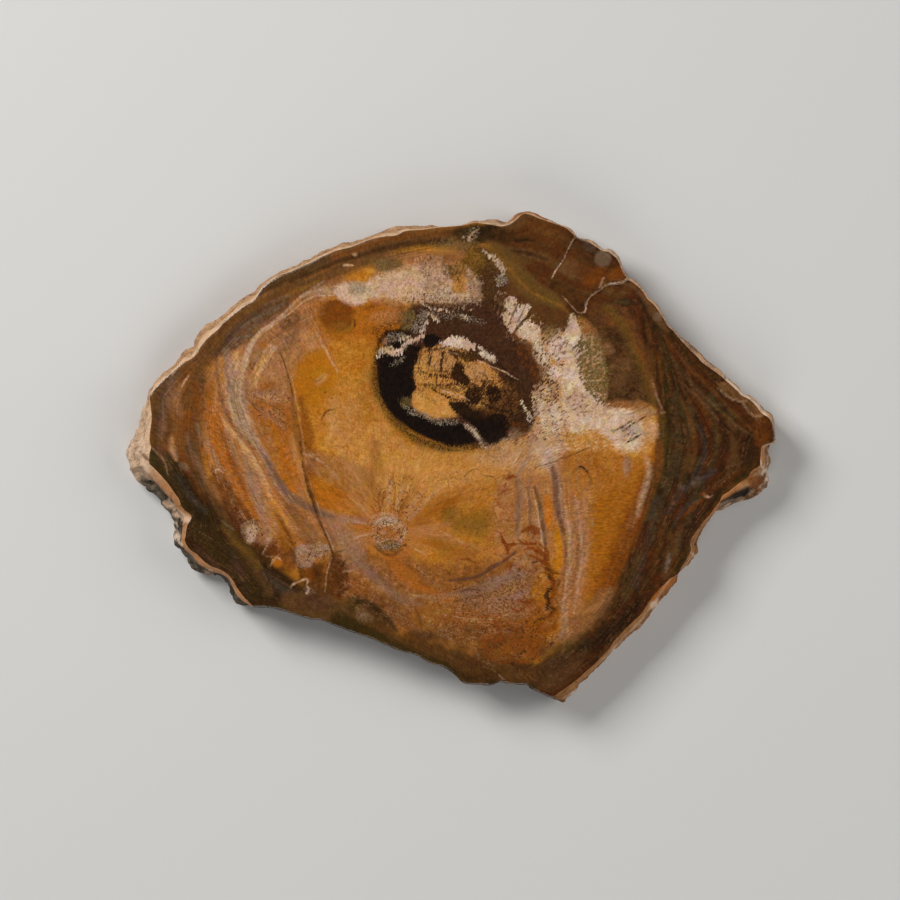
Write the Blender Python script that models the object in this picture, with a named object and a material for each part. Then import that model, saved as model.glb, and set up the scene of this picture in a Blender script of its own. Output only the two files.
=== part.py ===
"""Petrified wood slice: one flat slab of agatised wood with a broken, weathered rim.

Frame: metres, +Z up. The slab lies flat with its sawn back in z = 0 and its polished face up. +X points
to the blunt lobe of the rim and +Y to the long bowed side. The origin is under the middle of the slab.
"""

import math
from collections import namedtuple

import bmesh
import bpy
from mathutils import Vector, noise
from mathutils.geometry import delaunay_2d_cdt

MM = 0.001

NODE_NAME = "petrified_wood_slice"
THICKNESS = 14.0

# Rim points of the solid, counted once round, and the spacing of the points inside the polished face.
RIM_POINTS = 330
FACE_SPACING = 11.0
FACE_MARGIN = 3.0

# One stretch of the rim. Each station is (face x, face y, reach x, reach y) in millimetres: where the
# polished face ends, and how far out the rough wall stands below it. The stations run anticlockwise.
# ribbon_share: how much of the reach the smooth ribbon under the face takes. ribbon_drop: its height.
# reach_height: height of the widest line, as a share of the thickness. flare: above 1 the wall drops
# steeply before it spreads, below 1 it bulges early. foot_lean: how far the foot draws in again.
# roughness: depth of the lumps and pits.
Stretch = namedtuple("Stretch", "stations ribbon_share ribbon_drop reach_height flare foot_lean roughness")

UPPER_RIGHT = Stretch(
    ribbon_share=0.80, ribbon_drop=1.0, reach_height=0.70, flare=1.0, foot_lean=1.1, roughness=0.65,
    stations=(
        (97.0, 4.6, 97.6, 4.6), (97.2, 7.8, 97.6, 7.8), (96.4, 10.2, 97.3, 10.5),
        (95.4, 11.7, 96.6, 12.6), (93.4, 13.0, 94.6, 14.1), (91.2, 15.8, 92.1, 17.0),
        (89.2, 17.4, 89.8, 18.5), (87.4, 18.3, 88.0, 19.2), (86.0, 19.8, 86.8, 20.7),
        (82.4, 23.0, 83.2, 23.8), (80.2, 24.9, 81.2, 26.0), (77.8, 26.6, 78.9, 27.6),
        (75.4, 28.4, 76.5, 29.4), (74.0, 30.0, 75.2, 31.2), (71.9, 32.0, 72.9, 33.2),
        (68.4, 35.8, 68.8, 36.4), (67.0, 37.6, 67.6, 38.2), (65.4, 39.0, 66.0, 39.4),
        (64.5, 40.6, 65.2, 41.1), (62.8, 43.2, 63.7, 44.0), (61.0, 45.6, 62.1, 46.5),
        (59.2, 47.2, 60.0, 48.2), (57.8, 49.5, 58.5, 50.2), (54.8, 52.2, 55.2, 53.1),
        (53.4, 53.1, 53.8, 53.6), (51.9, 55.2, 52.6, 55.5), (51.0, 57.2, 52.0, 57.4),
        (50.1, 59.1, 51.2, 59.8), (49.0, 60.2, 50.0, 61.2), (47.1, 61.5, 47.6, 62.5),
        (45.8, 61.6, 46.0, 62.4), (44.0, 62.7, 44.4, 63.6), (42.0, 64.0, 42.4, 65.0),
        (40.0, 64.8, 40.4, 65.6), (38.1, 65.6, 38.4, 66.0), (36.8, 66.8, 37.6, 67.4),
        (35.8, 67.6, 36.8, 68.6), (35.0, 68.4, 35.6, 69.4), (32.8, 69.3, 33.2, 70.0),
        (30.2, 70.2, 30.4, 71.0), (28.4, 70.8, 28.6, 71.6), (26.2, 71.6, 26.6, 72.6),
        (24.3, 72.4, 24.4, 73.5), (22.4, 72.8, 22.4, 73.8), (21.2, 72.3, 20.7, 73.6),
        (20.0, 71.2, 19.2, 72.6), (18.8, 70.2, 18.0, 71.4),
    ),
)

UPPER_LEFT = Stretch(
    ribbon_share=0.35, ribbon_drop=1.6, reach_height=0.30, flare=1.0, foot_lean=0.6, roughness=0.70,
    stations=(
        (17.2, 69.4, 16.8, 70.6), (15.4, 69.0, 15.4, 70.8), (14.0, 69.2, 14.0, 71.3),
        (8.8, 70.0, 8.8, 71.2), (6.6, 70.0, 6.6, 71.1), (5.0, 69.6, 5.0, 70.4),
        (2.8, 69.2, 2.8, 69.7), (-3.2, 68.7, -3.2, 69.4), (-5.6, 68.4, -5.6, 69.8),
        (-8.8, 68.0, -8.6, 69.3), (-12.2, 67.8, -11.2, 69.6), (-14.2, 67.4, -14.6, 69.5),
        (-16.4, 66.3, -17.0, 69.2), (-19.4, 66.0, -19.6, 68.2), (-22.0, 65.6, -22.4, 67.1),
        (-24.8, 64.8, -24.8, 66.3), (-27.8, 63.6, -27.8, 65.3), (-30.2, 62.7, -30.4, 64.7),
        (-32.8, 62.1, -32.8, 64.6), (-35.2, 61.4, -35.1, 63.7), (-37.4, 60.4, -37.2, 62.8),
        (-39.2, 59.6, -39.2, 61.5), (-41.2, 58.5, -41.6, 60.3), (-45.8, 56.4, -45.9, 58.1),
        (-48.4, 55.2, -48.8, 56.9), (-51.2, 54.2, -51.2, 55.7), (-56.0, 51.0, -56.6, 52.2),
        (-58.8, 47.1, -59.6, 49.8), (-62.0, 45.0, -63.2, 47.2), (-64.5, 43.2, -65.8, 45.4),
        (-68.0, 40.2, -69.3, 42.7), (-70.0, 38.1, -71.6, 40.5), (-71.8, 36.4, -73.4, 39.8),
        (-73.5, 34.8, -75.0, 38.1), (-74.8, 33.2, -76.5, 36.3), (-76.0, 31.2, -77.6, 33.6),
        (-77.7, 29.4, -78.6, 32.8), (-79.6, 28.4, -80.6, 31.6), (-81.2, 27.3, -81.4, 30.3),
        (-82.6, 26.1, -82.6, 28.8), (-84.4, 24.4, -85.4, 26.5), (-86.0, 23.1, -87.0, 25.5),
        (-87.8, 21.3, -89.1, 23.1), (-89.4, 19.6, -90.0, 21.0), (-90.2, 18.0, -90.8, 19.8),
    ),
)

LEFT_LUMP = Stretch(
    ribbon_share=0.30, ribbon_drop=1.5, reach_height=0.50, flare=0.7, foot_lean=2.2, roughness=0.80,
    stations=(
        (-90.0, 16.2, -91.2, 18.0), (-89.8, 14.1, -91.6, 15.8), (-89.6, 12.3, -92.7, 14.1),
        (-89.7, 10.2, -93.3, 11.4), (-90.2, 6.2, -95.2, 7.0), (-90.2, 4.4, -96.3, 5.0),
        (-89.8, 2.7, -97.4, 3.3), (-90.2, 1.0, -97.8, 1.2), (-90.3, -0.6, -97.5, -1.0),
        (-90.2, -2.2, -96.6, -3.6),
    ),
)

LOWER_LEFT = Stretch(
    ribbon_share=0.40, ribbon_drop=2.0, reach_height=0.30, flare=2.0, foot_lean=0.9, roughness=1.05,
    stations=(
        (-89.0, -3.4, -95.9, -5.0), (-86.7, -5.8, -94.5, -7.0), (-84.3, -8.6, -91.5, -9.8),
        (-83.4, -9.9, -90.2, -11.3), (-82.4, -11.4, -88.4, -12.9), (-81.3, -12.9, -87.3, -14.4),
        (-80.8, -14.6, -85.6, -15.8), (-79.6, -16.2, -84.3, -17.4), (-77.6, -18.0, -83.6, -18.9),
        (-78.9, -20.7, -83.2, -20.8), (-79.4, -23.6, -83.3, -23.7), (-79.6, -25.5, -83.0, -26.5),
        (-78.2, -27.8, -81.8, -27.8), (-75.9, -29.4, -79.4, -31.3), (-74.6, -30.8, -77.8, -33.7),
        (-72.2, -32.7, -74.6, -35.3), (-69.3, -33.9, -72.8, -36.2), (-67.4, -35.0, -70.4, -36.0),
        (-65.8, -36.4, -68.2, -37.4), (-64.6, -38.4, -67.4, -39.0), (-63.2, -40.5, -66.4, -41.7),
        (-61.4, -42.8, -65.0, -43.8), (-60.3, -43.8, -63.2, -44.7), (-59.2, -44.9, -60.8, -45.2),
    ),
)

BOTTOM = Stretch(
    ribbon_share=0.50, ribbon_drop=1.5, reach_height=0.60, flare=1.0, foot_lean=1.8, roughness=0.85,
    stations=(
        (-57.2, -45.3, -57.2, -45.3), (-54.2, -45.4, -54.2, -45.4), (-51.0, -46.0, -51.0, -46.0),
        (-45.0, -48.0, -45.0, -48.0), (-42.2, -48.8, -42.2, -48.8), (-39.0, -49.1, -39.0, -49.1),
        (-36.4, -50.1, -36.4, -50.1), (-30.2, -52.5, -30.2, -52.5), (-24.9, -54.2, -24.9, -54.2),
        (-22.0, -55.4, -22.0, -55.4), (-18.9, -56.8, -18.9, -56.8), (-14.1, -58.7, -14.1, -58.7),
        (-11.2, -59.3, -11.2, -59.3), (-8.7, -60.5, -8.7, -60.5), (-6.0, -62.0, -6.0, -62.0),
        (-2.4, -63.1, -2.4, -63.1), (0.0, -64.5, 0.0, -64.5), (2.1, -66.2, 2.1, -66.2),
        (3.3, -67.5, 3.3, -67.5), (5.0, -68.3, 5.0, -68.3), (8.8, -68.5, 8.8, -68.5),
        (12.0, -68.7, 12.0, -68.7), (15.0, -67.7, 15.0, -67.7), (17.0, -68.1, 17.0, -68.1),
        (20.8, -68.5, 20.8, -68.5), (23.0, -68.7, 23.0, -68.7), (24.4, -69.7, 24.4, -69.7),
        (26.8, -70.9, 26.8, -70.9), (29.7, -72.1, 29.7, -72.1),
    ),
)

LOWER_RIGHT = Stretch(
    ribbon_share=0.70, ribbon_drop=1.8, reach_height=0.60, flare=1.0, foot_lean=1.0, roughness=0.75,
    stations=(
        (31.2, -71.9, 32.4, -73.4), (32.8, -70.7, 34.2, -73.9), (34.8, -69.4, 35.8, -72.3),
        (38.1, -66.9, 39.2, -68.7), (40.6, -64.6, 42.0, -66.2), (43.2, -62.4, 44.5, -63.7),
        (45.3, -60.2, 46.9, -61.2), (47.7, -57.6, 49.3, -58.5), (49.2, -55.4, 50.8, -56.9),
        (54.6, -49.8, 56.5, -52.0), (56.9, -47.7, 58.9, -49.6), (58.2, -46.0, 60.4, -47.7),
        (59.1, -44.6, 61.6, -45.7), (60.2, -42.9, 63.0, -44.4), (62.2, -40.4, 65.2, -41.3),
        (64.2, -38.4, 66.9, -39.6), (65.8, -36.8, 68.0, -38.1), (68.2, -35.2, 68.8, -35.4),
        (69.4, -33.2, 71.0, -33.6), (70.8, -31.0, 72.9, -31.2), (72.3, -27.9, 74.6, -28.3),
        (72.0, -26.2, 74.1, -26.5), (72.3, -24.9, 74.4, -25.2), (73.3, -23.1, 75.4, -23.0),
        (74.7, -21.3, 76.8, -20.6), (76.0, -19.4, 78.0, -19.0), (77.7, -17.7, 79.8, -17.2),
    ),
)

RIGHT_END = Stretch(
    ribbon_share=0.45, ribbon_drop=1.6, reach_height=0.35, flare=2.0, foot_lean=1.4, roughness=1.20,
    stations=(
        (79.2, -15.6, 82.4, -15.9), (80.8, -13.5, 85.0, -14.4), (81.6, -11.8, 87.3, -13.5),
        (83.4, -10.6, 90.2, -12.8), (85.4, -9.0, 92.1, -11.7), (87.3, -7.5, 94.5, -9.9),
        (89.4, -6.0, 95.6, -8.6), (90.4, -4.4, 96.0, -6.6), (92.0, -3.3, 95.4, -5.0),
        (93.0, -2.6, 95.6, -3.4), (93.0, -0.9, 96.4, -1.6), (93.2, 0.6, 96.3, -0.4),
        (93.3, 2.1, 95.7, 1.0), (93.8, 3.3, 96.4, 3.0),
    ),
)

RIM = (UPPER_RIGHT, UPPER_LEFT, LEFT_LUMP, LOWER_LEFT, BOTTOM, LOWER_RIGHT, RIGHT_END)

# Levels of the wall between the ribbon and the widest line, and between that line and the foot.
WALL_STEPS = (0.25, 0.5, 0.75)
FOOT_STEPS = (0.4, 0.75)

# Two flakes have broken off the face at the upper right. Each path is the flake's steep edge, from the
# rim inwards; the low ground lies on its left-hand side, towards the blunt lobe, and rises again over
# the spread. The tail is the length over which the step fades out at the path's inner end.
Flake = namedtuple("Flake", "path depth spread tail")

FLAKES = (
    Flake(path=((38.0, 66.6), (36.2, 64.1), (35.3, 62.5), (33.1, 58.9), (31.1, 55.3), (30.5, 53.5)),
          depth=0.7, spread=11.0, tail=9.0),
    Flake(path=((53.9, 53.8), (50.5, 52.1), (46.9, 51.7), (44.9, 50.3), (42.5, 48.7), (41.0, 47.3),
                (40.4, 45.3), (40.6, 44.0), (39.2, 43.5)),
          depth=0.9, spread=15.0, tail=7.0),
)
FLAKE_EDGE = 0.3

# Grain of the wall: broad lumps, small pits, ridges that run down the wall with the wood's grain, and
# ledges where the stone has split across it.
LUMP_SIZE = 7.0
LUMP_SHARE = 2.3
PIT_SIZE = 2.8
PIT_SHARE = 1.4
RIDGE_SQUASH = 0.35
LEDGE_HEIGHT = 5.5
LEDGE_SHARE = 0.7
HOLLOW_LEVEL = 0.2

# Moves the pits' noise away from the lumps' noise.
PIT_SHIFT = 31.0


def rim_stations():
    """Returns every station of the rim with the stretch it belongs to, once round."""
    return [(station, stretch) for stretch in RIM for station in stretch.stations]


def rim_parameters(stations):
    """Returns a running length for each station, and the length once round.

    The length is the mean of the steps along the face's edge and along the reach, so that neither line
    bunches up where the other one turns.
    """
    lengths = [0.0]
    count = len(stations)
    for index in range(count):
        (ax, ay, bx, by), _ = stations[index]
        (cx, cy, dx, dy), _ = stations[(index + 1) % count]
        step = 0.5 * (math.hypot(cx - ax, cy - ay) + math.hypot(dx - bx, dy - by))
        lengths.append(lengths[-1] + step)
    return lengths[:-1], lengths[-1]


def smooth_value(values, lengths, total, index, share):
    """Returns a value between station index and the next one, on a smooth closed curve."""
    count = len(values)
    after, later = (index + 1) % count, (index + 2) % count
    before = index - 1
    span = (lengths[after] - lengths[index]) % total
    back = (lengths[index] - lengths[before]) % total
    ahead = (lengths[later] - lengths[after]) % total
    slope_in = (values[after] - values[before]) / (span + back) * span
    slope_out = (values[later] - values[index]) / (span + ahead) * span
    s2, s3 = share * share, share ** 3
    return (
        values[index] * (2 * s3 - 3 * s2 + 1)
        + slope_in * (s3 - 2 * s2 + share)
        + values[after] * (3 * s2 - 2 * s3)
        + slope_out * (s3 - s2)
    )


def rim_points(count):
    """Returns count rim points, evenly spaced: dictionaries with face, reach, out and the wall's style."""
    stations = rim_stations()
    lengths, total = rim_parameters(stations)
    tables = [[station[axis] for station, _ in stations] for axis in range(4)]
    styles = [
        [getattr(stretch, name) for _, stretch in stations]
        for name in Stretch._fields[1:]
    ]
    points = []
    index = 0
    for number in range(count):
        length = total * number / count
        while index + 1 < len(lengths) and lengths[index + 1] <= length:
            index += 1
        after = (index + 1) % len(lengths)
        share = (length - lengths[index]) / ((lengths[after] - lengths[index]) % total)
        fx, fy, rx, ry = (smooth_value(table, lengths, total, index, share) for table in tables)
        style = [table[index] * (1.0 - share) + table[after] * share for table in styles]
        points.append({
            "face": Vector((fx, fy)),
            "reach": Vector((rx, ry)),
            **dict(zip(Stretch._fields[1:], style)),
        })
    for number, point in enumerate(points):
        along = points[(number + 1) % count]["face"] - points[number - 1]["face"]
        point["out"] = Vector((along.y, -along.x)).normalized()
    return points


def hollow(x, y, z, roughness):
    """Returns how far the wall's lumps, pits and ledges cut in, in millimetres, never below zero."""
    lumps = noise.noise(Vector((x, y, z * RIDGE_SQUASH)) / LUMP_SIZE)
    pits = noise.noise(Vector((x + PIT_SHIFT, y, z)) / PIT_SIZE)
    ledges = (z / LEDGE_HEIGHT + 2.0 * lumps) % 1.0
    depth = HOLLOW_LEVEL + LUMP_SHARE * lumps + PIT_SHARE * pits + LEDGE_SHARE * ledges
    return roughness * max(0.0, depth)


def wall_column(rim):
    """Returns the wall's points below one rim point, from the ribbon's lower edge down to the foot."""
    reach = rim["reach"] - rim["face"]
    widest = rim["reach_height"] * THICKNESS
    ribbon_z = THICKNESS - rim["ribbon_drop"]
    rows = [(rim["ribbon_share"], ribbon_z, 0.0, 0.25)]
    for step in WALL_STEPS:
        share = rim["ribbon_share"] + (1.0 - rim["ribbon_share"]) * step ** rim["flare"]
        rows.append((share, ribbon_z + (widest - ribbon_z) * step, 0.0, 1.0))
    rows.append((1.0, widest, 0.0, 0.45))
    for step in FOOT_STEPS:
        rows.append((1.0, widest * (1.0 - step), rim["foot_lean"] * step * step, 0.9))
    rows.append((1.0, 0.0, rim["foot_lean"], 0.5))
    column = []
    for share, z, lean, rough in rows:
        spot = rim["face"] + reach * share - rim["out"] * lean
        cut = hollow(spot.x, spot.y, z, rim["roughness"] * rough)
        spot = spot - rim["out"] * cut
        column.append(Vector((spot.x, spot.y, z)))
    return column


def nearest_on_path(path, x, y):
    """Returns the distance to a path, the side (above zero on its left) and the length left to its end."""
    best = (float("inf"), 0.0, 0.0)
    left = sum(math.dist(a, b) for a, b in zip(path, path[1:]))
    for (ax, ay), (bx, by) in zip(path, path[1:]):
        length = math.hypot(bx - ax, by - ay)
        ux, uy = (bx - ax) / length, (by - ay) / length
        run = min(max((x - ax) * ux + (y - ay) * uy, 0.0), length)
        gap = math.hypot(x - ax - ux * run, y - ay - uy * run)
        if gap < best[0]:
            side = (y - ay) * ux - (x - ax) * uy
            best = (gap, side, left - run)
        left -= length
    return best


def ease(share):
    """Returns a smooth step of a share, held between 0 and 1."""
    share = min(max(share, 0.0), 1.0)
    return share * share * (3.0 - 2.0 * share)


def face_height(x, y):
    """Returns the height of the polished face, with the two broken flakes cut down into it."""
    height = THICKNESS
    for flake in FLAKES:
        gap, side, left = nearest_on_path(flake.path, x, y)
        if side <= 0.0:
            continue
        floor = ease(gap / FLAKE_EDGE) * (1.0 - ease(gap / flake.spread)) * ease(left / flake.tail)
        height -= flake.depth * floor
    return height


def flake_points():
    """Returns the face's extra points beside each flake's edge: on it, at its floor, and further out."""
    extra, edges = [], []
    for flake in FLAKES:
        for offset in (0.0, FLAKE_EDGE, flake.spread * 0.3, flake.spread * 0.65):
            row = []
            for number, (x, y) in enumerate(flake.path[1:], start=1):
                before = Vector(flake.path[number - 1])
                after = Vector(flake.path[min(number + 1, len(flake.path) - 1)])
                along = (after - before).normalized()
                row.append(Vector((x - along.y * offset, y + along.x * offset)))
            if offset <= FLAKE_EDGE:
                first = len(extra)
                edges += [(first + step, first + step + 1) for step in range(len(row) - 1)]
            extra += row
    return extra, edges


def inside(outline, spot, margin):
    """Says whether a spot lies inside an outline and at least the margin away from its points."""
    if any((spot - point).length < margin for point in outline):
        return False
    odd = False
    for a, b in zip(outline, outline[1:] + outline[:1]):
        if (a.y > spot.y) != (b.y > spot.y):
            if spot.x < a.x + (spot.y - a.y) / (b.y - a.y) * (b.x - a.x):
                odd = not odd
    return odd


def grid_points(outline, taken):
    """Returns points on a staggered grid inside an outline, clear of it and of the points taken."""
    low_x, high_x = min(p.x for p in outline), max(p.x for p in outline)
    low_y, high_y = min(p.y for p in outline), max(p.y for p in outline)
    rise = FACE_SPACING * math.sqrt(0.75)
    spots = []
    for row in range(int((high_y - low_y) / rise) + 1):
        shift = 0.5 * FACE_SPACING * (row % 2)
        for column in range(int((high_x - low_x) / FACE_SPACING) + 1):
            spot = Vector((low_x + shift + column * FACE_SPACING, low_y + row * rise))
            clear = all((spot - other).length > FACE_MARGIN for other in taken)
            if clear and inside(outline, spot, FACE_MARGIN):
                spots.append(spot)
    return spots


def triangles_inside(outline, extra, edges):
    """Returns the triangles that fill an outline and use its extra points, as indexes into both lists."""
    first = len(outline)
    coords = list(outline) + list(extra)
    shifted = [(first + a, first + b) for a, b in edges]
    filled = delaunay_2d_cdt(coords, shifted, [list(range(first))], 1, 1e-5)
    triangles, sources = filled[2], filled[3]
    return [[sources[corner][0] for corner in triangle] for triangle in triangles]


def build_slice_mesh():
    """Builds the slab: the polished face, the wall in rings down to the foot, and the sawn back."""
    rim = rim_points(RIM_POINTS)
    face_edge = [point["face"] for point in rim]
    columns = [wall_column(point) for point in rim]
    foot = [column[-1].xy for column in columns]

    beside, edges = flake_points()
    kept = [spot for spot in beside if inside(face_edge, spot, 0.2)]
    renumbered = {beside.index(spot): number for number, spot in enumerate(kept)}
    edges = [(renumbered[a], renumbered[b]) for a, b in edges if a in renumbered and b in renumbered]
    face_extra = kept + grid_points(face_edge, kept)

    bm = bmesh.new()
    top = [bm.verts.new((spot.x, spot.y, face_height(spot.x, spot.y))) for spot in face_edge]
    rings = [top]
    for level in range(len(columns[0])):
        rings.append([bm.verts.new(column[level]) for column in columns])
    for upper, lower in zip(rings, rings[1:]):
        for number in range(RIM_POINTS):
            after = (number + 1) % RIM_POINTS
            bm.faces.new((upper[number], lower[number], lower[after], upper[after]))

    inner = [bm.verts.new((spot.x, spot.y, face_height(spot.x, spot.y))) for spot in face_extra]
    for triangle in triangles_inside(face_edge, face_extra, edges):
        bm.faces.new([(top + inner)[corner] for corner in triangle])
    for triangle in triangles_inside(foot, [], []):
        bm.faces.new([rings[-1][corner] for corner in reversed(triangle)])

    bmesh.ops.triangulate(bm, faces=[face for face in bm.faces if len(face.verts) > 3])
    bmesh.ops.recalc_face_normals(bm, faces=bm.faces)
    return bm


def centre_on_origin(bm):
    """Moves the mesh so that the middle of its footprint box is over the origin, and makes it metres."""
    xs = [vert.co.x for vert in bm.verts]
    ys = [vert.co.y for vert in bm.verts]
    middle = Vector((0.5 * (min(xs) + max(xs)), 0.5 * (min(ys) + max(ys)), 0.0))
    for vert in bm.verts:
        vert.co = (vert.co - middle) * MM


def stone_material():
    """Returns the slab's material: warm brown agate under a polish."""
    material = bpy.data.materials.new("petrified_wood")
    material.use_nodes = True
    shader = material.node_tree.nodes["Principled BSDF"]
    shader.inputs["Base Color"].default_value = (0.30, 0.13, 0.045, 1.0)
    shader.inputs["Roughness"].default_value = 0.3
    shader.inputs["Metallic"].default_value = 0.0
    return material


def main():
    """Clears the scene and models the slice."""
    for old in list(bpy.data.objects):
        bpy.data.objects.remove(old)
    bm = build_slice_mesh()
    centre_on_origin(bm)
    mesh = bpy.data.meshes.new(NODE_NAME)
    bm.to_mesh(mesh)
    bm.free()
    mesh.materials.append(stone_material())
    slab = bpy.data.objects.new(NODE_NAME, mesh)
    bpy.context.scene.collection.objects.link(slab)


main()
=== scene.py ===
"""Looks of a petrified wood slice: a polished slab of agatised wood with a weathered rim, lying down.

The rim follows the same stations as the solid, in millimetres. The markings on the polished face are
traced on the photograph, in pixels of its 900 x 900 frame, and Photo turns them into
millimetres. Each marking is a named shape with a named tint, and noise gives it its ragged edge.
"""

import logging
import math
from dataclasses import dataclass, field
from enum import Enum

import bpy
import numpy as np
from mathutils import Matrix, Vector, noise
from mathutils.geometry import delaunay_2d_cdt

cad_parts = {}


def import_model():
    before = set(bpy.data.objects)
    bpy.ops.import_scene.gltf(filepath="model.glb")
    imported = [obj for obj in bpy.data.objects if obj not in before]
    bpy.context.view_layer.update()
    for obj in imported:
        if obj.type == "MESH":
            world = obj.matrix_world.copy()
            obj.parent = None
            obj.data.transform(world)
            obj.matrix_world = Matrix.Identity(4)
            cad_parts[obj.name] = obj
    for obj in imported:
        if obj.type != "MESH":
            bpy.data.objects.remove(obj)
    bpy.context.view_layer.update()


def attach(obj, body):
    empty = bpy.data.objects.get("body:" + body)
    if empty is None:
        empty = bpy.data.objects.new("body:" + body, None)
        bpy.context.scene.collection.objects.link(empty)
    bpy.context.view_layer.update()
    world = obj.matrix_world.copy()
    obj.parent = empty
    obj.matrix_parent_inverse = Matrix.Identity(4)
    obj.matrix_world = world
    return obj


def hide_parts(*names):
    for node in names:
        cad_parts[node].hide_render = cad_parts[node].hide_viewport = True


LOG = logging.getLogger("petrified_wood")
NODE = "petrified_wood_slice"
MM = 0.001  # A millimetre in metres.
SHEEN = 0.0025  # The share of light that the polish sends back before it reaches the colour.
DARKEST = 0.0008  # The least share of light that a colour sends back.

Point = tuple[float, float]
Colour = tuple[float, float, float]


class Photo:
    """The photograph's frame: turns its pixels into millimetres on the slab and back."""

    MM_PER_PIXEL = 0.3
    MIDDLE = (450.5, 457.0)

    @classmethod
    def to_pixels(cls, x: np.ndarray, y: np.ndarray) -> tuple[np.ndarray, np.ndarray]:
        """Returns the pixel place of points given in millimetres."""
        return cls.MIDDLE[0] + x / cls.MM_PER_PIXEL, cls.MIDDLE[1] - y / cls.MM_PER_PIXEL

    @classmethod
    def to_millimetres(cls, x: float | np.ndarray, y: float | np.ndarray) -> tuple:
        """Returns the place on the slab, in millimetres, of points given in pixels."""
        return (x - cls.MIDDLE[0]) * cls.MM_PER_PIXEL, (cls.MIDDLE[1] - y) * cls.MM_PER_PIXEL


class Tint(Enum):
    """The stone's colours, as red, green and blue from 0 to 255 on a screen."""

    BLACK = (17, 10, 6)
    SOOT = (28, 18, 10)
    CHOCOLATE = (52, 30, 17)
    COCOA = (74, 45, 26)
    UMBER = (48, 27, 10)
    BROWN = (84, 52, 22)
    BISTRE = (94, 63, 33)
    TAWNY = (108, 64, 26)
    MAROON = (78, 38, 14)
    RUSSET = (108, 56, 14)
    RUST = (122, 62, 12)
    RED = (116, 46, 12)
    BRONZE = (120, 74, 34)
    CINNAMON = (146, 82, 17)
    COPPER = (146, 88, 42)
    ORANGE = (164, 91, 22)
    AMBER = (166, 97, 16)
    HONEY = (156, 90, 12)
    SAFFRON = (180, 110, 20)
    OCHRE = (180, 114, 44)
    GOLD = (190, 126, 46)
    STRAW = (200, 144, 76)
    PEACH = (172, 114, 66)
    APRICOT = (182, 130, 84)
    BLUSH = (186, 148, 116)
    CREAM = (204, 170, 140)
    IVORY = (220, 194, 168)
    SAND = (186, 147, 110)
    TAN = (142, 94, 54)
    FAWN = (116, 78, 46)
    LILAC = (158, 127, 106)
    MAUVE = (124, 90, 68)
    SLATE = (58, 44, 32)
    STEEL = (98, 83, 69)
    PEWTER = (142, 124, 102)
    OLIVE = (52, 38, 13)
    MOSS = (98, 70, 26)
    LICHEN = (134, 90, 28)
    SAGE = (116, 98, 62)
    PINE = (36, 28, 14)
    DRAB = (66, 51, 28)
    DUSK = (66, 55, 48)
    ASH = (120, 104, 86)
    WINE = (100, 66, 48)
    CLAY = (158, 112, 78)
    FIRE = (186, 104, 22)

    @property
    def linear(self) -> Colour:
        """The colour as a share of reflected light, less the light that the polish itself sends back."""
        found = (
            value / 255 / 12.92 if value / 255 <= 0.04045 else ((value / 255 + 0.055) / 1.055) ** 2.4
            for value in self.value
        )
        return tuple(max(share - SHEEN, DARKEST) for share in found)


def ease(share: np.ndarray) -> np.ndarray:
    """Returns a smooth step of a share, held between 0 and 1."""
    share = np.clip(share, 0.0, 1.0)
    return share * share * (3.0 - 2.0 * share)


class Grain3D:
    """Gradient noise on arrays of points: the same numbers in each run."""

    CELLS = 256
    GAIN = 1.5
    OCTAVE_SHIFT = 17.3

    def __init__(self, seed: int) -> None:
        """Draws the table of slopes.

        Args:
            seed: Number that fixes the table.
        """
        draw = np.random.default_rng(seed)
        self.order = draw.permutation(self.CELLS)
        slopes = draw.normal(size=(self.CELLS, 3))
        self.slopes = slopes / np.linalg.norm(slopes, axis=1, keepdims=True)

    def once(self, spots: np.ndarray) -> np.ndarray:
        """Returns one octave of noise, about -1 to 1, at points given as rows.

        Args:
            spots: The points, one row for each, already divided by the size of the features.

        Returns:
            The noise, about -1 to 1.
        """
        cell = np.floor(spots).astype(int)
        part = spots - cell
        blend = part * part * part * (part * (part * 6.0 - 15.0) + 10.0)
        total, last = np.zeros(len(spots)), self.CELLS - 1
        for corner in range(8):
            step = np.array([corner & 1, (corner >> 1) & 1, (corner >> 2) & 1])
            place = (cell + step) & last
            index = self.order[(self.order[place[:, 0]] + place[:, 1]) & last]
            index = self.order[(index + place[:, 2]) & last]
            slope = (self.slopes[index] * (part - step)).sum(axis=1)
            weight = np.where(step == 1, blend, 1.0 - blend).prod(axis=1)
            total += weight * slope
        return self.GAIN * total

    def at(self, *axes: np.ndarray, octaves: int = 3) -> np.ndarray:
        """Returns several octaves of noise at points given by one array for each axis.

        Args:
            axes: Up to three coordinate arrays, already divided by the size of the noise's features.
            octaves: How many finer layers are added.

        Returns:
            The noise, about -1 to 1.
        """
        spots = np.zeros((len(axes[0]), 3))
        for number, axis in enumerate(axes):
            spots[:, number] = axis
        total, share, weight = np.zeros(len(spots)), 1.0, 0.0
        for octave in range(octaves):
            total += share * self.once(spots * 2.0 ** octave + self.OCTAVE_SHIFT * octave)
            weight += share
            share *= 0.5
        return total / weight


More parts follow.
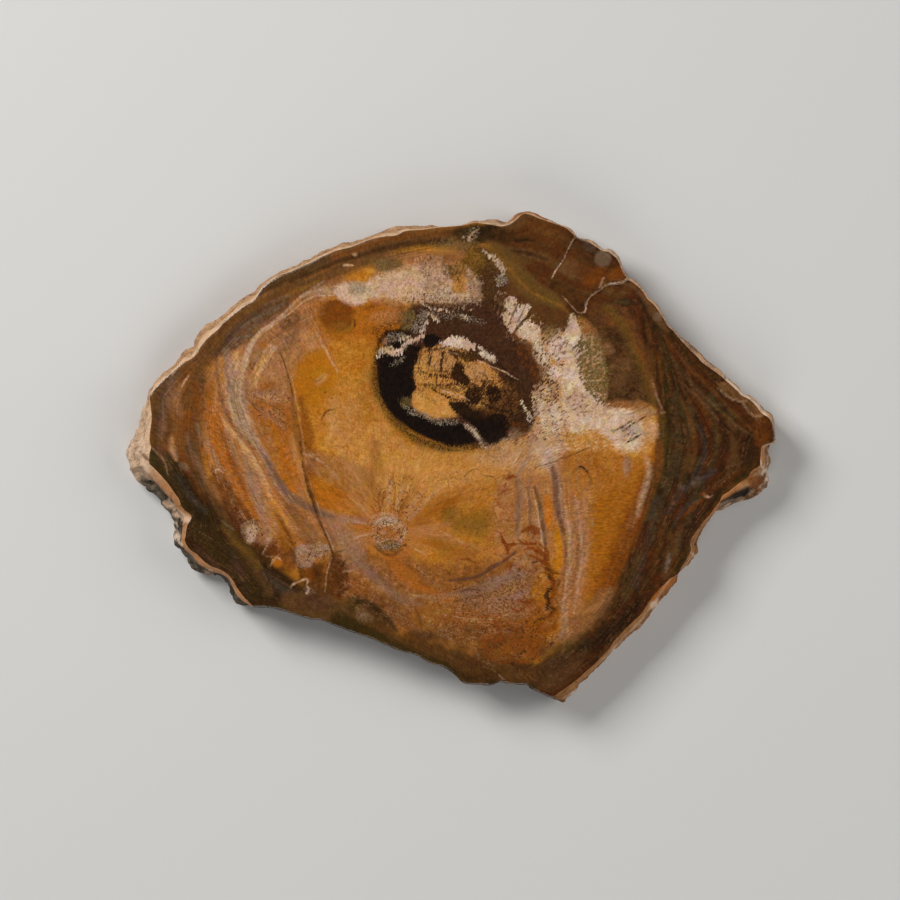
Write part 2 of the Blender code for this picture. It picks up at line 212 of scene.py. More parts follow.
def smooth_path(points: tuple[Point, ...], closed: bool, steps: int = 5) -> np.ndarray:
    """Returns a smooth line through given points.

    Args:
        points: The points, in order.
        closed: Whether the line comes back to its first point.
        steps: How many pieces each stretch is cut into.

    Returns:
        One row for each point of the smooth line.
    """
    spots = np.array(points, dtype=float)
    if closed:
        padded = np.vstack([spots[-1:], spots, spots[:2]])
    else:
        padded = np.vstack([2 * spots[:1] - spots[1:2], spots, 2 * spots[-1:] - spots[-2:-1]])
    rows = []
    for start in range(len(padded) - 3):
        before, first, second, after = padded[start:start + 4]
        for share in np.arange(steps) / steps:
            rows.append(0.5 * (
                2 * first + (second - before) * share
                + (2 * before - 5 * first + 4 * second - after) * share ** 2
                + (3 * first - before - 3 * second + after) * share ** 3
            ))
    if not closed:
        rows.append(spots[-1])
    return np.array(rows)


def distance_to_line(x: np.ndarray, y: np.ndarray, line: np.ndarray, closed: bool,
                     widths: np.ndarray | None = None) -> np.ndarray:
    """Returns the distance from points to a line, less the line's half width where it has one.

    Args:
        x: First coordinates of the points.
        y: Second coordinates of the points.
        line: The line's own points as rows.
        closed: Whether the last point joins the first.
        widths: Half width at each of the line's points, or None.

    Returns:
        One distance for each point.
    """
    ends = np.vstack([line[1:], line[:1]]) if closed else line[1:]
    half = np.zeros(len(line)) if widths is None else widths
    best = np.full(len(x), np.inf)
    for index, (a, b) in enumerate(zip(line, ends)):
        along = b - a
        size = float(along @ along) or 1e-9
        run = np.clip(((x - a[0]) * along[0] + (y - a[1]) * along[1]) / size, 0.0, 1.0)
        gap = np.hypot(x - a[0] - along[0] * run, y - a[1] - along[1] * run)
        gap -= half[index] + (half[(index + 1) % len(half)] - half[index]) * run
        best = np.minimum(best, gap)
    return best


def is_inside(x: np.ndarray, y: np.ndarray, line: np.ndarray) -> np.ndarray:
    """Says for each point whether it lies inside a closed line.

    Args:
        x: First coordinates of the points.
        y: Second coordinates of the points.
        line: The closed line's own points as rows.

    Returns:
        One answer for each point.
    """
    odd = np.zeros(len(x), dtype=bool)
    for a, b in zip(line, np.vstack([line[1:], line[:1]])):
        if a[1] == b[1]:
            continue
        crosses = (a[1] > y) != (b[1] > y)
        odd ^= crosses & (x < a[0] + (y - a[1]) / (b[1] - a[1]) * (b[0] - a[0]))
    return odd


# Past this depth in pixels, inside or outside, a shape's depth is no longer measured.
FAR = 24.0


@dataclass(frozen=True)
class Shape:
    """A mark's outline on the photograph. Its depth is in pixels, above zero inside."""

    def box(self) -> tuple[Point, Point]:
        """Returns the lowest and highest corners."""
        raise NotImplementedError

    def measure(self, x: np.ndarray, y: np.ndarray) -> np.ndarray:
        """Returns the depth inside the shape at points that are near it."""
        raise NotImplementedError

    def near(self, x: np.ndarray, y: np.ndarray) -> np.ndarray:
        """Says which points are close enough to matter."""
        low, high = self.box()
        return (x > low[0] - FAR) & (x < high[0] + FAR) & (y > low[1] - FAR) & (y < high[1] + FAR)

    def depth(self, x: np.ndarray, y: np.ndarray) -> np.ndarray:
        """Returns how deep each point lies inside the shape, below zero outside.

        Args:
            x: First coordinates of the points.
            y: Second coordinates of the points.

        Returns:
            The depth in pixels, never below -FAR.
        """
        found = np.full(len(x), -FAR)
        close = self.near(x, y)
        if close.any():
            found[close] = np.maximum(self.measure(x[close], y[close]), -FAR)
        return found


@dataclass(frozen=True)
class Oval(Shape):
    """An oval, turned by an angle in degrees, clockwise on the photograph."""

    x: float
    y: float
    rx: float
    ry: float
    turn: float = 0.0

    def box(self) -> tuple[Point, Point]:
        """Returns the lowest and highest corners."""
        reach = max(self.rx, self.ry)
        return (self.x - reach, self.y - reach), (self.x + reach, self.y + reach)

    def measure(self, x: np.ndarray, y: np.ndarray) -> np.ndarray:
        """Returns the depth inside the oval.

        Args:
            x: First coordinates of the points.
            y: Second coordinates of the points.

        Returns:
            The depth in pixels, below zero outside.
        """
        angle = math.radians(self.turn)
        u = (x - self.x) * math.cos(angle) + (y - self.y) * math.sin(angle)
        v = (y - self.y) * math.cos(angle) - (x - self.x) * math.sin(angle)
        return (1.0 - np.hypot(u / self.rx, v / self.ry)) * min(self.rx, self.ry)


@dataclass(frozen=True)
class Patch(Shape):
    """A closed shape through given points."""

    points: tuple[Point, ...]

    def box(self) -> tuple[Point, Point]:
        """Returns the lowest and highest corners."""
        xs, ys = zip(*self.points)
        return (min(xs), min(ys)), (max(xs), max(ys))

    def measure(self, x: np.ndarray, y: np.ndarray) -> np.ndarray:
        """Returns the depth inside the patch."""
        line = smooth_path(self.points, closed=True, steps=4)
        gap = distance_to_line(x, y, line, closed=True)
        return np.where(is_inside(x, y, line), gap, -gap)


@dataclass(frozen=True)
class Streak(Shape):
    """A line with a width in pixels that may change along it: one number, or one for each point."""

    points: tuple[Point, ...]
    width: float | tuple[float, ...] = 2.0

    def box(self) -> tuple[Point, Point]:
        """Returns the lowest and highest corners."""
        xs, ys = zip(*self.points)
        half = 0.5 * (max(self.width) if isinstance(self.width, tuple) else self.width)
        return (min(xs) - half, min(ys) - half), (max(xs) + half, max(ys) + half)

    def measure(self, x: np.ndarray, y: np.ndarray) -> np.ndarray:
        """Returns the depth inside the streak.

        Args:
            x: First coordinates of the points.
            y: Second coordinates of the points.

        Returns:
            The depth in pixels, below zero outside.
        """
        line = smooth_path(self.points, closed=False)
        given = self.width if isinstance(self.width, tuple) else (self.width,) * len(self.points)
        shares = np.linspace(0.0, len(given) - 1.0, len(line))
        half = 0.5 * np.interp(shares, np.arange(len(given)), given)
        return -distance_to_line(x, y, line, closed=False, widths=half)


@dataclass(frozen=True)
class Rind:
    """How a stretch of the weathered wall looks.

    It has two colours for the rough wall and one for the smooth ribbon, the share of the wall that the
    rind covers, and its grit. The named places say where each stands in its row of numbers.
    """

    LIGHT = slice(0, 3)
    DARK = slice(3, 6)
    ROUGH_WALL = slice(0, 6)
    RIBBON = slice(6, 9)
    COVER = 9
    GRIT = 10

    light: Colour
    dark: Colour
    ribbon: Colour
    cover: float
    grit: float

    def numbers(self) -> tuple[float, ...]:
        """Returns the looks as one row of numbers."""
        return (*self.light, *self.dark, *self.ribbon, self.cover, self.grit)


@dataclass(frozen=True)
class Stretch:
    """One stretch of the rim, in millimetres, as in the solid.

    Each station is (face x, face y, reach x, reach y): where the polished face ends, and how far out
    the rough wall stands below it. The stations run anticlockwise. The ribbon is the smooth strip right
    under the face. Above 1, flare drops the wall steeply before it spreads. The foot leans in again.
    """

    rind: Rind
    ribbon_share: float
    ribbon_drop: float
    reach_height: float
    flare: float
    foot_lean: float
    roughness: float
    stations: tuple[tuple[float, float, float, float], ...]

    def style(self) -> tuple[float, ...]:
        """Returns the wall's six shape numbers."""
        return (self.ribbon_share, self.ribbon_drop, self.reach_height, self.flare, self.foot_lean,
                self.roughness)


THICKNESS = 14.0

UPPER_RIGHT = Stretch(
    rind=Rind(light=(0.46, 0.26, 0.14), dark=(0.18, 0.08, 0.035), ribbon=(0.50, 0.29, 0.16),
              cover=1.0, grit=0.35),
    ribbon_share=0.80, ribbon_drop=1.0, reach_height=0.70, flare=1.0, foot_lean=1.1, roughness=0.65,
    stations=(
        (97.0, 4.6, 97.6, 4.6), (97.2, 7.8, 97.6, 7.8), (96.4, 10.2, 97.3, 10.5),
        (95.4, 11.7, 96.6, 12.6), (93.4, 13.0, 94.6, 14.1), (91.2, 15.8, 92.1, 17.0),
        (89.2, 17.4, 89.8, 18.5), (87.4, 18.3, 88.0, 19.2), (86.0, 19.8, 86.8, 20.7),
        (82.4, 23.0, 83.2, 23.8), (80.2, 24.9, 81.2, 26.0), (77.8, 26.6, 78.9, 27.6),
        (75.4, 28.4, 76.5, 29.4), (74.0, 30.0, 75.2, 31.2), (71.9, 32.0, 72.9, 33.2),
        (68.4, 35.8, 68.8, 36.4), (67.0, 37.6, 67.6, 38.2), (65.4, 39.0, 66.0, 39.4),
        (64.5, 40.6, 65.2, 41.1), (62.8, 43.2, 63.7, 44.0), (61.0, 45.6, 62.1, 46.5),
        (59.2, 47.2, 60.0, 48.2), (57.8, 49.5, 58.5, 50.2), (54.8, 52.2, 55.2, 53.1),
        (53.4, 53.1, 53.8, 53.6), (51.9, 55.2, 52.6, 55.5), (51.0, 57.2, 52.0, 57.4),
        (50.1, 59.1, 51.2, 59.8), (49.0, 60.2, 50.0, 61.2), (47.1, 61.5, 47.6, 62.5),
        (45.8, 61.6, 46.0, 62.4), (44.0, 62.7, 44.4, 63.6), (42.0, 64.0, 42.4, 65.0),
        (40.0, 64.8, 40.4, 65.6), (38.1, 65.6, 38.4, 66.0), (36.8, 66.8, 37.6, 67.4),
        (35.8, 67.6, 36.8, 68.6), (35.0, 68.4, 35.6, 69.4), (32.8, 69.3, 33.2, 70.0),
        (30.2, 70.2, 30.4, 71.0), (28.4, 70.8, 28.6, 71.6), (26.2, 71.6, 26.6, 72.6),
        (24.3, 72.4, 24.4, 73.5), (22.4, 72.8, 22.4, 73.8), (21.2, 72.3, 20.7, 73.6),
        (20.0, 71.2, 19.2, 72.6), (18.8, 70.2, 18.0, 71.4),
    ),
)

UPPER_LEFT = Stretch(
    rind=Rind(light=(0.58, 0.34, 0.18), dark=(0.32, 0.16, 0.075), ribbon=(0.62, 0.39, 0.22),
              cover=1.1, grit=0.55),
    ribbon_share=0.35, ribbon_drop=1.6, reach_height=0.30, flare=1.0, foot_lean=0.6, roughness=0.70,
    stations=(
        (17.2, 69.4, 16.8, 70.6), (15.4, 69.0, 15.4, 70.8), (14.0, 69.2, 14.0, 71.3),
        (8.8, 70.0, 8.8, 71.2), (6.6, 70.0, 6.6, 71.1), (5.0, 69.6, 5.0, 70.4),
        (2.8, 69.2, 2.8, 69.7), (-3.2, 68.7, -3.2, 69.4), (-5.6, 68.4, -5.6, 69.8),
        (-8.8, 68.0, -8.6, 69.3), (-12.2, 67.8, -11.2, 69.6), (-14.2, 67.4, -14.6, 69.5),
        (-16.4, 66.3, -17.0, 69.2), (-19.4, 66.0, -19.6, 68.2), (-22.0, 65.6, -22.4, 67.1),
        (-24.8, 64.8, -24.8, 66.3), (-27.8, 63.6, -27.8, 65.3), (-30.2, 62.7, -30.4, 64.7),
        (-32.8, 62.1, -32.8, 64.6), (-35.2, 61.4, -35.1, 63.7), (-37.4, 60.4, -37.2, 62.8),
        (-39.2, 59.6, -39.2, 61.5), (-41.2, 58.5, -41.6, 60.3), (-45.8, 56.4, -45.9, 58.1),
        (-48.4, 55.2, -48.8, 56.9), (-51.2, 54.2, -51.2, 55.7), (-56.0, 51.0, -56.6, 52.2),
        (-58.8, 47.1, -59.6, 49.8), (-62.0, 45.0, -63.2, 47.2), (-64.5, 43.2, -65.8, 45.4),
        (-68.0, 40.2, -69.3, 42.7), (-70.0, 38.1, -71.6, 40.5), (-71.8, 36.4, -73.4, 39.8),
        (-73.5, 34.8, -75.0, 38.1), (-74.8, 33.2, -76.5, 36.3), (-76.0, 31.2, -77.6, 33.6),
        (-77.7, 29.4, -78.6, 32.8), (-79.6, 28.4, -80.6, 31.6), (-81.2, 27.3, -81.4, 30.3),
        (-82.6, 26.1, -82.6, 28.8), (-84.4, 24.4, -85.4, 26.5), (-86.0, 23.1, -87.0, 25.5),
        (-87.8, 21.3, -89.1, 23.1), (-89.4, 19.6, -90.0, 21.0), (-90.2, 18.0, -90.8, 19.8),
    ),
)

LEFT_LUMP = Stretch(
    rind=Rind(light=(0.78, 0.55, 0.36), dark=(0.42, 0.25, 0.14), ribbon=(0.62, 0.40, 0.24),
              cover=1.2, grit=1.0),
    ribbon_share=0.30, ribbon_drop=1.5, reach_height=0.50, flare=0.7, foot_lean=2.2, roughness=0.80,
    stations=(
        (-90.0, 16.2, -91.2, 18.0), (-89.8, 14.1, -91.6, 15.8), (-89.6, 12.3, -92.7, 14.1),
        (-89.7, 10.2, -93.3, 11.4), (-90.2, 6.2, -95.2, 7.0), (-90.2, 4.4, -96.3, 5.0),
        (-89.8, 2.7, -97.4, 3.3), (-90.2, 1.0, -97.8, 1.2), (-90.3, -0.6, -97.5, -1.0),
        (-90.2, -2.2, -96.6, -3.6),
    ),
)

# Painted shade: the rough wall's two colours are darkened to grey and near black because this side lies in
# shadow. The ribbon's tan is its own colour.
LOWER_LEFT = Stretch(
    rind=Rind(light=(0.17, 0.13, 0.09), dark=(0.03, 0.022, 0.015), ribbon=(0.42, 0.19, 0.075),
              cover=1.1, grit=0.9),
    ribbon_share=0.40, ribbon_drop=2.0, reach_height=0.30, flare=2.0, foot_lean=0.9, roughness=1.05,
    stations=(
        (-89.0, -3.4, -95.9, -5.0), (-86.7, -5.8, -94.5, -7.0), (-84.3, -8.6, -91.5, -9.8),
        (-83.4, -9.9, -90.2, -11.3), (-82.4, -11.4, -88.4, -12.9), (-81.3, -12.9, -87.3, -14.4),
        (-80.8, -14.6, -85.6, -15.8), (-79.6, -16.2, -84.3, -17.4), (-77.6, -18.0, -83.6, -18.9),
        (-78.9, -20.7, -83.2, -20.8), (-79.4, -23.6, -83.3, -23.7), (-79.6, -25.5, -83.0, -26.5),
        (-78.2, -27.8, -81.8, -27.8), (-75.9, -29.4, -79.4, -31.3), (-74.6, -30.8, -77.8, -33.7),
        (-72.2, -32.7, -74.6, -35.3), (-69.3, -33.9, -72.8, -36.2), (-67.4, -35.0, -70.4, -36.0),
        (-65.8, -36.4, -68.2, -37.4), (-64.6, -38.4, -67.4, -39.0), (-63.2, -40.5, -66.4, -41.7),
        (-61.4, -42.8, -65.0, -43.8), (-60.3, -43.8, -63.2, -44.7), (-59.2, -44.9, -60.8, -45.2),
    ),
)

# Painted shade: all three colours are near black because the undercut lower edge lies in shadow.
BOTTOM = Stretch(
    rind=Rind(light=(0.07, 0.035, 0.016), dark=(0.02, 0.01, 0.005), ribbon=(0.07, 0.035, 0.014),
              cover=0.9, grit=0.6),
    ribbon_share=0.50, ribbon_drop=1.5, reach_height=0.60, flare=1.0, foot_lean=1.8, roughness=0.85,
    stations=(
        (-57.2, -45.3, -57.2, -45.3), (-54.2, -45.4, -54.2, -45.4), (-51.0, -46.0, -51.0, -46.0),
        (-45.0, -48.0, -45.0, -48.0), (-42.2, -48.8, -42.2, -48.8), (-39.0, -49.1, -39.0, -49.1),
        (-36.4, -50.1, -36.4, -50.1), (-30.2, -52.5, -30.2, -52.5), (-24.9, -54.2, -24.9, -54.2),
        (-22.0, -55.4, -22.0, -55.4), (-18.9, -56.8, -18.9, -56.8), (-14.1, -58.7, -14.1, -58.7),
        (-11.2, -59.3, -11.2, -59.3), (-8.7, -60.5, -8.7, -60.5), (-6.0, -62.0, -6.0, -62.0),
        (-2.4, -63.1, -2.4, -63.1), (0.0, -64.5, 0.0, -64.5), (2.1, -66.2, 2.1, -66.2),
        (3.3, -67.5, 3.3, -67.5), (5.0, -68.3, 5.0, -68.3), (8.8, -68.5, 8.8, -68.5),
        (12.0, -68.7, 12.0, -68.7), (15.0, -67.7, 15.0, -67.7), (17.0, -68.1, 17.0, -68.1),
        (20.8, -68.5, 20.8, -68.5), (23.0, -68.7, 23.0, -68.7), (24.4, -69.7, 24.4, -69.7),
        (26.8, -70.9, 26.8, -70.9), (29.7, -72.1, 29.7, -72.1),
    ),
)

LOWER_RIGHT = Stretch(
    rind=Rind(light=(0.38, 0.17, 0.06), dark=(0.17, 0.065, 0.02), ribbon=(0.34, 0.15, 0.05),
              cover=1.1, grit=0.6),
    ribbon_share=0.70, ribbon_drop=1.8, reach_height=0.60, flare=1.0, foot_lean=1.0, roughness=0.75,
    stations=(
        (31.2, -71.9, 32.4, -73.4), (32.8, -70.7, 34.2, -73.9), (34.8, -69.4, 35.8, -72.3),
        (38.1, -66.9, 39.2, -68.7), (40.6, -64.6, 42.0, -66.2), (43.2, -62.4, 44.5, -63.7),
        (45.3, -60.2, 46.9, -61.2), (47.7, -57.6, 49.3, -58.5), (49.2, -55.4, 50.8, -56.9),
        (54.6, -49.8, 56.5, -52.0), (56.9, -47.7, 58.9, -49.6), (58.2, -46.0, 60.4, -47.7),
        (59.1, -44.6, 61.6, -45.7), (60.2, -42.9, 63.0, -44.4), (62.2, -40.4, 65.2, -41.3),
        (64.2, -38.4, 66.9, -39.6), (65.8, -36.8, 68.0, -38.1), (68.2, -35.2, 68.8, -35.4),
        (69.4, -33.2, 71.0, -33.6), (70.8, -31.0, 72.9, -31.2), (72.3, -27.9, 74.6, -28.3),
        (72.0, -26.2, 74.1, -26.5), (72.3, -24.9, 74.4, -25.2), (73.3, -23.1, 75.4, -23.0),
        (74.7, -21.3, 76.8, -20.6), (76.0, -19.4, 78.0, -19.0), (77.7, -17.7, 79.8, -17.2),
    ),
)

RIGHT_END = Stretch(
    rind=Rind(light=(0.48, 0.30, 0.17), dark=(0.12, 0.055, 0.025), ribbon=(0.42, 0.22, 0.10),
              cover=1.2, grit=0.95),
    ribbon_share=0.45, ribbon_drop=1.6, reach_height=0.35, flare=2.0, foot_lean=1.4, roughness=1.20,
    stations=(
        (79.2, -15.6, 82.4, -15.9), (80.8, -13.5, 85.0, -14.4), (81.6, -11.8, 87.3, -13.5),
        (83.4, -10.6, 90.2, -12.8), (85.4, -9.0, 92.1, -11.7), (87.3, -7.5, 94.5, -9.9),
        (89.4, -6.0, 95.6, -8.6), (90.4, -4.4, 96.0, -6.6), (92.0, -3.3, 95.4, -5.0),
        (93.0, -2.6, 95.6, -3.4), (93.0, -0.9, 96.4, -1.6), (93.2, 0.6, 96.3, -0.4),
        (93.3, 2.1, 95.7, 1.0), (93.8, 3.3, 96.4, 3.0),
    ),
)

RIM = (UPPER_RIGHT, UPPER_LEFT, LEFT_LUMP, LOWER_LEFT, BOTTOM, LOWER_RIGHT, RIGHT_END)


# Width of the step at a flake's edge, in millimetres.
FLAKE_EDGE = 0.3


@dataclass(frozen=True)
class Flake:
    """A flake broken off the face: low ground on the left-hand side of a path, which rises again."""

    path: tuple[Point, ...]
    depth: float
    spread: float
    tail: float

    def line(self) -> np.ndarray:
        """Returns the path as a smooth line."""
        return smooth_path(self.path, closed=False, steps=6)

    def beside(self, offset: float) -> np.ndarray:
        """Returns points beside the path, at an offset to its left.

        Args:
            offset: How far to the left of the path, in millimetres.

        Returns:
            One row for each point.
        """
        line = self.line()
        along = np.gradient(line, axis=0)
        along /= np.linalg.norm(along, axis=1, keepdims=True)
        return line + offset * np.column_stack([-along[:, 1], along[:, 0]])

    def drop(self, x: np.ndarray, y: np.ndarray) -> np.ndarray:
        """Returns how far the flake lowers each point.

        Args:
            x: First coordinates of the points.
            y: Second coordinates of the points.

        Returns:
            The drop in millimetres, zero elsewhere.
        """
        line = self.line()
        steps = np.hypot(*np.diff(line, axis=0).T)
        gap, side, left = np.full(len(x), np.inf), np.zeros(len(x)), np.zeros(len(x))
        ahead = steps.sum()
        for (ax, ay), (bx, by), length in zip(line, line[1:], steps):
            ux, uy = (bx - ax) / length, (by - ay) / length
            run = np.clip((x - ax) * ux + (y - ay) * uy, 0.0, length)
            reach = np.hypot(x - ax - ux * run, y - ay - uy * run)
            closer = reach < gap
            gap = np.where(closer, reach, gap)
            side = np.where(closer, (y - ay) * ux - (x - ax) * uy, side)
            left = np.where(closer, ahead - run, left)
            ahead -= length
        floor = ease(gap / FLAKE_EDGE) * (1.0 - ease(gap / self.spread)) * ease(left / self.tail)
        return self.depth * np.where(side > 0.0, floor, 0.0)


FLAKES = (
    Flake(path=((38.0, 66.6), (36.2, 64.1), (35.3, 62.5), (33.1, 58.9), (31.1, 55.3), (30.5, 53.5)),
          depth=0.7, spread=11.0, tail=9.0),
    Flake(path=((53.9, 53.8), (50.5, 52.1), (46.9, 51.7), (44.9, 50.3), (42.5, 48.7), (41.0, 47.3),
                (40.4, 45.3), (40.6, 44.0), (39.2, 43.5)),
          depth=0.9, spread=15.0, tail=7.0),
)


@dataclass(frozen=True)
class Wall:
    """Numbers of the wall's grain, as in the solid, and how many rows the piece's wall has."""

    lump_size: float = 7.0
    lump_share: float = 2.3
    pit_size: float = 2.8
    pit_share: float = 1.4
    ridge_squash: float = 0.35
    ledge_height: float = 5.5
    ledge_share: float = 0.7
    level: float = 0.2
    pit_shift: float = 31.0
    ribbon_rows: int = 5
    wall_rows: int = 14
    foot_rows: int = 7
    ribbon_bulge: float = 1.4
    ribbon_roughness: float = 0.25
    wall_steps: tuple[float, ...] = (0.0, 0.25, 0.75, 1.0)
    wall_roughness: tuple[float, ...] = (0.25, 1.0, 1.0, 0.45)
    foot_steps: tuple[float, ...] = (0.0, 0.4, 0.75, 1.0)
    foot_roughness: tuple[float, ...] = (0.45, 0.9, 0.9, 0.5)

    def hollow(self, x: float, y: float, z: float, roughness: float) -> float:
        """Returns how far the wall's lumps, pits and ledges cut in at a place.

        Args:
            x: First coordinate in millimetres.
            y: Second coordinate in millimetres.
            z: Height in millimetres.
            roughness: Share of the full depth.

        Returns:
            The cut in millimetres, never below zero.
        """
        lumps = noise.noise(Vector((x, y, z * self.ridge_squash)) / self.lump_size)
        pits = noise.noise(Vector((x + self.pit_shift, y, z)) / self.pit_size)
        ledges = (z / self.ledge_height + 2.0 * lumps) % 1.0
        depth = self.level + self.lump_share * lumps + self.pit_share * pits + self.ledge_share * ledges
        return roughness * max(0.0, depth)

    def rows(self, style: np.ndarray) -> list[tuple[float, float, float, float]]:
        """Returns the wall's rows below the face: share of the reach, height, lean and roughness.

        Args:
            style: The six shape numbers of the stretch.
        """
        ribbon_share, ribbon_drop, reach_height, flare, foot_lean, _ = style
        widest, ribbon_z = reach_height * THICKNESS, THICKNESS - ribbon_drop
        made = []
        for row in range(1, self.ribbon_rows + 1):
            step = row / self.ribbon_rows
            height = THICKNESS - ribbon_drop * step ** self.ribbon_bulge
            made.append((ribbon_share * step, height, 0.0, self.ribbon_roughness * step ** 3))
        for row in range(1, self.wall_rows + 1):
            step = row / self.wall_rows
            share = ribbon_share + (1.0 - ribbon_share) * step ** flare
            rough = np.interp(step, self.wall_steps, self.wall_roughness)
            made.append((share, ribbon_z + (widest - ribbon_z) * step, 0.0, float(rough)))
        for row in range(1, self.foot_rows + 1):
            step = row / self.foot_rows
            rough = np.interp(step, self.foot_steps, self.foot_roughness)
            made.append((1.0, widest * (1.0 - step), foot_lean * step * step, float(rough)))
        return made


@dataclass
class Rim:
    """Points round the rim, evenly spaced: the face's edge, the reach, the way out and the styles."""

    TANGENT_STEP = 3
    RIND_BLUR = 12

    face: np.ndarray
    reach: np.ndarray
    out: np.ndarray
    styles: np.ndarray
    rinds: np.ndarray

    @classmethod
    def trace(cls, count: int) -> "Rim":
        """Runs a smooth closed curve through the stations.

        Args:
            count: How many points the rim has.
        """
        table = np.array([station for stretch in RIM for station in stretch.stations])
        styles = np.array([stretch.style() for stretch in RIM for _ in stretch.stations])
        rinds = np.array([stretch.rind.numbers() for stretch in RIM for _ in stretch.stations])
        steps = np.roll(table, -1, axis=0) - table
        lengths = 0.5 * (np.hypot(steps[:, 0], steps[:, 1]) + np.hypot(steps[:, 2], steps[:, 3]))
        starts = np.concatenate([[0.0], np.cumsum(lengths)])
        places = starts[-1] * np.arange(count) / count
        here = np.clip(np.searchsorted(starts, places, side="right") - 1, 0, len(table) - 1)
        after, later, before = (here + 1) % len(table), (here + 2) % len(table), here - 1
        share = ((places - starts[here]) / lengths[here])[:, None]
        span, back, ahead = lengths[here], lengths[before], lengths[after]
        slope_in = (table[after] - table[before]) * (span / (span + back))[:, None]
        slope_out = (table[later] - table[here]) * (span / (span + ahead))[:, None]
        s2, s3 = share ** 2, share ** 3
        spots = (table[here] * (2 * s3 - 3 * s2 + 1) + slope_in * (s3 - 2 * s2 + share)
                 + table[after] * (3 * s2 - 2 * s3) + slope_out * (s3 - s2))
        step = cls.TANGENT_STEP
        along = np.roll(spots[:, :2], -step, axis=0) - np.roll(spots[:, :2], step, axis=0)
        out = np.column_stack([along[:, 1], -along[:, 0]])
        out /= np.linalg.norm(out, axis=1, keepdims=True)
        spread = range(-cls.RIND_BLUR, cls.RIND_BLUR + 1)
        blurred = np.mean([np.roll(rinds[here], shift, axis=0) for shift in spread], axis=0)
        return cls(face=spots[:, :2], reach=spots[:, 2:], out=out,
                   styles=styles[here] * (1.0 - share) + styles[after] * share, rinds=blurred)

    def wall(self, wall: Wall) -> np.ndarray:
        """Returns the wall's points as rows, columns and coordinates, from under the face to the foot.

        Args:
            wall: The wall's profile.

        Returns:
            The points as rows, columns and coordinates.
        """
        columns = []
        for face, reach, out, style in zip(self.face, self.reach, self.out, self.styles):
            column = []
            for share, z, lean, rough in wall.rows(style):
                spot = face + (reach - face) * share - out * lean
                cut = wall.hollow(spot[0], spot[1], z, style[5] * rough)
                column.append((*(spot - out * cut), z))
            columns.append(column)
        rows = np.array(columns).transpose(1, 0, 2)
        for step in range(1, wall.foot_rows + 1):
            for _ in range(step):
                ring = rows[step - wall.foot_rows - 1]
                ring[:] = 0.5 * ring + 0.25 * (np.roll(ring, 1, axis=0) + np.roll(ring, -1, axis=0))
        return rows


class Part(Enum):
    """The slab's three surfaces, in the order of its material slots."""

    FACE = 0
    WALL = 1
    BACK = 2


@dataclass(frozen=True)
class Panel:
    """A place on the bake's square: its lower left corner and the scale in squares for each millimetre."""

    left: float
    low: float
    scale: float


FACE_PANEL = Panel(left=0.47, low=0.355, scale=0.0047)
BACK_PANEL = Panel(left=0.205, low=0.855, scale=0.0019)
WALL_PANEL = Panel(left=0.42, low=0.715, scale=0.0039)
# The wall is laid out in strips, one above the other; each fills this share of its strip.
WALL_STRIPS = 4
STRIP_RISE = 0.072
STRIP_FILL = 0.92
RIM_STEP = 0.58


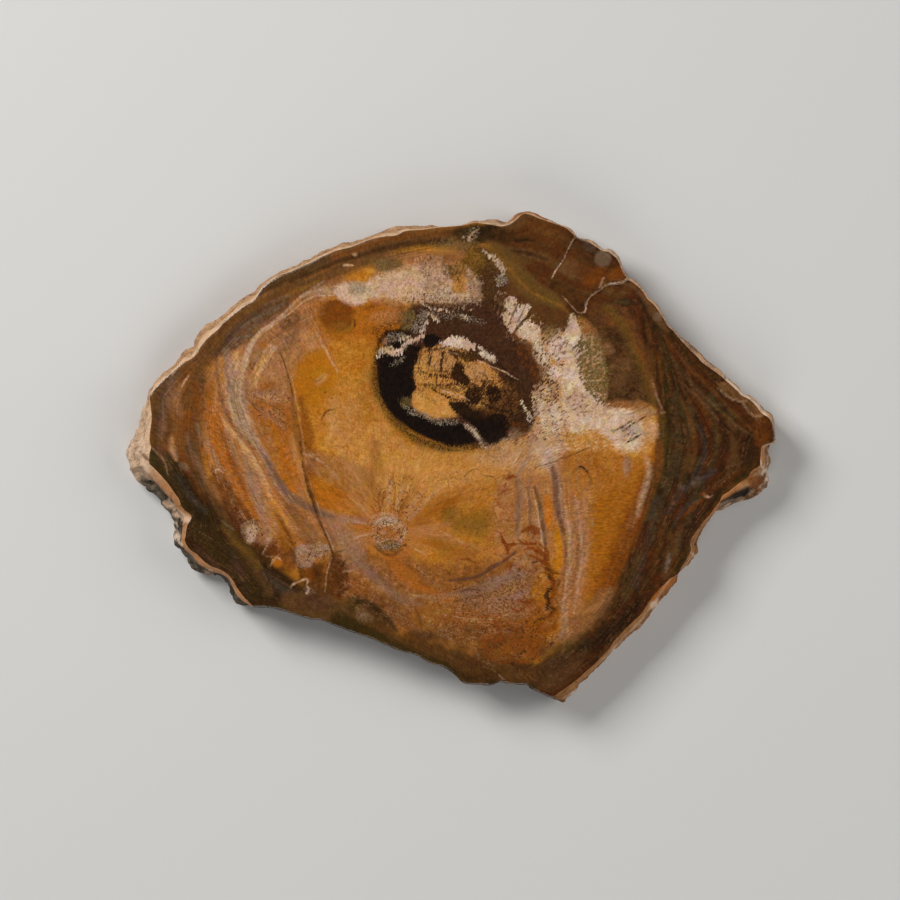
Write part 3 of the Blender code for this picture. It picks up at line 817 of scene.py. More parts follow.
@dataclass
class Slab:
    """The slab's mesh, in millimetres, with the origin under the middle of its footprint."""

    GRID_SHAKE = 0.16
    INSIDE_ONLY = 1
    SAME_PLACE = 1e-6

    rim_count: int = 1000
    face_spacing: float = 0.64
    back_spacing: float = 3.0
    back_margin: float = 0.6
    edge_margin: float = 0.4
    step_margin: float = 0.15
    line_margin: float = 0.25
    line_gap: float = 0.2
    grid_gap: float = 0.38
    dent_steepness: float = 1.4
    fine_lines: tuple[np.ndarray, ...] = ()
    dents: tuple[tuple[float, float, float, float], ...] = ()
    rim: Rim = field(init=False)
    verts: np.ndarray = field(init=False)
    faces: list[tuple[int, ...]] = field(init=False, default_factory=list)
    parts: list[int] = field(init=False, default_factory=list)
    shift: np.ndarray = field(init=False)
    rows: int = field(init=False, default=0)
    face_start: int = field(init=False, default=0)
    back_start: int = field(init=False, default=0)

    def __post_init__(self) -> None:
        """Builds the points and the faces."""
        self.rim = Rim.trace(self.rim_count)
        wall = self.rim.wall(Wall())
        self.rows = len(wall) + 1
        edge = self.rim.face
        inner, edges = self.face_points(edge)
        foot = wall[-1, :, :2]
        under = self.scattered(foot, self.back_spacing, self.back_spacing * self.back_margin, seed=5)
        rings = [np.column_stack([edge, self.height(*edge.T)]), *wall]
        self.face_start = self.rim_count * self.rows
        self.back_start = self.face_start + len(inner)
        self.verts = np.vstack([
            *rings,
            np.column_stack([inner, self.height(*inner.T)]),
            np.column_stack([under, np.zeros(len(under))]),
        ])
        self.join_rings()
        top = np.concatenate([np.arange(self.rim_count), self.face_start + np.arange(len(inner))])
        self.fill(edge, inner, edges, top, Part.FACE)
        last = self.rim_count * (self.rows - 1)
        low = np.concatenate([last + np.arange(self.rim_count), self.back_start + np.arange(len(under))])
        self.fill(foot, under, [], low, Part.BACK)
        corners = self.verts[:, :2].min(axis=0), self.verts[:, :2].max(axis=0)
        self.shift = 0.5 * (corners[0] + corners[1])

    def height(self, x: np.ndarray, y: np.ndarray) -> np.ndarray:
        """Returns the face's height, with the flakes broken off and the small dents.

        Args:
            x: First coordinates of the points.
            y: Second coordinates of the points.

        Returns:
            The height in millimetres at each point.
        """
        found = np.full(len(x), THICKNESS)
        for flake in FLAKES:
            found -= flake.drop(x, y)
        for dent_x, dent_y, radius, depth in self.dents:
            inside = 1.0 - np.hypot(x - dent_x, y - dent_y) / radius
            found -= depth * ease(self.dent_steepness * inside)
        return found

    @staticmethod
    def fits(spots: np.ndarray, outline: np.ndarray, margin: float) -> np.ndarray:
        """Says which points lie inside an outline and further from it than a margin."""
        return is_inside(*spots.T, outline) & (distance_to_line(*spots.T, outline, closed=True) > margin)

    @classmethod
    def scattered(cls, outline: np.ndarray, spacing: float, margin: float, seed: int) -> np.ndarray:
        """Returns points on a staggered, slightly shaken grid inside an outline.

        Args:
            outline: The closed line as rows.
            spacing: Distance between neighbours.
            margin: Least distance from the outline.
            seed: Number that fixes the shake.
        """
        low, high = outline.min(axis=0), outline.max(axis=0)
        rise = spacing * math.sqrt(0.75)
        rows = np.arange(low[1], high[1], rise)
        columns = np.arange(low[0], high[0] + spacing, spacing)
        x, y = np.meshgrid(columns, rows)
        x = x + 0.5 * spacing * (np.arange(len(rows)) % 2)[:, None]
        spots = np.column_stack([x.ravel(), y.ravel()])
        draw = np.random.default_rng(seed)
        spots += draw.uniform(-cls.GRID_SHAKE, cls.GRID_SHAKE, spots.shape) * spacing
        spots = spots[is_inside(*spots.T, outline)]
        return spots[distance_to_line(*spots.T, outline, closed=True) > margin]

    def face_points(self, edge: np.ndarray) -> tuple[np.ndarray, list[tuple[int, int]]]:
        """Returns the points inside the face and the edges that the flakes' steps need.

        Args:
            edge: The face's edge as rows.
        """
        rows, edges, count = [], [], 0
        for flake in FLAKES:
            for offset in (0.0, FLAKE_EDGE * 0.5, FLAKE_EDGE):
                row = flake.beside(offset)
                row = row[self.fits(row, edge, self.step_margin)]
                edges += [(count + step, count + step + 1) for step in range(len(row) - 1)]
                count += len(row)
                rows.append(row)
        taken = Thinned()
        for row in rows:
            taken.add(row, -1.0)
        lines = np.vstack([np.zeros((0, 2)), *self.fine_lines])
        rows.append(taken.add(lines[self.fits(lines, edge, self.line_margin)], self.line_gap))
        grid = self.scattered(edge, self.face_spacing, self.edge_margin, seed=3)
        rows.append(taken.add(grid, self.grid_gap))
        return np.vstack(rows), edges

    def join_rings(self) -> None:
        """Joins each ring of the wall to the one below it."""
        for row in range(self.rows - 1):
            upper, lower = row * self.rim_count, (row + 1) * self.rim_count
            for column in range(self.rim_count):
                after = (column + 1) % self.rim_count
                self.faces.append((upper + column, lower + column, lower + after, upper + after))
                self.parts.append(Part.WALL.value)

    def fill(self, outline: np.ndarray, inner: np.ndarray, edges: list[tuple[int, int]],
             numbers: np.ndarray, part: Part) -> None:
        """Fills an outline with triangles.

        Args:
            outline: The closed line as rows.
            inner: The points inside it.
            edges: Pairs of inner points that a triangle's side must follow.
            numbers: The mesh's number of each point, outline first.
            part: Which surface the triangles belong to. The back faces down.
        """
        first = len(outline)
        coords = [Vector(spot) for spot in np.vstack([outline, inner])]
        sides = [(first + a, first + b) for a, b in edges]
        filled = delaunay_2d_cdt(coords, sides, [list(range(first))], self.INSIDE_ONLY, self.SAME_PLACE)
        turn = -1 if part is Part.BACK else 1
        for triangle in filled[2]:
            corners = [int(numbers[filled[3][corner][0]]) for corner in triangle]
            self.faces.append(tuple(corners[::turn]))
            self.parts.append(part.value)

    def bake_places(self) -> np.ndarray:
        """Returns each face corner's place on the bake's square."""
        places = []
        run = WALL_STRIPS * np.arange(self.rim_count + 1) / self.rim_count
        length = RIM_STEP * self.rim_count / WALL_STRIPS
        for corners, part in zip(self.faces, self.parts):
            if part == Part.WALL.value:
                row, column = divmod(corners[0], self.rim_count)
                strip = min(int(run[column]), WALL_STRIPS - 1)
                left = WALL_PANEL.left + (run[column] - strip) * length * WALL_PANEL.scale
                right = WALL_PANEL.left + (run[column + 1] - strip) * length * WALL_PANEL.scale
                top, low = (
                    WALL_PANEL.low + STRIP_RISE * (strip + STRIP_FILL * (1.0 - level / (self.rows - 1)))
                    for level in (row, row + 1))
                places += [(left, top), (left, low), (right, low), (right, top)]
                continue
            panel = FACE_PANEL if part == Part.FACE.value else BACK_PANEL
            places += [(panel.left + self.verts[corner, 0] * panel.scale,
                        panel.low + self.verts[corner, 1] * panel.scale) for corner in corners]
        return np.array(places)

    def to_mesh(self, name: str) -> bpy.types.Mesh:
        """Returns the slab as a mesh in metres, with its surfaces' numbers and its bake map.

        Args:
            name: The mesh's name.

        Returns:
            The mesh.
        """
        mesh = bpy.data.meshes.new(name)
        spots = (self.verts - np.array([*self.shift, 0.0])) * MM
        mesh.from_pydata(spots.tolist(), [], self.faces)
        mesh.polygons.foreach_set("material_index", self.parts)
        mesh.polygons.foreach_set("use_smooth", [True] * len(self.faces))
        mesh.uv_layers.new(name="OFBake").uv.foreach_set("vector", self.bake_places().ravel())
        mesh.update()
        return mesh


class Thinned:
    """Keeps points apart: a point is dropped when one that was kept before lies too near."""

    def __init__(self, cell: float = 0.5) -> None:
        """Starts with no points.

        Args:
            cell: Side of a search cell in millimetres, at least the widest gap asked for.
        """
        self.cell = cell
        self.cells: dict[tuple[int, int], list[np.ndarray]] = {}

    def add(self, spots: np.ndarray, gap: float) -> np.ndarray:
        """Returns the points that are clear of the kept ones, and keeps them.

        Args:
            spots: The points as rows.
            gap: Least distance to a kept point.
        """
        kept = []
        for spot in spots:
            column, row = int(spot[0] // self.cell), int(spot[1] // self.cell)
            around = (other for step_x in (-1, 0, 1) for step_y in (-1, 0, 1)
                      for other in self.cells.get((column + step_x, row + step_y), ()))
            if all((spot[0] - other[0]) ** 2 + (spot[1] - other[1]) ** 2 > gap * gap for other in around):
                self.cells.setdefault((column, row), []).append(spot)
                kept.append(spot)
        return np.array(kept).reshape(-1, 2)


class Grain(Enum):
    """The kinds of fine grain that a wash of colour can carry."""

    MOTTLE = 0
    RINGS = 1
    RAYS = 2
    SPECKLE = 3

    @property
    def weights(self) -> tuple[float, float, float]:
        """The shares of rings, rays and speckle; what is left is mottle."""
        return tuple(1.0 if self.value == number else 0.0 for number in (1, 2, 3))


@dataclass(frozen=True)
class Wash:
    """A soft area of the ground: two tints that the grain mixes, and the width of its faded edge."""

    shape: Shape
    light: Tint
    dark: Tint
    grain: Grain = Grain.MOTTLE
    strength: float = 1.0
    soft: float = 10.0
    grit: float = 1.0
    exact: bool = False


def brush(tint: Tint, width: float | tuple[float, ...], *points: Point, strength: float = 0.6,
          soft: float = 3.0, grain: Grain = Grain.RINGS) -> Wash:
    """Returns a soft stroke of one tint along a line.

    Args:
        tint: The stroke's tint.
        width: Its width, or one for each of several places along it.
        points: Its points.
        strength: How strongly it covers.
        soft: Width of its faded edge.
        grain: Its fine grain.
    """
    return Wash(Streak(points, width), tint, tint, grain, strength, soft, exact=True)


def pool(light: Tint, dark: Tint, *points: Point, strength: float = 0.85, soft: float = 7.0,
         grain: Grain = Grain.MOTTLE) -> Wash:
    """Returns a soft area of two tints inside a closed shape.

    Args:
        light: Its lighter tint.
        dark: Its darker tint.
        points: The shape's points.
        strength: How strongly it covers.
        soft: Width of its faded edge.
        grain: Its fine grain.
    """
    return Wash(Patch(points), light, dark, grain, strength, soft, exact=True)


def dab(light: Tint, dark: Tint, x: float, y: float, rx: float, ry: float, turn: float = 0.0, *,
        strength: float = 0.7, soft: float = 6.0, grain: Grain = Grain.MOTTLE) -> Wash:
    """Returns a soft oval of two tints.

    Args:
        light: Its lighter tint.
        dark: Its darker tint.
        x: Middle, along the photograph.
        y: Middle, down the photograph.
        rx: Half its length.
        ry: Half its width.
        turn: Angle in degrees, clockwise.
        strength: How strongly it covers.
        soft: Width of its faded edge.
        grain: Its fine grain.
    """
    return Wash(Oval(x, y, rx, ry, turn), light, dark, grain, strength, soft, exact=True)


# How much a single tint is spread into a lighter and a darker one.
SINGLE_SPREAD = 0.18

# The bands' lighter and darker tints as shares of their colour, and how strongly their grain shows.
BAND_LIGHT = 1.25
BAND_DARK = 0.8
BAND_GRAIN = 0.8

# How the bands bend and change along their length, in pixels and in rings, and how their tints vary.
BEND_SIZE = 34
BEND_REACH = 0.05
BAND_LENGTH = 90
BAND_CONTRAST = 0.9
BAND_CLOUD = 0.3


@dataclass(frozen=True)
class Bands:
    """Bands that run with the rings, taken from a row of tints by slow noise across them."""

    shape: Shape
    tints: tuple[Tint, ...]
    count: float
    seed: int
    strength: float = 1.0
    soft: float = 10.0


@dataclass(frozen=True)
class Mark:
    """One mark of a mineral: how strongly it covers, its edge's softness and its greatest depth."""

    shape: Shape
    strength: float = 1.0
    soft: float = 1.6
    most: float = FAR


def line(width: float | tuple[float, ...], *points: Point, strength: float = 0.6, soft: float = 1.6,
         most: float = FAR) -> Mark:
    """Returns a mark along a line.

    Args:
        width: The line's width, or one for each of several places along it.
        points: The line's points.
        strength: How strongly it covers.
        soft: Width of its faded edge.
        most: Its greatest depth.
    """
    return Mark(Streak(points, width), strength, soft, most)


def area(*points: Point, strength: float = 0.6, soft: float = 2.0, most: float = FAR) -> Mark:
    """Returns a mark that fills a closed shape.

    Args:
        points: The shape's points.
        strength: How strongly it covers.
        soft: Width of its faded edge.
        most: Its greatest depth.
    """
    return Mark(Patch(points), strength, soft, most)


def spot(x: float, y: float, rx: float, ry: float | None = None, turn: float = 0.0, *,
         strength: float = 0.6, soft: float = 1.6, most: float = FAR) -> Mark:
    """Returns a mark that fills an oval.

    Args:
        x: Middle, along the photograph.
        y: Middle, down the photograph.
        rx: Half its length.
        ry: Half its width, the same as its length when left out.
        turn: Angle in degrees, clockwise.
        strength: How strongly it covers.
        soft: Width of its faded edge.
        most: Its greatest depth.
    """
    return Mark(Oval(x, y, rx, rx if ry is None else ry, turn), strength, soft, most)


class Noise(Enum):
    """The shader's noises, by the name of their output."""

    COARSE = "Coarse"
    FINE = "Fine"
    SPECKLE = "Speckle"
    RINGS = "Rings"
    RAYS = "Rays"
    FIBRES = "Fibres"
    THREADS = "Threads"
    SCRIBBLES = "Scribbles"


@dataclass(frozen=True)
class Mineral:
    """A layer of one mineral on the stone.

    Its edge is broken by a noise, up to rag millimetres each way, and gaps says how far the same noise
    thins it. The shade noise mixes its two tints.
    """

    name: str
    light: Tint
    dark: Tint
    marks: tuple[Mark, ...]
    edge: Noise = Noise.FINE
    rag: float = 0.4
    shade: Noise = Noise.FINE
    gaps: float = 0.3

    def fine_lines(self, widest: float = 5.0, faintest: float = 0.3, spacing: float = 1.7,
                   margin: float = 0.5) -> list[np.ndarray]:
        """Returns the points that its narrow marks need in the mesh, in millimetres.

        Args:
            widest: Widest line that gets points, in pixels.
            faintest: Least strength of such a line.
            spacing: Distance between points along it, in pixels.
            margin: How far outside its sides the outer points lie, in pixels.
        """
        found = []
        for mark in self.marks:
            if not isinstance(mark.shape, Streak) or mark.strength < faintest:
                continue
            width = mark.shape.width
            width = max(width) if isinstance(width, tuple) else width
            if width > widest:
                continue
            path = smooth_path(mark.shape.points, closed=False, steps=12)
            steps = np.hypot(*np.diff(path, axis=0).T)
            places = np.concatenate([[0.0], np.cumsum(steps)])
            even = np.linspace(0.0, places[-1], max(2, int(places[-1] / spacing)))
            path = np.column_stack([np.interp(even, places, path[:, axis]) for axis in (0, 1)])
            along = np.gradient(path, axis=0)
            along /= np.maximum(np.linalg.norm(along, axis=1, keepdims=True), 1e-6)
            side = np.column_stack([-along[:, 1], along[:, 0]])
            for offset in (0.0, 0.5 * width + margin, -0.5 * width - margin):
                found.append(np.column_stack(Photo.to_millimetres(*(path + side * offset).T)))
        return found


@dataclass(frozen=True)
class Shake:
    """How far and how finely painted edges wander, in pixels; close edges wander a share of that."""

    broad_size: float = 46.0
    broad_reach: float = 3.2
    small_size: float = 11.0
    small_reach: float = 2.0
    close_share: float = 0.3
    cloud_size: float = 13.0


@dataclass
class Canvas:
    """The slab's points as a painter sees them, in the photograph's pixels, and what is painted there."""

    x: np.ndarray
    y: np.ndarray
    outline: np.ndarray
    curves: tuple[np.ndarray, ...]
    pith: Point
    grain: Grain3D = field(default_factory=lambda: Grain3D(7))
    shake: Shake = Shake()
    light: np.ndarray = field(init=False)
    dark: np.ndarray = field(init=False)
    weights: np.ndarray = field(init=False)
    ring: np.ndarray = field(init=False)
    grit: np.ndarray = field(init=False)

    def __post_init__(self) -> None:
        """Prepares the shaken coordinates, the ring numbers and a bare ground."""
        count = len(self.x)
        zero = np.zeros(count)
        self.light, self.dark, self.weights = (np.zeros((count, 3)) for _ in range(3))
        self.grit = np.ones(count)
        self.shaken = []
        for axis, seat in ((self.x, 0.0), (self.y, 50.0)):
            broad, small = self.shake.broad_size, self.shake.small_size
            wide = self.grain.at(self.x / broad + seat, self.y / broad, zero, octaves=2)
            fine = self.grain.at(self.x / small + seat, self.y / small, zero + 9.0, octaves=2)
            self.shaken.append(axis + self.shake.broad_reach * wide + self.shake.small_reach * fine)
        self.close = [axis + self.shake.close_share * (shaken - axis)
                      for axis, shaken in zip((self.x, self.y), self.shaken)]
        cloud = self.shake.cloud_size
        self.cloud = self.grain.at(self.x / cloud + 31.0, self.y / cloud, octaves=3)
        self.ring = self.find_ring()

    def find_ring(self) -> np.ndarray:
        """Returns each point's ring number: 0 at the rim, and one more at each ring line inwards."""
        reach = np.maximum(np.hypot(self.x - self.pith[0], self.y - self.pith[1]), 1e-6)
        lines = [self.outline, *self.curves]
        gaps = [distance_to_line(self.x, self.y, curve, closed=True) for curve in lines] + [reach]
        ring = gaps[0] / (gaps[0] + gaps[1])
        for number, curve in enumerate(self.curves, start=1):
            within = is_inside(self.x, self.y, curve)
            share = gaps[number] / (gaps[number] + gaps[number + 1] + 1e-9)
            ring = np.where(within, number + share, ring)
        return ring

    def wash(self, wash: Wash) -> None:
        """Lays a wash over the ground.

        Args:
            wash: The wash.
        """
        depth = wash.shape.depth(*(self.close if wash.exact else self.shaken))
        cover = (wash.strength * ease(0.5 + 0.5 * self.cloud + depth / wash.soft))[:, None]
        spread = SINGLE_SPREAD if wash.light is wash.dark else 0.0
        self.light += ((1.0 + spread) * np.array(wash.light.linear) - self.light) * cover
        self.dark += ((1.0 - spread) * np.array(wash.dark.linear) - self.dark) * cover
        self.weights += (np.array(wash.grain.weights) - self.weights) * cover
        self.grit += (wash.grit - self.grit) * cover[:, 0]

    def bands(self, bands: Bands) -> None:
        """Lays bands over the ground.

        Args:
            bands: The bands.
        """
        depth = bands.shape.depth(*self.shaken)
        cover = (bands.strength * ease(0.5 + depth / bands.soft))[:, None]
        bend = self.grain.at(self.x / BEND_SIZE, self.y / BEND_SIZE, self.x * 0.0 + bands.seed)
        value = self.grain.at((self.ring + BEND_REACH * bend) * bands.count,
                              self.x / BAND_LENGTH + 3.0 * bands.seed, self.y / BAND_LENGTH, octaves=2)
        share = np.clip(0.5 + BAND_CONTRAST * value + BAND_CLOUD * self.cloud, 0.0, 1.0)
        place = share * (len(bands.tints) - 1)
        table = np.array([tint.linear for tint in bands.tints])
        colour = np.column_stack([
            np.interp(place, np.arange(len(table)), table[:, channel]) for channel in range(3)
        ])
        self.light += (BAND_LIGHT * colour - self.light) * cover
        self.dark += (BAND_DARK * colour - self.dark) * cover
        self.weights += (np.array(Grain.RINGS.weights) * BAND_GRAIN - self.weights) * cover
        self.grit += (BAND_GRAIN - self.grit) * cover[:, 0]

    def layer(self, mineral: Mineral) -> np.ndarray:
        """Returns the mineral's depth in millimetres, strength and softness at each point.

        Args:
            mineral: The mineral, with its marks.

        Returns:
            One row of three numbers for each point.
        """
        found = np.tile((-FAR, 0.0, 2.0), (len(self.x), 1))
        for mark in mineral.marks:
            depth = np.minimum(mark.shape.depth(*self.close), mark.most)
            better = depth > found[:, 0]
            found[better] = np.column_stack([
                depth[better], np.full(better.sum(), mark.strength), np.full(better.sum(), mark.soft)
            ])
        found[:, 0] *= Photo.MM_PER_PIXEL
        found[:, 2] *= Photo.MM_PER_PIXEL
        return found


# Lines that the wood's rings follow, from the edge of the dark zone inwards, round the eye and the pith.
PITH = (389.5, 534.0)
RING_LINES = (
    ((648, 300), (655, 350), (655, 400), (653, 445), (653, 478), (648, 501), (640, 528), (630, 555),
     (620, 580), (610, 602), (598, 618), (580, 634), (560, 650), (530, 668), (480, 662), (440, 645),
     (400, 625), (350, 607), (300, 590), (262, 566), (236, 538), (218, 505), (207, 470), (203, 430),
     (208, 390), (228, 352), (262, 320), (305, 292), (350, 270), (400, 252), (460, 244), (520, 258),
     (570, 280), (620, 290)),
    ((360, 298), (306, 320), (262, 345), (238, 385), (250, 430), (272, 470), (292, 502), (330, 550),
     (380, 585), (440, 606), (500, 606), (548, 575), (560, 520), (556, 460), (566, 400), (556, 340),
     (520, 300), (480, 286), (420, 285)),
    ((384, 326), (366, 400), (372, 460), (350, 515), (366, 562), (412, 568), (452, 540), (505, 480),
     (536, 432), (548, 380), (524, 330), (470, 304), (420, 306)),
)

WHOLE = Oval(450, 450, 600, 500)
RIGHT_ZONE = Patch((
    (592, 292), (628, 310), (642, 340), (652, 372), (658, 405), (658, 430), (662, 450), (660, 474),
    (650, 500), (643, 522), (634, 545), (626, 565), (618, 584), (611, 602), (600, 618), (584, 634),
    (560, 650), (532, 668), (520, 690), (540, 730), (640, 700), (800, 520), (800, 380), (700, 300),
    (630, 270),
))
UPPER_RIM = Streak((
    (150, 395), (176, 366), (206, 334), (240, 308), (280, 286), (320, 266), (360, 252), (400, 243),
    (440, 238), (490, 236),
), (60, 54, 48, 44, 44, 38, 34, 26, 22, 20))
LOWER_LEFT_ZONE = Patch((
    (140, 446), (166, 452), (188, 464), (204, 482), (220, 502), (240, 520), (258, 538), (269, 556),
    (284, 570), (304, 586), (330, 600), (352, 606), (366, 622), (340, 650), (260, 630), (200, 600),
    (150, 520),
))
LEFT_ZONE = Patch(((140, 400), (170, 372), (206, 370), (204, 410), (203, 440), (206, 470), (210, 494),
                   (190, 486), (150, 452)))
TOP_RIGHT_ZONE = Patch((
    (488, 215), (520, 200), (600, 220), (640, 280), (600, 306), (576, 312), (556, 296), (520, 270),
    (494, 246),
))

# The gold ground under everything.
GROUND_WASHES: tuple[Wash, ...] = (
    Wash(WHOLE, Tint.GOLD, Tint.AMBER),
)

# Inside of the left: copper and peach round the lilac band.
LEFT_INSIDE_WASHES: tuple[Wash, ...] = (
    pool(Tint.PEACH, Tint.COPPER, (200, 380), (240, 340), (290, 305), (330, 296), (330, 340), (296, 380),
         (304, 470), (325, 530), (330, 560), (270, 560), (226, 500), (200, 440), soft=14,
         grain=Grain.RINGS),
    pool(Tint.APRICOT, Tint.COPPER, (236, 350), (262, 332), (300, 322), (292, 380), (284, 410), (252, 420),
         (246, 380), soft=14),
    brush(Tint.SAND, (8, 16, 20, 14, 7), (236, 358), (234, 382), (238, 405), (244, 425), (256, 444),
          strength=0.8, soft=7),
    pool(Tint.CLAY, Tint.BRONZE, (250, 344), (296, 312), (316, 326), (300, 350), (270, 366), (250, 376),
         strength=0.7, soft=8, grain=Grain.RINGS),
    brush(Tint.MAUVE, (6, 10, 8, 5), (276, 352), (288, 344), (296, 332), (300, 322), soft=6),
    dab(Tint.TAWNY, Tint.BROWN, 291, 321, 13, 8, -35, strength=0.75),
    brush(Tint.RUSSET, (3, 6, 4), (262, 344), (270, 340), (282, 334), soft=5),
    brush(Tint.CREAM, (2, 4, 2), (264, 352), (268, 345), (276, 349), strength=0.5),
    brush(Tint.STRAW, (4, 6, 4), (256, 386), (258, 368), (268, 354), (276, 358), soft=4),
    brush(Tint.STRAW, (3, 5, 3), (230, 370), (233, 360), (239, 353), strength=0.75),
    dab(Tint.CLAY, Tint.MAUVE, 268, 390, 20, 8, 20, strength=0.3, soft=8),
    dab(Tint.CLAY, Tint.BRONZE, 326, 289, 24, 9, -22, strength=0.85, soft=8),
    pool(Tint.ORANGE, Tint.CINNAMON, (250, 404), (272, 402), (290, 412), (292, 440), (280, 446), (262, 430),
         strength=0.8, soft=8),
    brush(Tint.CLAY, (3, 5, 3), (250, 402), (266, 414), (284, 428), soft=4),
    brush(Tint.AMBER, (8, 16, 16, 8), (266, 424), (276, 445), (282, 470), (292, 498), strength=0.7, soft=8,
          grain=Grain.MOTTLE),
    dab(Tint.FIRE, Tint.CINNAMON, 288, 470, 8, 28, -16, strength=0.9, soft=5),
)

# Left outer strips, between the dark rim and the lilac band.
LEFT_STRIPS_WASHES: tuple[Wash, ...] = (
    brush(Tint.CINNAMON, (6, 10, 8), (212, 384), (208, 400), (207, 420), strength=0.85, soft=5),
    brush(Tint.PEACH, (3, 5, 3), (203, 384), (201, 400), (204, 412), strength=0.5, soft=4),
    brush(Tint.ORANGE, (10, 16, 14, 12, 8), (210, 405), (218, 438), (232, 474), (248, 508), (262, 534),
          strength=0.85, soft=7),
    brush(Tint.RUST, (4, 8, 8, 4), (222, 430), (230, 452), (238, 474), (246, 492), soft=5),
    brush(Tint.CINNAMON, (4, 8, 6), (210, 466), (224, 490), (240, 512), strength=0.8, soft=4),
    brush(Tint.OCHRE, (3, 5, 3), (204, 438), (210, 455), (220, 478), strength=0.65),
    brush(Tint.CLAY, (8, 14, 10, 5), (244, 452), (254, 482), (262, 510), (270, 536), strength=0.8, soft=6),
    brush(Tint.STRAW, (3, 4, 4, 3), (226, 424), (246, 450), (262, 478), (274, 506), strength=0.7),
    brush(Tint.OCHRE, (4, 9, 9, 5), (266, 486), (276, 508), (288, 532), (298, 552), strength=0.85, soft=4),
    brush(Tint.RUST, (2, 4, 3), (277, 512), (284, 530), (294, 548)),
    pool(Tint.RUST, Tint.MAROON, (262, 544), (272, 540), (296, 548), (298, 566), (282, 572), (266, 560),
         strength=0.8),
    dab(Tint.AMBER, Tint.RUST, 287, 540, 9, 12, -20, strength=0.85, soft=5),
    brush(Tint.BRONZE, (6, 14, 18, 14), (284, 500), (298, 520), (312, 538), (322, 550), strength=0.7,
          soft=6, grain=Grain.RINGS),
    brush(Tint.HONEY, (3, 6, 7, 4), (272, 504), (280, 522), (290, 540), (298, 550), strength=0.8),
    brush(Tint.MAROON, (2, 4, 3), (279, 516), (286, 531), (294, 545), strength=0.7),
    dab(Tint.RUSSET, Tint.MAROON, 268, 549, 10, 8, 30, strength=0.8, soft=5),
)

# Upper left, inside the pale lines, and the crack's right side.
UPPER_LEFT_WASHES: tuple[Wash, ...] = (
    pool(Tint.PEACH, Tint.TAN, (262, 338), (300, 310), (322, 304), (324, 330), (316, 350), (296, 366),
         (270, 360), strength=0.6, soft=10, grain=Grain.RINGS),
    pool(Tint.ORANGE, Tint.CINNAMON, (316, 304), (360, 302), (404, 304), (402, 326), (376, 350), (350, 345),
         (322, 334), soft=9),
    pool(Tint.PEACH, Tint.ORANGE, (300, 350), (308, 330), (318, 322), (326, 340), (338, 370), (320, 352),
         strength=0.8, grain=Grain.RAYS),
    pool(Tint.HONEY, Tint.SAFFRON, (292, 388), (298, 366), (310, 353), (325, 350), (332, 366), (338, 386),
         (332, 400), (316, 408), (306, 402), (297, 398)),
    dab(Tint.OCHRE, Tint.AMBER, 330, 412, 12, 22, 10, strength=0.6, soft=10),
    brush(Tint.RUST, (6, 12, 14, 10), (301, 400), (306, 425), (308, 450), (312, 478), strength=0.75, soft=6,
          grain=Grain.MOTTLE),
    dab(Tint.PEACH, Tint.STRAW, 322, 380, 7, 3.5, -40, strength=0.8, soft=4),
    dab(Tint.PEACH, Tint.COPPER, 386, 318, 16, 7, -6, strength=0.75, grain=Grain.SPECKLE),
    brush(Tint.RUST, (3, 5, 3), (366, 309), (384, 304), (402, 309), strength=0.7),
    dab(Tint.AMBER, Tint.LICHEN, 337.5, 318, 18.5, 18.5, strength=0.8, soft=2.5),
    dab(Tint.RUST, Tint.RUSSET, 337, 316, 17, 16.5, strength=0.9, soft=3),
    dab(Tint.CINNAMON, Tint.LICHEN, 339, 328, 13, 6, strength=0.6, soft=5),
)

# Gold middle, paler to the lower right of the eye.
GOLD_MIDDLE_WASHES: tuple[Wash, ...] = (
    pool(Tint.STRAW, Tint.OCHRE, (336, 392), (352, 380), (376, 380), (384, 420), (420, 448), (480, 458),
         (470, 500), (400, 500), (350, 470), (326, 440), soft=16),
    dab(Tint.GOLD, Tint.AMBER, 356, 402, 22, 34, soft=14),
    dab(Tint.GOLD, Tint.HONEY, 358, 352, 16, 14, strength=0.6, soft=10),
    brush(Tint.RUST, (5, 12, 16, 12), (309, 470), (316, 496), (324, 518), (331, 540), strength=0.7, soft=8),
    dab(Tint.STRAW, Tint.GOLD, 400, 470, 30, 16, -8, soft=14),
    dab(Tint.APRICOT, Tint.OCHRE, 344, 420, 18, 22, 0, strength=0.5, soft=14),
    dab(Tint.LICHEN, Tint.CINNAMON, 366, 392, 9, 26, 6, strength=0.25, soft=10),
    Wash(Oval(425, 474, 62, 22, -8), Tint.STRAW, Tint.OCHRE, Grain.RAYS, 0.6, 22),
    pool(Tint.STRAW, Tint.OCHRE, (470, 452), (520, 440), (562, 440), (620, 452), (640, 470), (600, 480),
         (520, 478), (470, 490), (440, 482), soft=16),
    dab(Tint.SAND, Tint.PEACH, 532, 458, 32, 15, soft=14, grain=Grain.RINGS),
    pool(Tint.CLAY, Tint.BRONZE, (304, 452), (340, 458), (368, 470), (372, 500), (352, 504), (330, 484),
         (312, 474), strength=0.55, soft=8, grain=Grain.RAYS),
    pool(Tint.FIRE, Tint.CINNAMON, (310, 474), (320, 482), (338, 488), (352, 498), (356, 510), (336, 512),
         (320, 506), soft=6, grain=Grain.RAYS),
    pool(Tint.CINNAMON, Tint.BRONZE, (372, 440), (380, 446), (384, 476), (378, 500), (368, 490), (370, 462),
         strength=0.55, soft=9, grain=Grain.RAYS),
)

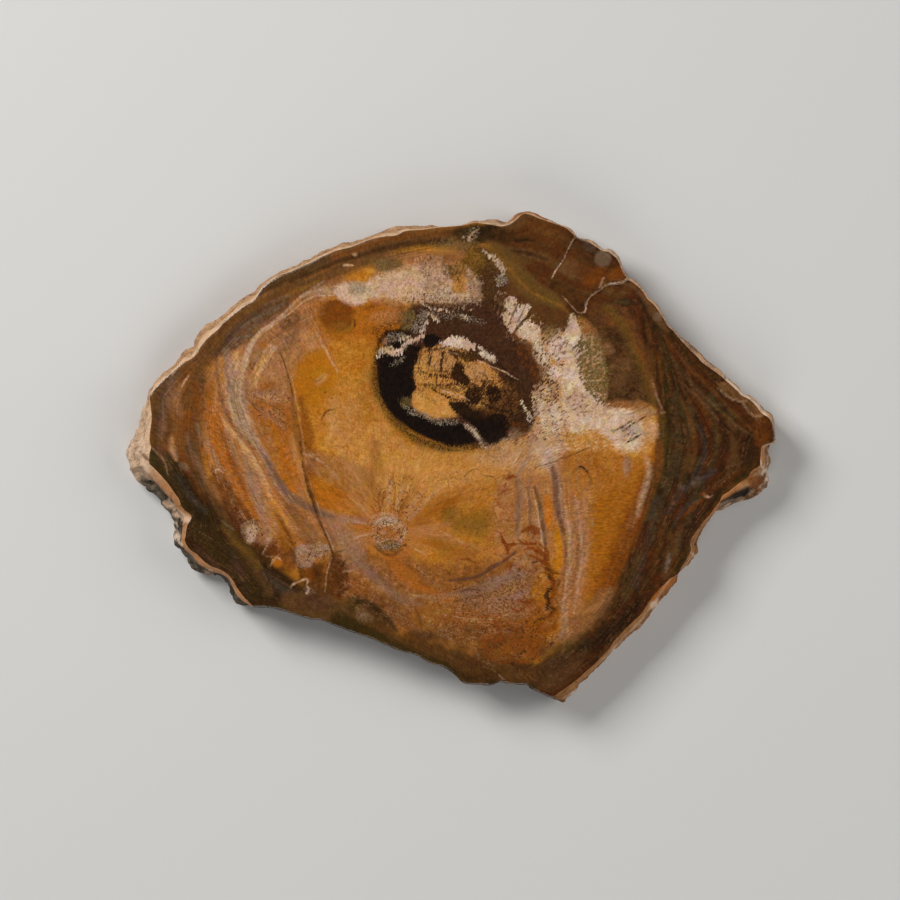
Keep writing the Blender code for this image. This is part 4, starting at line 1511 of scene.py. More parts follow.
# Round the pith: rays of peach, gold and olive.
PITH_WASHES: tuple[Wash, ...] = (
    Wash(Oval(392, 524, 54, 34), Tint.PEACH, Tint.ORANGE, Grain.RAYS, 0.8, 30),
    dab(Tint.STRAW, Tint.CINNAMON, 392, 494, 24, 24, strength=0.6, soft=16, grain=Grain.RAYS),
    dab(Tint.AMBER, Tint.CINNAMON, 440, 506, 34, 12, -32, strength=0.6, soft=12, grain=Grain.RAYS),
    dab(Tint.HONEY, Tint.RUST, 448, 506, 14, 6, -20),
    dab(Tint.OCHRE, Tint.CINNAMON, 478, 492, 20, 12, -20, strength=0.6, soft=12, grain=Grain.RAYS),
    pool(Tint.LICHEN, Tint.LICHEN, (440, 512), (462, 508), (490, 510), (498, 522), (490, 536), (470, 538),
         (448, 530), strength=0.8, soft=16),
    dab(Tint.MOSS, Tint.LICHEN, 478, 526, 14, 8, strength=0.5, soft=10),
    dab(Tint.MOSS, Tint.LICHEN, 450, 514, 8, 6, strength=0.5, soft=8),
    pool(Tint.LICHEN, Tint.CINNAMON, (430, 536), (450, 540), (478, 546), (480, 560), (452, 562), (436, 552),
         strength=0.75, soft=10, grain=Grain.RAYS),
    brush(Tint.PEACH, (4, 8, 6, 3), (408, 532), (432, 534), (456, 542), (480, 548), soft=6,
          grain=Grain.RAYS),
    dab(Tint.OCHRE, Tint.COPPER, 490, 554, 34, 12, -8, soft=12),
    dab(Tint.PEACH, Tint.TAN, 342, 536, 26, 12, 22, strength=0.8, soft=12),
    brush(Tint.ORANGE, (6, 10, 6), (350, 518), (360, 526), (372, 530), soft=6, grain=Grain.RAYS),
    dab(Tint.SAND, Tint.COPPER, 390, 533, 17, 15, strength=0.85, soft=5, grain=Grain.SPECKLE),
    dab(Tint.CREAM, Tint.LICHEN, 389, 522, 12, 5, -4, soft=3, grain=Grain.SPECKLE),
    dab(Tint.LICHEN, Tint.DRAB, 390, 547, 14, 5, -4, strength=0.85, soft=4, grain=Grain.SPECKLE),
    dab(Tint.ORANGE, Tint.COPPER, 388, 533, 12, 6, strength=0.85, soft=4, grain=Grain.SPECKLE),
)

# Lower middle: copper with lilac streaks, rust and olive below.
LOWER_MIDDLE_WASHES: tuple[Wash, ...] = (
    pool(Tint.COPPER, Tint.TAWNY, (336, 556), (400, 556), (450, 566), (520, 560), (548, 590), (530, 634),
         (470, 648), (420, 640), (362, 606), (344, 590), soft=14),
    pool(Tint.CLAY, Tint.MAUVE, (340, 552), (360, 548), (366, 562), (346, 574), strength=0.6),
    brush(Tint.MAUVE, (8, 12, 10, 6), (352, 556), (372, 574), (396, 594), (420, 606), soft=7),
    brush(Tint.ORANGE, (10, 14, 10, 6), (388, 556), (404, 574), (424, 590), (450, 600), strength=0.7,
          soft=7),
    brush(Tint.RUST, (8, 14, 12, 8), (344, 570), (360, 590), (384, 604), (410, 624), soft=8),
    brush(Tint.BISTRE, (6, 14, 18, 12), (366, 596), (390, 604), (420, 628), (446, 640), strength=0.45,
          soft=10),
    pool(Tint.LICHEN, Tint.CINNAMON, (414, 608), (448, 608), (452, 624), (430, 632), (414, 624),
         strength=0.75, soft=5),
    pool(Tint.CLAY, Tint.BRONZE, (456, 596), (472, 584), (500, 574), (534, 566), (538, 594), (524, 618),
         (486, 612), grain=Grain.SPECKLE),
    brush(Tint.MAUVE, (4, 9, 9, 5), (460, 594), (480, 588), (500, 580), (520, 574), strength=0.7, soft=5),
    pool(Tint.COPPER, Tint.RUST, (440, 618), (480, 612), (520, 622), (540, 636), (500, 630), (470, 640),
         (446, 636), strength=0.7, soft=8, grain=Grain.SPECKLE),
    dab(Tint.TAWNY, Tint.BROWN, 466, 636, 30, 10, 10, soft=10),
    pool(Tint.TAWNY, Tint.RUSSET, (476, 640), (500, 626), (532, 634), (552, 640), (540, 660), (510, 670),
         (484, 664), strength=0.75, soft=12, grain=Grain.SPECKLE),
    brush(Tint.COPPER, (4, 7, 5), (478, 640), (490, 636), (502, 628), soft=4),
    brush(Tint.BROWN, (3, 6, 4), (482, 652), (496, 648), (506, 640), strength=0.55, soft=4),
    brush(Tint.PEACH, (2, 5, 3), (494, 662), (510, 656), (526, 656), strength=0.5),
    brush(Tint.BROWN, (4, 7, 4), (498, 668), (512, 664), (528, 664), strength=0.7, soft=4),
    dab(Tint.BRONZE, Tint.RUST, 528, 646, 16, 12, strength=0.6, soft=8),
    pool(Tint.CINNAMON, Tint.RUST, (536, 562), (552, 574), (562, 600), (558, 630), (534, 634), (520, 624),
         (528, 596), soft=8),
    dab(Tint.SAFFRON, Tint.CINNAMON, 541, 590, 10, 16, strength=0.85, soft=5),
    dab(Tint.CINNAMON, Tint.RUST, 542, 622, 15, 13, strength=0.9, soft=5),
    brush(Tint.BRONZE, (4, 7, 7, 4), (540, 486), (541, 506), (543, 532), (547, 560), strength=0.75),
    brush(Tint.MAUVE, (4, 7, 6, 4), (556, 462), (559, 486), (560, 505), (562, 524), strength=0.7, soft=4),
    brush(Tint.PEACH, (4, 7, 7, 6, 4), (572, 486), (574, 512), (576, 540), (574, 576), (570, 610),
          strength=0.8, soft=4),
    brush(Tint.APRICOT, (2, 4, 4, 3), (583, 520), (586, 545), (583, 574), (578, 606), strength=0.7),
)

# Right of the middle: peach and lilac bands, then the broad orange strip.
RIGHT_MIDDLE_WASHES: tuple[Wash, ...] = (
    pool(Tint.PEACH, Tint.COPPER, (498, 480), (548, 480), (552, 520), (552, 560), (520, 566), (498, 552),
         soft=10),
    pool(Tint.PEACH, Tint.COPPER, (552, 440), (586, 446), (592, 500), (590, 570), (580, 620), (564, 640),
         (558, 600), (554, 520), grain=Grain.RINGS),
    pool(Tint.CINNAMON, Tint.HONEY, (592, 458), (644, 462), (646, 490), (636, 530), (622, 570), (604, 604),
         (586, 606), (590, 540), (592, 500), soft=10, grain=Grain.RINGS),
    pool(Tint.OCHRE, Tint.CINNAMON, (568, 446), (620, 452), (640, 470), (600, 496), (578, 500), (566, 470),
         soft=12),
    brush(Tint.CLAY, (4, 8, 8, 5), (584, 486), (583, 520), (586, 545), (582, 572), strength=0.4, soft=6),
    brush(Tint.RUST, (8, 18, 26, 26, 22, 14), (658, 448), (650, 484), (634, 524), (620, 560), (608, 588),
          (600, 604), strength=0.85, soft=14),
    brush(Tint.RUSSET, (6, 9, 12, 12, 10), (659, 462), (648, 496), (635, 530), (624, 562), (613, 592),
          strength=0.8, soft=8),
    brush(Tint.RUST, (8, 9, 6), (660, 440), (659, 464), (652, 488), strength=0.85, soft=5),
    brush(Tint.TAN, (5, 8, 5), (644, 500), (638, 512), (631, 526), strength=0.5, soft=5),
    pool(Tint.TAN, Tint.BRONZE, (586, 604), (604, 588), (612, 592), (606, 612), (590, 626), (572, 640),
         (560, 636), (570, 618), soft=8),
    brush(Tint.PEACH, (3, 5, 3), (584, 612), (598, 606), (608, 592), soft=4),
    brush(Tint.FAWN, (8, 12, 12, 10), (611, 592), (604, 612), (590, 628), (568, 644), strength=0.8, soft=6),
    dab(Tint.TAN, Tint.BRONZE, 560, 642, 14, 8, -30, strength=0.8),
    pool(Tint.BISTRE, Tint.MOSS, (540, 650), (562, 642), (584, 634), (590, 640), (566, 652), (544, 662),
         strength=0.7, soft=6),
    brush(Tint.SAFFRON, (4, 10, 9, 3), (557, 529), (558, 546), (558, 564), (556, 580), strength=1.0, soft=2,
          grain=Grain.MOTTLE),
    brush(Tint.FIRE, (4, 7, 7, 3), (547, 497), (548, 510), (549, 520), (550, 530), strength=0.9, soft=2,
          grain=Grain.MOTTLE),
)

# Under and inside the eye.
EYE_WASHES: tuple[Wash, ...] = (
    brush(Tint.MOSS, (6, 9, 9, 10, 10, 8, 5), (376, 352), (376, 384), (386, 410), (408, 434), (440, 447),
          (476, 447), (496, 446), strength=0.7, soft=7),
    pool(Tint.COCOA, Tint.CHOCOLATE, (387, 340), (397, 332), (404, 322), (410, 308), (426, 303), (470, 300),
         (500, 298), (508, 330), (528, 352), (546, 374), (540, 402), (530, 432), (502, 442), (478, 445),
         (442, 443), (410, 429), (386, 405), (378, 370), strength=1.0, soft=2.5, grain=Grain.SPECKLE),
    pool(Tint.COCOA, Tint.WINE, (452, 322), (492, 318), (512, 346), (500, 356), (470, 334), strength=0.5,
         soft=10, grain=Grain.SPECKLE),
    pool(Tint.BLACK, Tint.SOOT, (380, 352), (400, 340), (414, 348), (414, 380), (408, 408), (430, 424),
         (460, 428), (474, 440), (442, 443), (410, 429), (386, 405), (379, 372), strength=1.0, soft=3),
    pool(Tint.STRAW, Tint.COPPER, (416, 354), (440, 346), (480, 358), (504, 384), (500, 402), (470, 412),
         (440, 420), (426, 416), (412, 404), (414, 380), strength=1.0, soft=4, grain=Grain.SPECKLE),
    dab(Tint.APRICOT, Tint.STRAW, 477, 373, 13, 8, 20, strength=0.9, soft=4),
    dab(Tint.APRICOT, Tint.STRAW, 438, 361, 16, 9, soft=5),
    dab(Tint.STRAW, Tint.GOLD, 428, 384, 12, 14, strength=0.6, soft=8),
    dab(Tint.STRAW, Tint.GOLD, 434, 404, 24, 13, 16, strength=0.9, soft=7),
    pool(Tint.BRONZE, Tint.COCOA, (492, 402), (508, 382), (522, 396), (526, 424), (506, 424), (476, 412),
         strength=0.9, grain=Grain.SPECKLE),
    brush(Tint.TAWNY, (4, 6, 6, 4), (500, 366), (514, 384), (520, 404), (522, 426), strength=0.5, soft=5,
          grain=Grain.SPECKLE),
)

# Above the eye, up to the top rim.
ABOVE_EYE_WASHES: tuple[Wash, ...] = (
    pool(Tint.APRICOT, Tint.COPPER, (376, 270), (404, 256), (452, 256), (480, 266), (486, 300), (420, 306),
         (372, 302), soft=9),
    dab(Tint.OCHRE, Tint.STRAW, 461, 285, 8.5, 8.5, strength=0.9, soft=3),
    brush(Tint.SAND, (4, 9, 9, 8), (318, 290), (334, 292), (350, 294), (372, 292), strength=0.7, soft=6),
    pool(Tint.BISTRE, Tint.OLIVE, (458, 248), (492, 248), (508, 270), (506, 300), (482, 306), (474, 278),
         strength=0.95, grain=Grain.SPECKLE),
    dab(Tint.LICHEN, Tint.MOSS, 473, 264, 11, 16, strength=0.75, grain=Grain.SPECKLE),
    pool(Tint.BROWN, Tint.COCOA, (502, 270), (540, 290), (576, 312), (570, 334), (540, 332), (512, 330),
         (500, 300), strength=0.95),
    brush(Tint.COCOA, (6, 12, 14, 10), (520, 272), (545, 285), (562, 295), (582, 311), strength=0.85,
          soft=6),
    brush(Tint.MOSS, (10, 14, 10), (500, 254), (514, 270), (526, 286), strength=0.4, soft=8),
    brush(Tint.LICHEN, (1, 3, 3, 3, 3, 2), (498, 262), (512, 280), (529, 293), (546, 301), (562, 307),
          (575, 319), strength=0.7),
)

# Right of the cream: brown windows, with an olive-gold streak down their right side.
WINDOW_WASHES: tuple[Wash, ...] = (
    pool(Tint.TAWNY, Tint.COCOA, (578, 304), (624, 292), (650, 330), (662, 414), (600, 408), (596, 340),
         strength=1.0),
    pool(Tint.BISTRE, Tint.UMBER, (600, 330), (624, 336), (642, 376), (648, 402), (604, 402), (600, 350),
         strength=0.9),
    dab(Tint.FAWN, Tint.BISTRE, 620, 374, 12, 18, 6, strength=0.55, soft=9),
    brush(Tint.MOSS, (6, 9, 10, 8, 7), (606, 306), (622, 324), (634, 348), (646, 376), (655, 404),
          strength=0.7, soft=8, grain=Grain.MOTTLE),
    brush(Tint.CLAY, (1, 3, 4, 2), (652, 380), (655, 392), (659, 403), (664, 411), strength=0.5, soft=4),
    brush(Tint.TAWNY, (3, 5, 5, 3), (626, 322), (638, 348), (648, 374), (656, 400), strength=0.7, soft=5),
    dab(Tint.CLAY, Tint.FAWN, 608, 350, 7, 5, 20, strength=0.6, soft=5),
    pool(Tint.TAN, Tint.FAWN, (572, 320), (584, 318), (600, 338), (606, 356), (596, 346), (580, 340),
         soft=6, grain=Grain.SPECKLE),
    pool(Tint.STRAW, Tint.OCHRE, (540, 340), (580, 340), (600, 392), (604, 430), (560, 440), (540, 400),
         soft=8, grain=Grain.SPECKLE),
    brush(Tint.SAND, (8, 12, 12, 8), (582, 344), (590, 362), (594, 380), (598, 396), strength=0.8, soft=6),
    dab(Tint.SAND, Tint.PEACH, 530, 338, 14, 8, 50, strength=0.8, soft=5),
    pool(Tint.STRAW, Tint.OCHRE, (560, 400), (600, 410), (652, 406), (656, 440), (640, 456), (600, 450),
         (560, 446), strength=0.9, soft=6),
    brush(Tint.TAN, (3, 7, 8, 5), (596, 405), (620, 405), (640, 406), (655, 414), strength=0.9, soft=5),
    brush(Tint.COPPER, (3, 6, 6, 4), (604, 408), (624, 407), (640, 410), (650, 416), strength=0.5, soft=4),
)

# Dark outer zones.
DARK_ZONE_WASHES: tuple[Wash | Bands, ...] = (
    Bands(RIGHT_ZONE, (Tint.UMBER, Tint.OLIVE, Tint.BROWN, Tint.UMBER, Tint.MAROON, Tint.UMBER, Tint.DRAB,
          Tint.UMBER), 5.0, 1, soft=7),
    Bands(UPPER_RIM, (Tint.BROWN, Tint.TAWNY, Tint.BISTRE, Tint.BRONZE, Tint.BISTRE, Tint.TAWNY), 4.0, 2,
          soft=9),
    Bands(LEFT_ZONE, (Tint.BROWN, Tint.BISTRE, Tint.TAWNY, Tint.BRONZE, Tint.TAWNY), 3.0, 3, soft=9),
    Bands(LOWER_LEFT_ZONE, (Tint.PINE, Tint.OLIVE, Tint.UMBER, Tint.OLIVE, Tint.DRAB, Tint.UMBER), 3.0, 4,
          soft=10),
    Bands(TOP_RIGHT_ZONE, (Tint.UMBER, Tint.BROWN, Tint.MAROON, Tint.BROWN, Tint.BISTRE, Tint.UMBER), 3.0,
          5, soft=6),
    dab(Tint.RUSSET, Tint.BROWN, 588, 262, 26, 14, 40, strength=0.5, soft=12),
    dab(Tint.RUSSET, Tint.MAROON, 545, 232, 26, 10, 10, strength=0.5, soft=10),
    brush(Tint.LICHEN, (2, 4, 5, 3), (390, 254), (412, 248), (432, 247), (450, 248), strength=0.75),
)

# Stripes of the right zone, from the inner edge out to the tip.
RIGHT_STRIPE_WASHES: tuple[Wash, ...] = (
    brush(Tint.MOSS, (5, 9, 6), (662, 412), (665, 428), (668, 446), soft=5),
    brush(Tint.OLIVE, (6, 7, 7, 5), (668, 400), (668, 440), (667, 462), (656, 488), strength=0.75, soft=5),
    brush(Tint.DRAB, (5, 8, 8, 6), (675, 395), (677, 430), (677, 456), (664, 486), strength=0.75, soft=5),
    brush(Tint.BROWN, (3, 4, 4), (685, 425), (689, 448), (684, 474), strength=0.75, soft=5),
    brush(Tint.TAWNY, (3, 5, 5, 4), (680, 396), (690, 420), (695, 448), (690, 472), strength=0.5, soft=4),
    brush(Tint.RUSSET, (2, 3, 3), (700, 402), (704, 414), (710, 428), soft=2),
    brush(Tint.DUSK, (3, 5, 6, 5), (700, 426), (705, 446), (703, 464), (692, 482), soft=4),
    brush(Tint.MAROON, (2, 4, 4, 2), (702, 412), (709, 434), (710, 456), (702, 474), strength=0.8),
    brush(Tint.DRAB, (4, 6, 6, 4), (706, 400), (715, 428), (717, 452), (708, 476), strength=0.75, soft=4),
    brush(Tint.CHOCOLATE, (4, 6, 5), (716, 406), (725, 434), (721, 464), strength=0.75, soft=4),
    brush(Tint.BISTRE, (4, 8, 6), (726, 416), (735, 440), (729, 468), soft=5),
    dab(Tint.CHOCOLATE, Tint.SOOT, 748, 452, 9, 20, 4, soft=8),
    pool(Tint.RUSSET, Tint.MAROON, (756, 414), (768, 418), (772, 434), (764, 446), (754, 444), strength=0.8,
         soft=6),
    brush(Tint.UMBER, (4, 5, 5), (660, 318), (690, 356), (722, 386), strength=0.75, soft=5),
    brush(Tint.OLIVE, (2, 4, 3), (668, 332), (696, 364), (738, 406), strength=0.75),
    brush(Tint.TAWNY, (2, 4, 4, 3), (664, 336), (688, 366), (718, 396), (756, 434), strength=0.5),
    brush(Tint.MAROON, (1, 3, 3, 2), (676, 340), (702, 370), (726, 396), (752, 422), soft=2),
    brush(Tint.DRAB, (3, 4, 3), (660, 344), (694, 386), (746, 434), strength=0.75),
    brush(Tint.FAWN, (1, 2, 2, 1), (690, 385), (714, 405), (736, 425), (762, 442), strength=0.5, soft=2),
    brush(Tint.UMBER, (3, 5, 4), (657, 346), (682, 384), (738, 438), strength=0.75, soft=4),
    brush(Tint.FAWN, (1.5, 3, 2), (678, 380), (698, 398), (718, 420)),
    brush(Tint.RUSSET, (2, 3, 2), (694, 398), (704, 412), (712, 426), strength=0.7),
    brush(Tint.OLIVE, (3, 5, 5, 3), (652, 312), (664, 346), (672, 372), (686, 394), strength=0.75, soft=4),
    brush(Tint.RUSSET, (2, 4, 3), (646, 318), (656, 348), (662, 380)),
    brush(Tint.CHOCOLATE, (3, 5, 4), (640, 300), (652, 330), (658, 352), strength=0.75, soft=4),
    pool(Tint.TAN, Tint.BISTRE, (719, 386), (728, 383), (738, 390), (748, 401), (738, 400), (728, 396),
         strength=0.75, soft=2.5),
    pool(Tint.TAN, Tint.BISTRE, (742, 402), (750, 401), (760, 409), (763, 416), (752, 416), (746, 410),
         strength=0.75, soft=2.5),
    brush(Tint.SAND, (1, 1.6, 1.6, 1), (719, 389), (728, 397), (740, 402), (747, 402), strength=0.5,
          soft=1.5),
    brush(Tint.SAND, (1, 1.6, 1.6, 1), (743, 405), (750, 413), (756, 417), (763, 415), soft=1.5),
    brush(Tint.BROWN, (5, 9, 9, 6), (658, 440), (658, 462), (652, 486), (645, 506), strength=0.75, soft=4),
    brush(Tint.DUSK, (5, 8, 7, 5), (716, 471), (700, 481), (682, 492), (666, 514), strength=0.55, soft=5),
    brush(Tint.MAROON, (4, 7, 6), (742, 472), (724, 484), (706, 496), strength=0.8, soft=4),
    brush(Tint.RUSSET, (3, 5, 3), (701, 501), (692, 508), (684, 517), strength=0.8),
    brush(Tint.DUSK, (2, 4, 3), (698, 500), (684, 510), (672, 528), strength=0.7),
    brush(Tint.CHOCOLATE, (4, 8, 8, 7), (714, 498), (700, 514), (690, 532), (684, 550), strength=0.8,
          soft=5),
    brush(Tint.DUSK, (4, 6, 6, 5), (657, 498), (651, 522), (645, 550), (636, 588), strength=0.5, soft=5),
    brush(Tint.MAROON, (2, 4, 4, 2), (651, 520), (646, 540), (638, 566), (628, 590)),
    brush(Tint.BROWN, (3, 5, 5), (664, 518), (660, 545), (652, 575), strength=0.7, soft=5),
    brush(Tint.BISTRE, (4, 9, 6), (680, 526), (673, 552), (664, 576), soft=5),
    brush(Tint.DRAB, (5, 8, 5), (640, 556), (632, 580), (624, 600), soft=5),
    brush(Tint.SOOT, (10, 14, 14, 12), (638, 606), (618, 626), (592, 646), (566, 664), strength=0.75,
          soft=8),
    pool(Tint.BISTRE, Tint.COCOA, (538, 670), (560, 656), (580, 656), (572, 674), (550, 690), (538, 684),
         strength=0.8),
    brush(Tint.DRAB, (4, 6, 4), (586, 640), (566, 654), (544, 668), soft=5),
)

# Stripes of the left zone.
LEFT_STRIPE_WASHES: tuple[Wash, ...] = (
    brush(Tint.DUSK, (4, 8, 10, 6), (176, 372), (164, 392), (160, 416), (158, 434), strength=0.55, soft=7),
    brush(Tint.BROWN, (4, 6, 6, 6), (157, 394), (155, 415), (154, 436), (162, 456), strength=0.8, soft=5),
    brush(Tint.MAUVE, (6, 10, 8, 5), (172, 378), (170, 398), (166, 418), (162, 436), strength=0.5, soft=7),
    brush(Tint.CLAY, (4, 8, 6), (182, 386), (177, 400), (180, 414), strength=0.5, soft=7),
    brush(Tint.RUST, (8, 16, 14, 8), (196, 384), (197, 404), (190, 420), (186, 434), soft=8),
    brush(Tint.BROWN, (3, 5, 4), (167, 410), (170, 426), (165, 440), strength=0.7, soft=4),
    brush(Tint.CINNAMON, (3, 5, 3), (177, 434), (172, 448), (176, 460), strength=0.7, soft=4),
    brush(Tint.SAND, (3, 6, 3), (172, 438), (173, 450), (177, 460), strength=0.5, soft=5),
    brush(Tint.RUSSET, (4, 8, 6, 4), (178, 446), (184, 462), (194, 480), (206, 500), soft=6),
    brush(Tint.MAUVE, (3, 5, 4), (186, 434), (194, 456), (206, 480), soft=4),
    brush(Tint.CINNAMON, (3, 5, 4), (200, 438), (206, 456), (214, 474), strength=0.7, soft=4),
    pool(Tint.RUSSET, Tint.MAROON, (214, 466), (226, 478), (240, 500), (254, 520), (266, 540), (256, 548),
         (236, 530), (220, 508), (208, 486), strength=0.8, soft=8, grain=Grain.RINGS),
    brush(Tint.WINE, (3, 6, 4), (159, 448), (164, 460), (172, 470), strength=0.7, soft=4),
)

# Clouds and streaks of the lower left.
LOWER_LEFT_WASHES: tuple[Wash, ...] = (
    brush(Tint.PINE, (8, 12, 10, 8), (168, 464), (182, 484), (194, 504), (206, 528), strength=0.7, soft=7),
    brush(Tint.DUSK, (2, 5, 3), (176, 476), (190, 496), (206, 512), soft=4),
    brush(Tint.BISTRE, (4, 9, 9, 6), (196, 470), (206, 488), (218, 506), (226, 520), strength=0.7, soft=6),
    brush(Tint.TAN, (2, 6, 4), (202, 472), (212, 488), (222, 502), strength=0.65, soft=5),
    brush(Tint.MAROON, (5, 10, 8), (224, 500), (238, 520), (250, 534), strength=0.7, soft=6),
    brush(Tint.OLIVE, (12, 20, 18), (202, 530), (226, 556), (252, 594), strength=0.5, soft=10),
    brush(Tint.MOSS, (6, 12, 10), (224, 526), (240, 545), (258, 566), strength=0.55, soft=7),
    brush(Tint.UMBER, (8, 14, 10), (186, 540), (206, 560), (240, 590), strength=0.7, soft=7),
    brush(Tint.SLATE, (3, 6, 4), (230, 550), (238, 570), (248, 590), soft=5),
    brush(Tint.DUSK, (6, 12, 8), (266, 572), (284, 590), (300, 602), strength=0.5, soft=8),
    pool(Tint.MAROON, Tint.UMBER, (298, 568), (326, 562), (346, 562), (348, 590), (336, 598), (310, 594),
         strength=0.9, soft=6),
    pool(Tint.BISTRE, Tint.BROWN, (280, 596), (310, 592), (350, 594), (372, 606), (380, 628), (330, 622),
         (290, 612)),
    dab(Tint.WINE, Tint.COCOA, 318, 602, 14, 8, strength=0.6),
    dab(Tint.BISTRE, Tint.OLIVE, 372, 615, 28, 12, 30, strength=0.8, soft=8),
    brush(Tint.BISTRE, (4, 9, 6), (248, 562), (260, 576), (270, 592), strength=0.5, soft=6),
    pool(Tint.CLAY, Tint.TAN, (254, 524), (266, 522), (272, 540), (266, 548), (256, 540), strength=0.7,
         soft=5),
    pool(Tint.CINNAMON, Tint.RUSSET, (300, 568), (312, 564), (314, 580), (306, 582), strength=0.7, soft=5),
    brush(Tint.TAWNY, (3, 6, 5), (326, 566), (325, 580), (322, 592), soft=4),
    pool(Tint.RUSSET, Tint.MAROON, (331, 558), (342, 556), (346, 582), (344, 598), (332, 594), soft=3),
    brush(Tint.CINNAMON, (2, 4, 3), (322, 553), (326, 562), (325, 572), strength=0.7),
    brush(Tint.BROWN, (14, 16, 22, 28, 26, 20), (368, 626), (400, 643), (440, 655), (480, 671), (520, 674),
          (544, 680), strength=1.0, soft=10),
    brush(Tint.TAWNY, (6, 8, 6), (476, 652), (492, 658), (512, 658), soft=5),
    brush(Tint.OLIVE, (20, 12, 10, 12, 12, 12), (340, 622), (400, 650), (440, 664), (466, 680), (500, 686),
          (530, 690), strength=0.95, soft=6),
    brush(Tint.UMBER, (3, 6, 3), (508, 662), (522, 668), (534, 664), strength=0.7, soft=4),
    dab(Tint.UMBER, Tint.SOOT, 489, 677, 10, 4, soft=4),
    dab(Tint.UMBER, Tint.COCOA, 424, 637, 16, 4, 8, strength=0.6, soft=5),
    dab(Tint.SAND, Tint.TAN, 300, 553, 5, 4, strength=0.4, soft=3),
)

# The outer strip under the upper rim.
UPPER_STRIP_WASHES: tuple[Wash, ...] = (
    brush(Tint.DUSK, (3, 7, 8, 5), (216, 356), (232, 336), (256, 316), (286, 298), soft=5),
    brush(Tint.WINE, (6, 14, 16, 8), (224, 354), (242, 337), (262, 322), (288, 304), strength=0.8, soft=6),
    brush(Tint.MOSS, (3, 5, 3), (232, 320), (254, 304), (280, 290), strength=0.5, soft=5),
    brush(Tint.TAN, (2, 3, 2), (214, 330), (240, 308), (274, 290), strength=0.5),
    brush(Tint.UMBER, (2, 4, 5, 5, 4), (290, 282), (330, 266), (372, 252), (410, 244), (450, 240),
          strength=0.75, soft=4),
    brush(Tint.RUSSET, (2, 4, 5, 3), (330, 260), (372, 245), (410, 236), (446, 234), soft=4),
    dab(Tint.OLIVE, Tint.SOOT, 482, 234, 30, 10, 0, strength=0.9, soft=7),
    dab(Tint.MAROON, Tint.OLIVE, 500, 238, 12, 7, 20, strength=0.6),
    dab(Tint.MAUVE, Tint.ASH, 603, 259, 8.5, 8, strength=0.85, soft=2),
    dab(Tint.MAUVE, Tint.ASH, 590, 247, 7, 5, 20, soft=2.5),
    dab(Tint.MAUVE, Tint.ASH, 658, 317, 5, 5, soft=2),
    dab(Tint.FAWN, Tint.FAWN, 563, 265, 4, 6, 30, strength=0.4, soft=4),
    pool(Tint.TAN, Tint.FAWN, (241, 526), (250, 522), (258, 529), (257, 540), (250, 546), (243, 537),
         strength=0.8, soft=2),
    brush(Tint.PEWTER, (1, 1.6, 1.6, 1.6, 1), (242, 536), (243, 526), (250, 523), (257, 528), (257, 535),
          soft=1.4),
    dab(Tint.PEWTER, Tint.STEEL, 249, 534, 4, 4, strength=0.45, soft=3),
    brush(Tint.BISTRE, (3, 8, 8, 4), (224, 352), (236, 342), (246, 336), (256, 330), soft=4),
    brush(Tint.BISTRE, (4, 10, 10, 5), (242, 328), (258, 319), (274, 311), (288, 303), soft=5),
    brush(Tint.BROWN, (2, 3, 3, 2), (244, 332), (256, 325), (268, 318), (280, 311), strength=0.7, soft=2),
    brush(Tint.MAROON, (2, 3, 3, 2), (232, 350), (242, 343), (250, 339), (258, 334), soft=2),
)

# Speckled band right under the rim.
SPECKLED_BAND_WASHES: tuple[Wash, ...] = (
    brush(Tint.DRAB, (3, 7, 8, 8, 5), (248, 300), (270, 286), (292, 276), (312, 267), (330, 260),
          grain=Grain.SPECKLE),
    brush(Tint.UMBER, (2, 4, 4, 3), (252, 299), (272, 288), (292, 279), (306, 272), strength=0.5,
          grain=Grain.SPECKLE),
    brush(Tint.LICHEN, (2, 4, 4, 2), (272, 304), (290, 295), (308, 287), (324, 278), strength=0.5),
)

# A bright base under the olive dots, and a brown one beside the cream strips.
DOT_BASE_WASHES: tuple[Wash, ...] = (
    pool(Tint.SAND, Tint.TAN, (578, 338), (592, 336), (602, 352), (606, 380), (604, 404), (590, 402),
         (580, 384), (576, 360), strength=0.9, soft=4),
    brush(Tint.COCOA, (6, 12, 14, 10), (506, 330), (520, 344), (536, 356), (550, 374), strength=0.85,
          soft=5, grain=Grain.SPECKLE),
)

# Darker, redder ground at the top right, with a warm corner.
TOP_RIGHT_WASHES: tuple[Wash, ...] = (
    dab(Tint.UMBER, Tint.UMBER, 586, 252, 30, 12, 35, strength=0.45, soft=10),
    dab(Tint.RUSSET, Tint.MAROON, 612, 272, 13, 8, -20),
    # Painted shadow under the second flake's edge.
    dab(Tint.UMBER, Tint.SOOT, 578, 308, 12, 7, strength=0.5),
    brush(Tint.FAWN, (3, 7, 7, 3), (634, 286), (646, 300), (656, 316), (668, 332), strength=0.5, soft=4,
          grain=Grain.SPECKLE),
)

# The yellow line and the brown oval over the cream.
OVER_CREAM_WASHES: tuple[Wash, ...] = (
    brush(Tint.GOLD, (2, 4, 5, 4, 2), (394, 254), (412, 250), (430, 250), (446, 248), (456, 246),
          strength=0.4),
    dab(Tint.BISTRE, Tint.MOSS, 388, 265, 15, 7, -6, strength=0.85, soft=5),
)

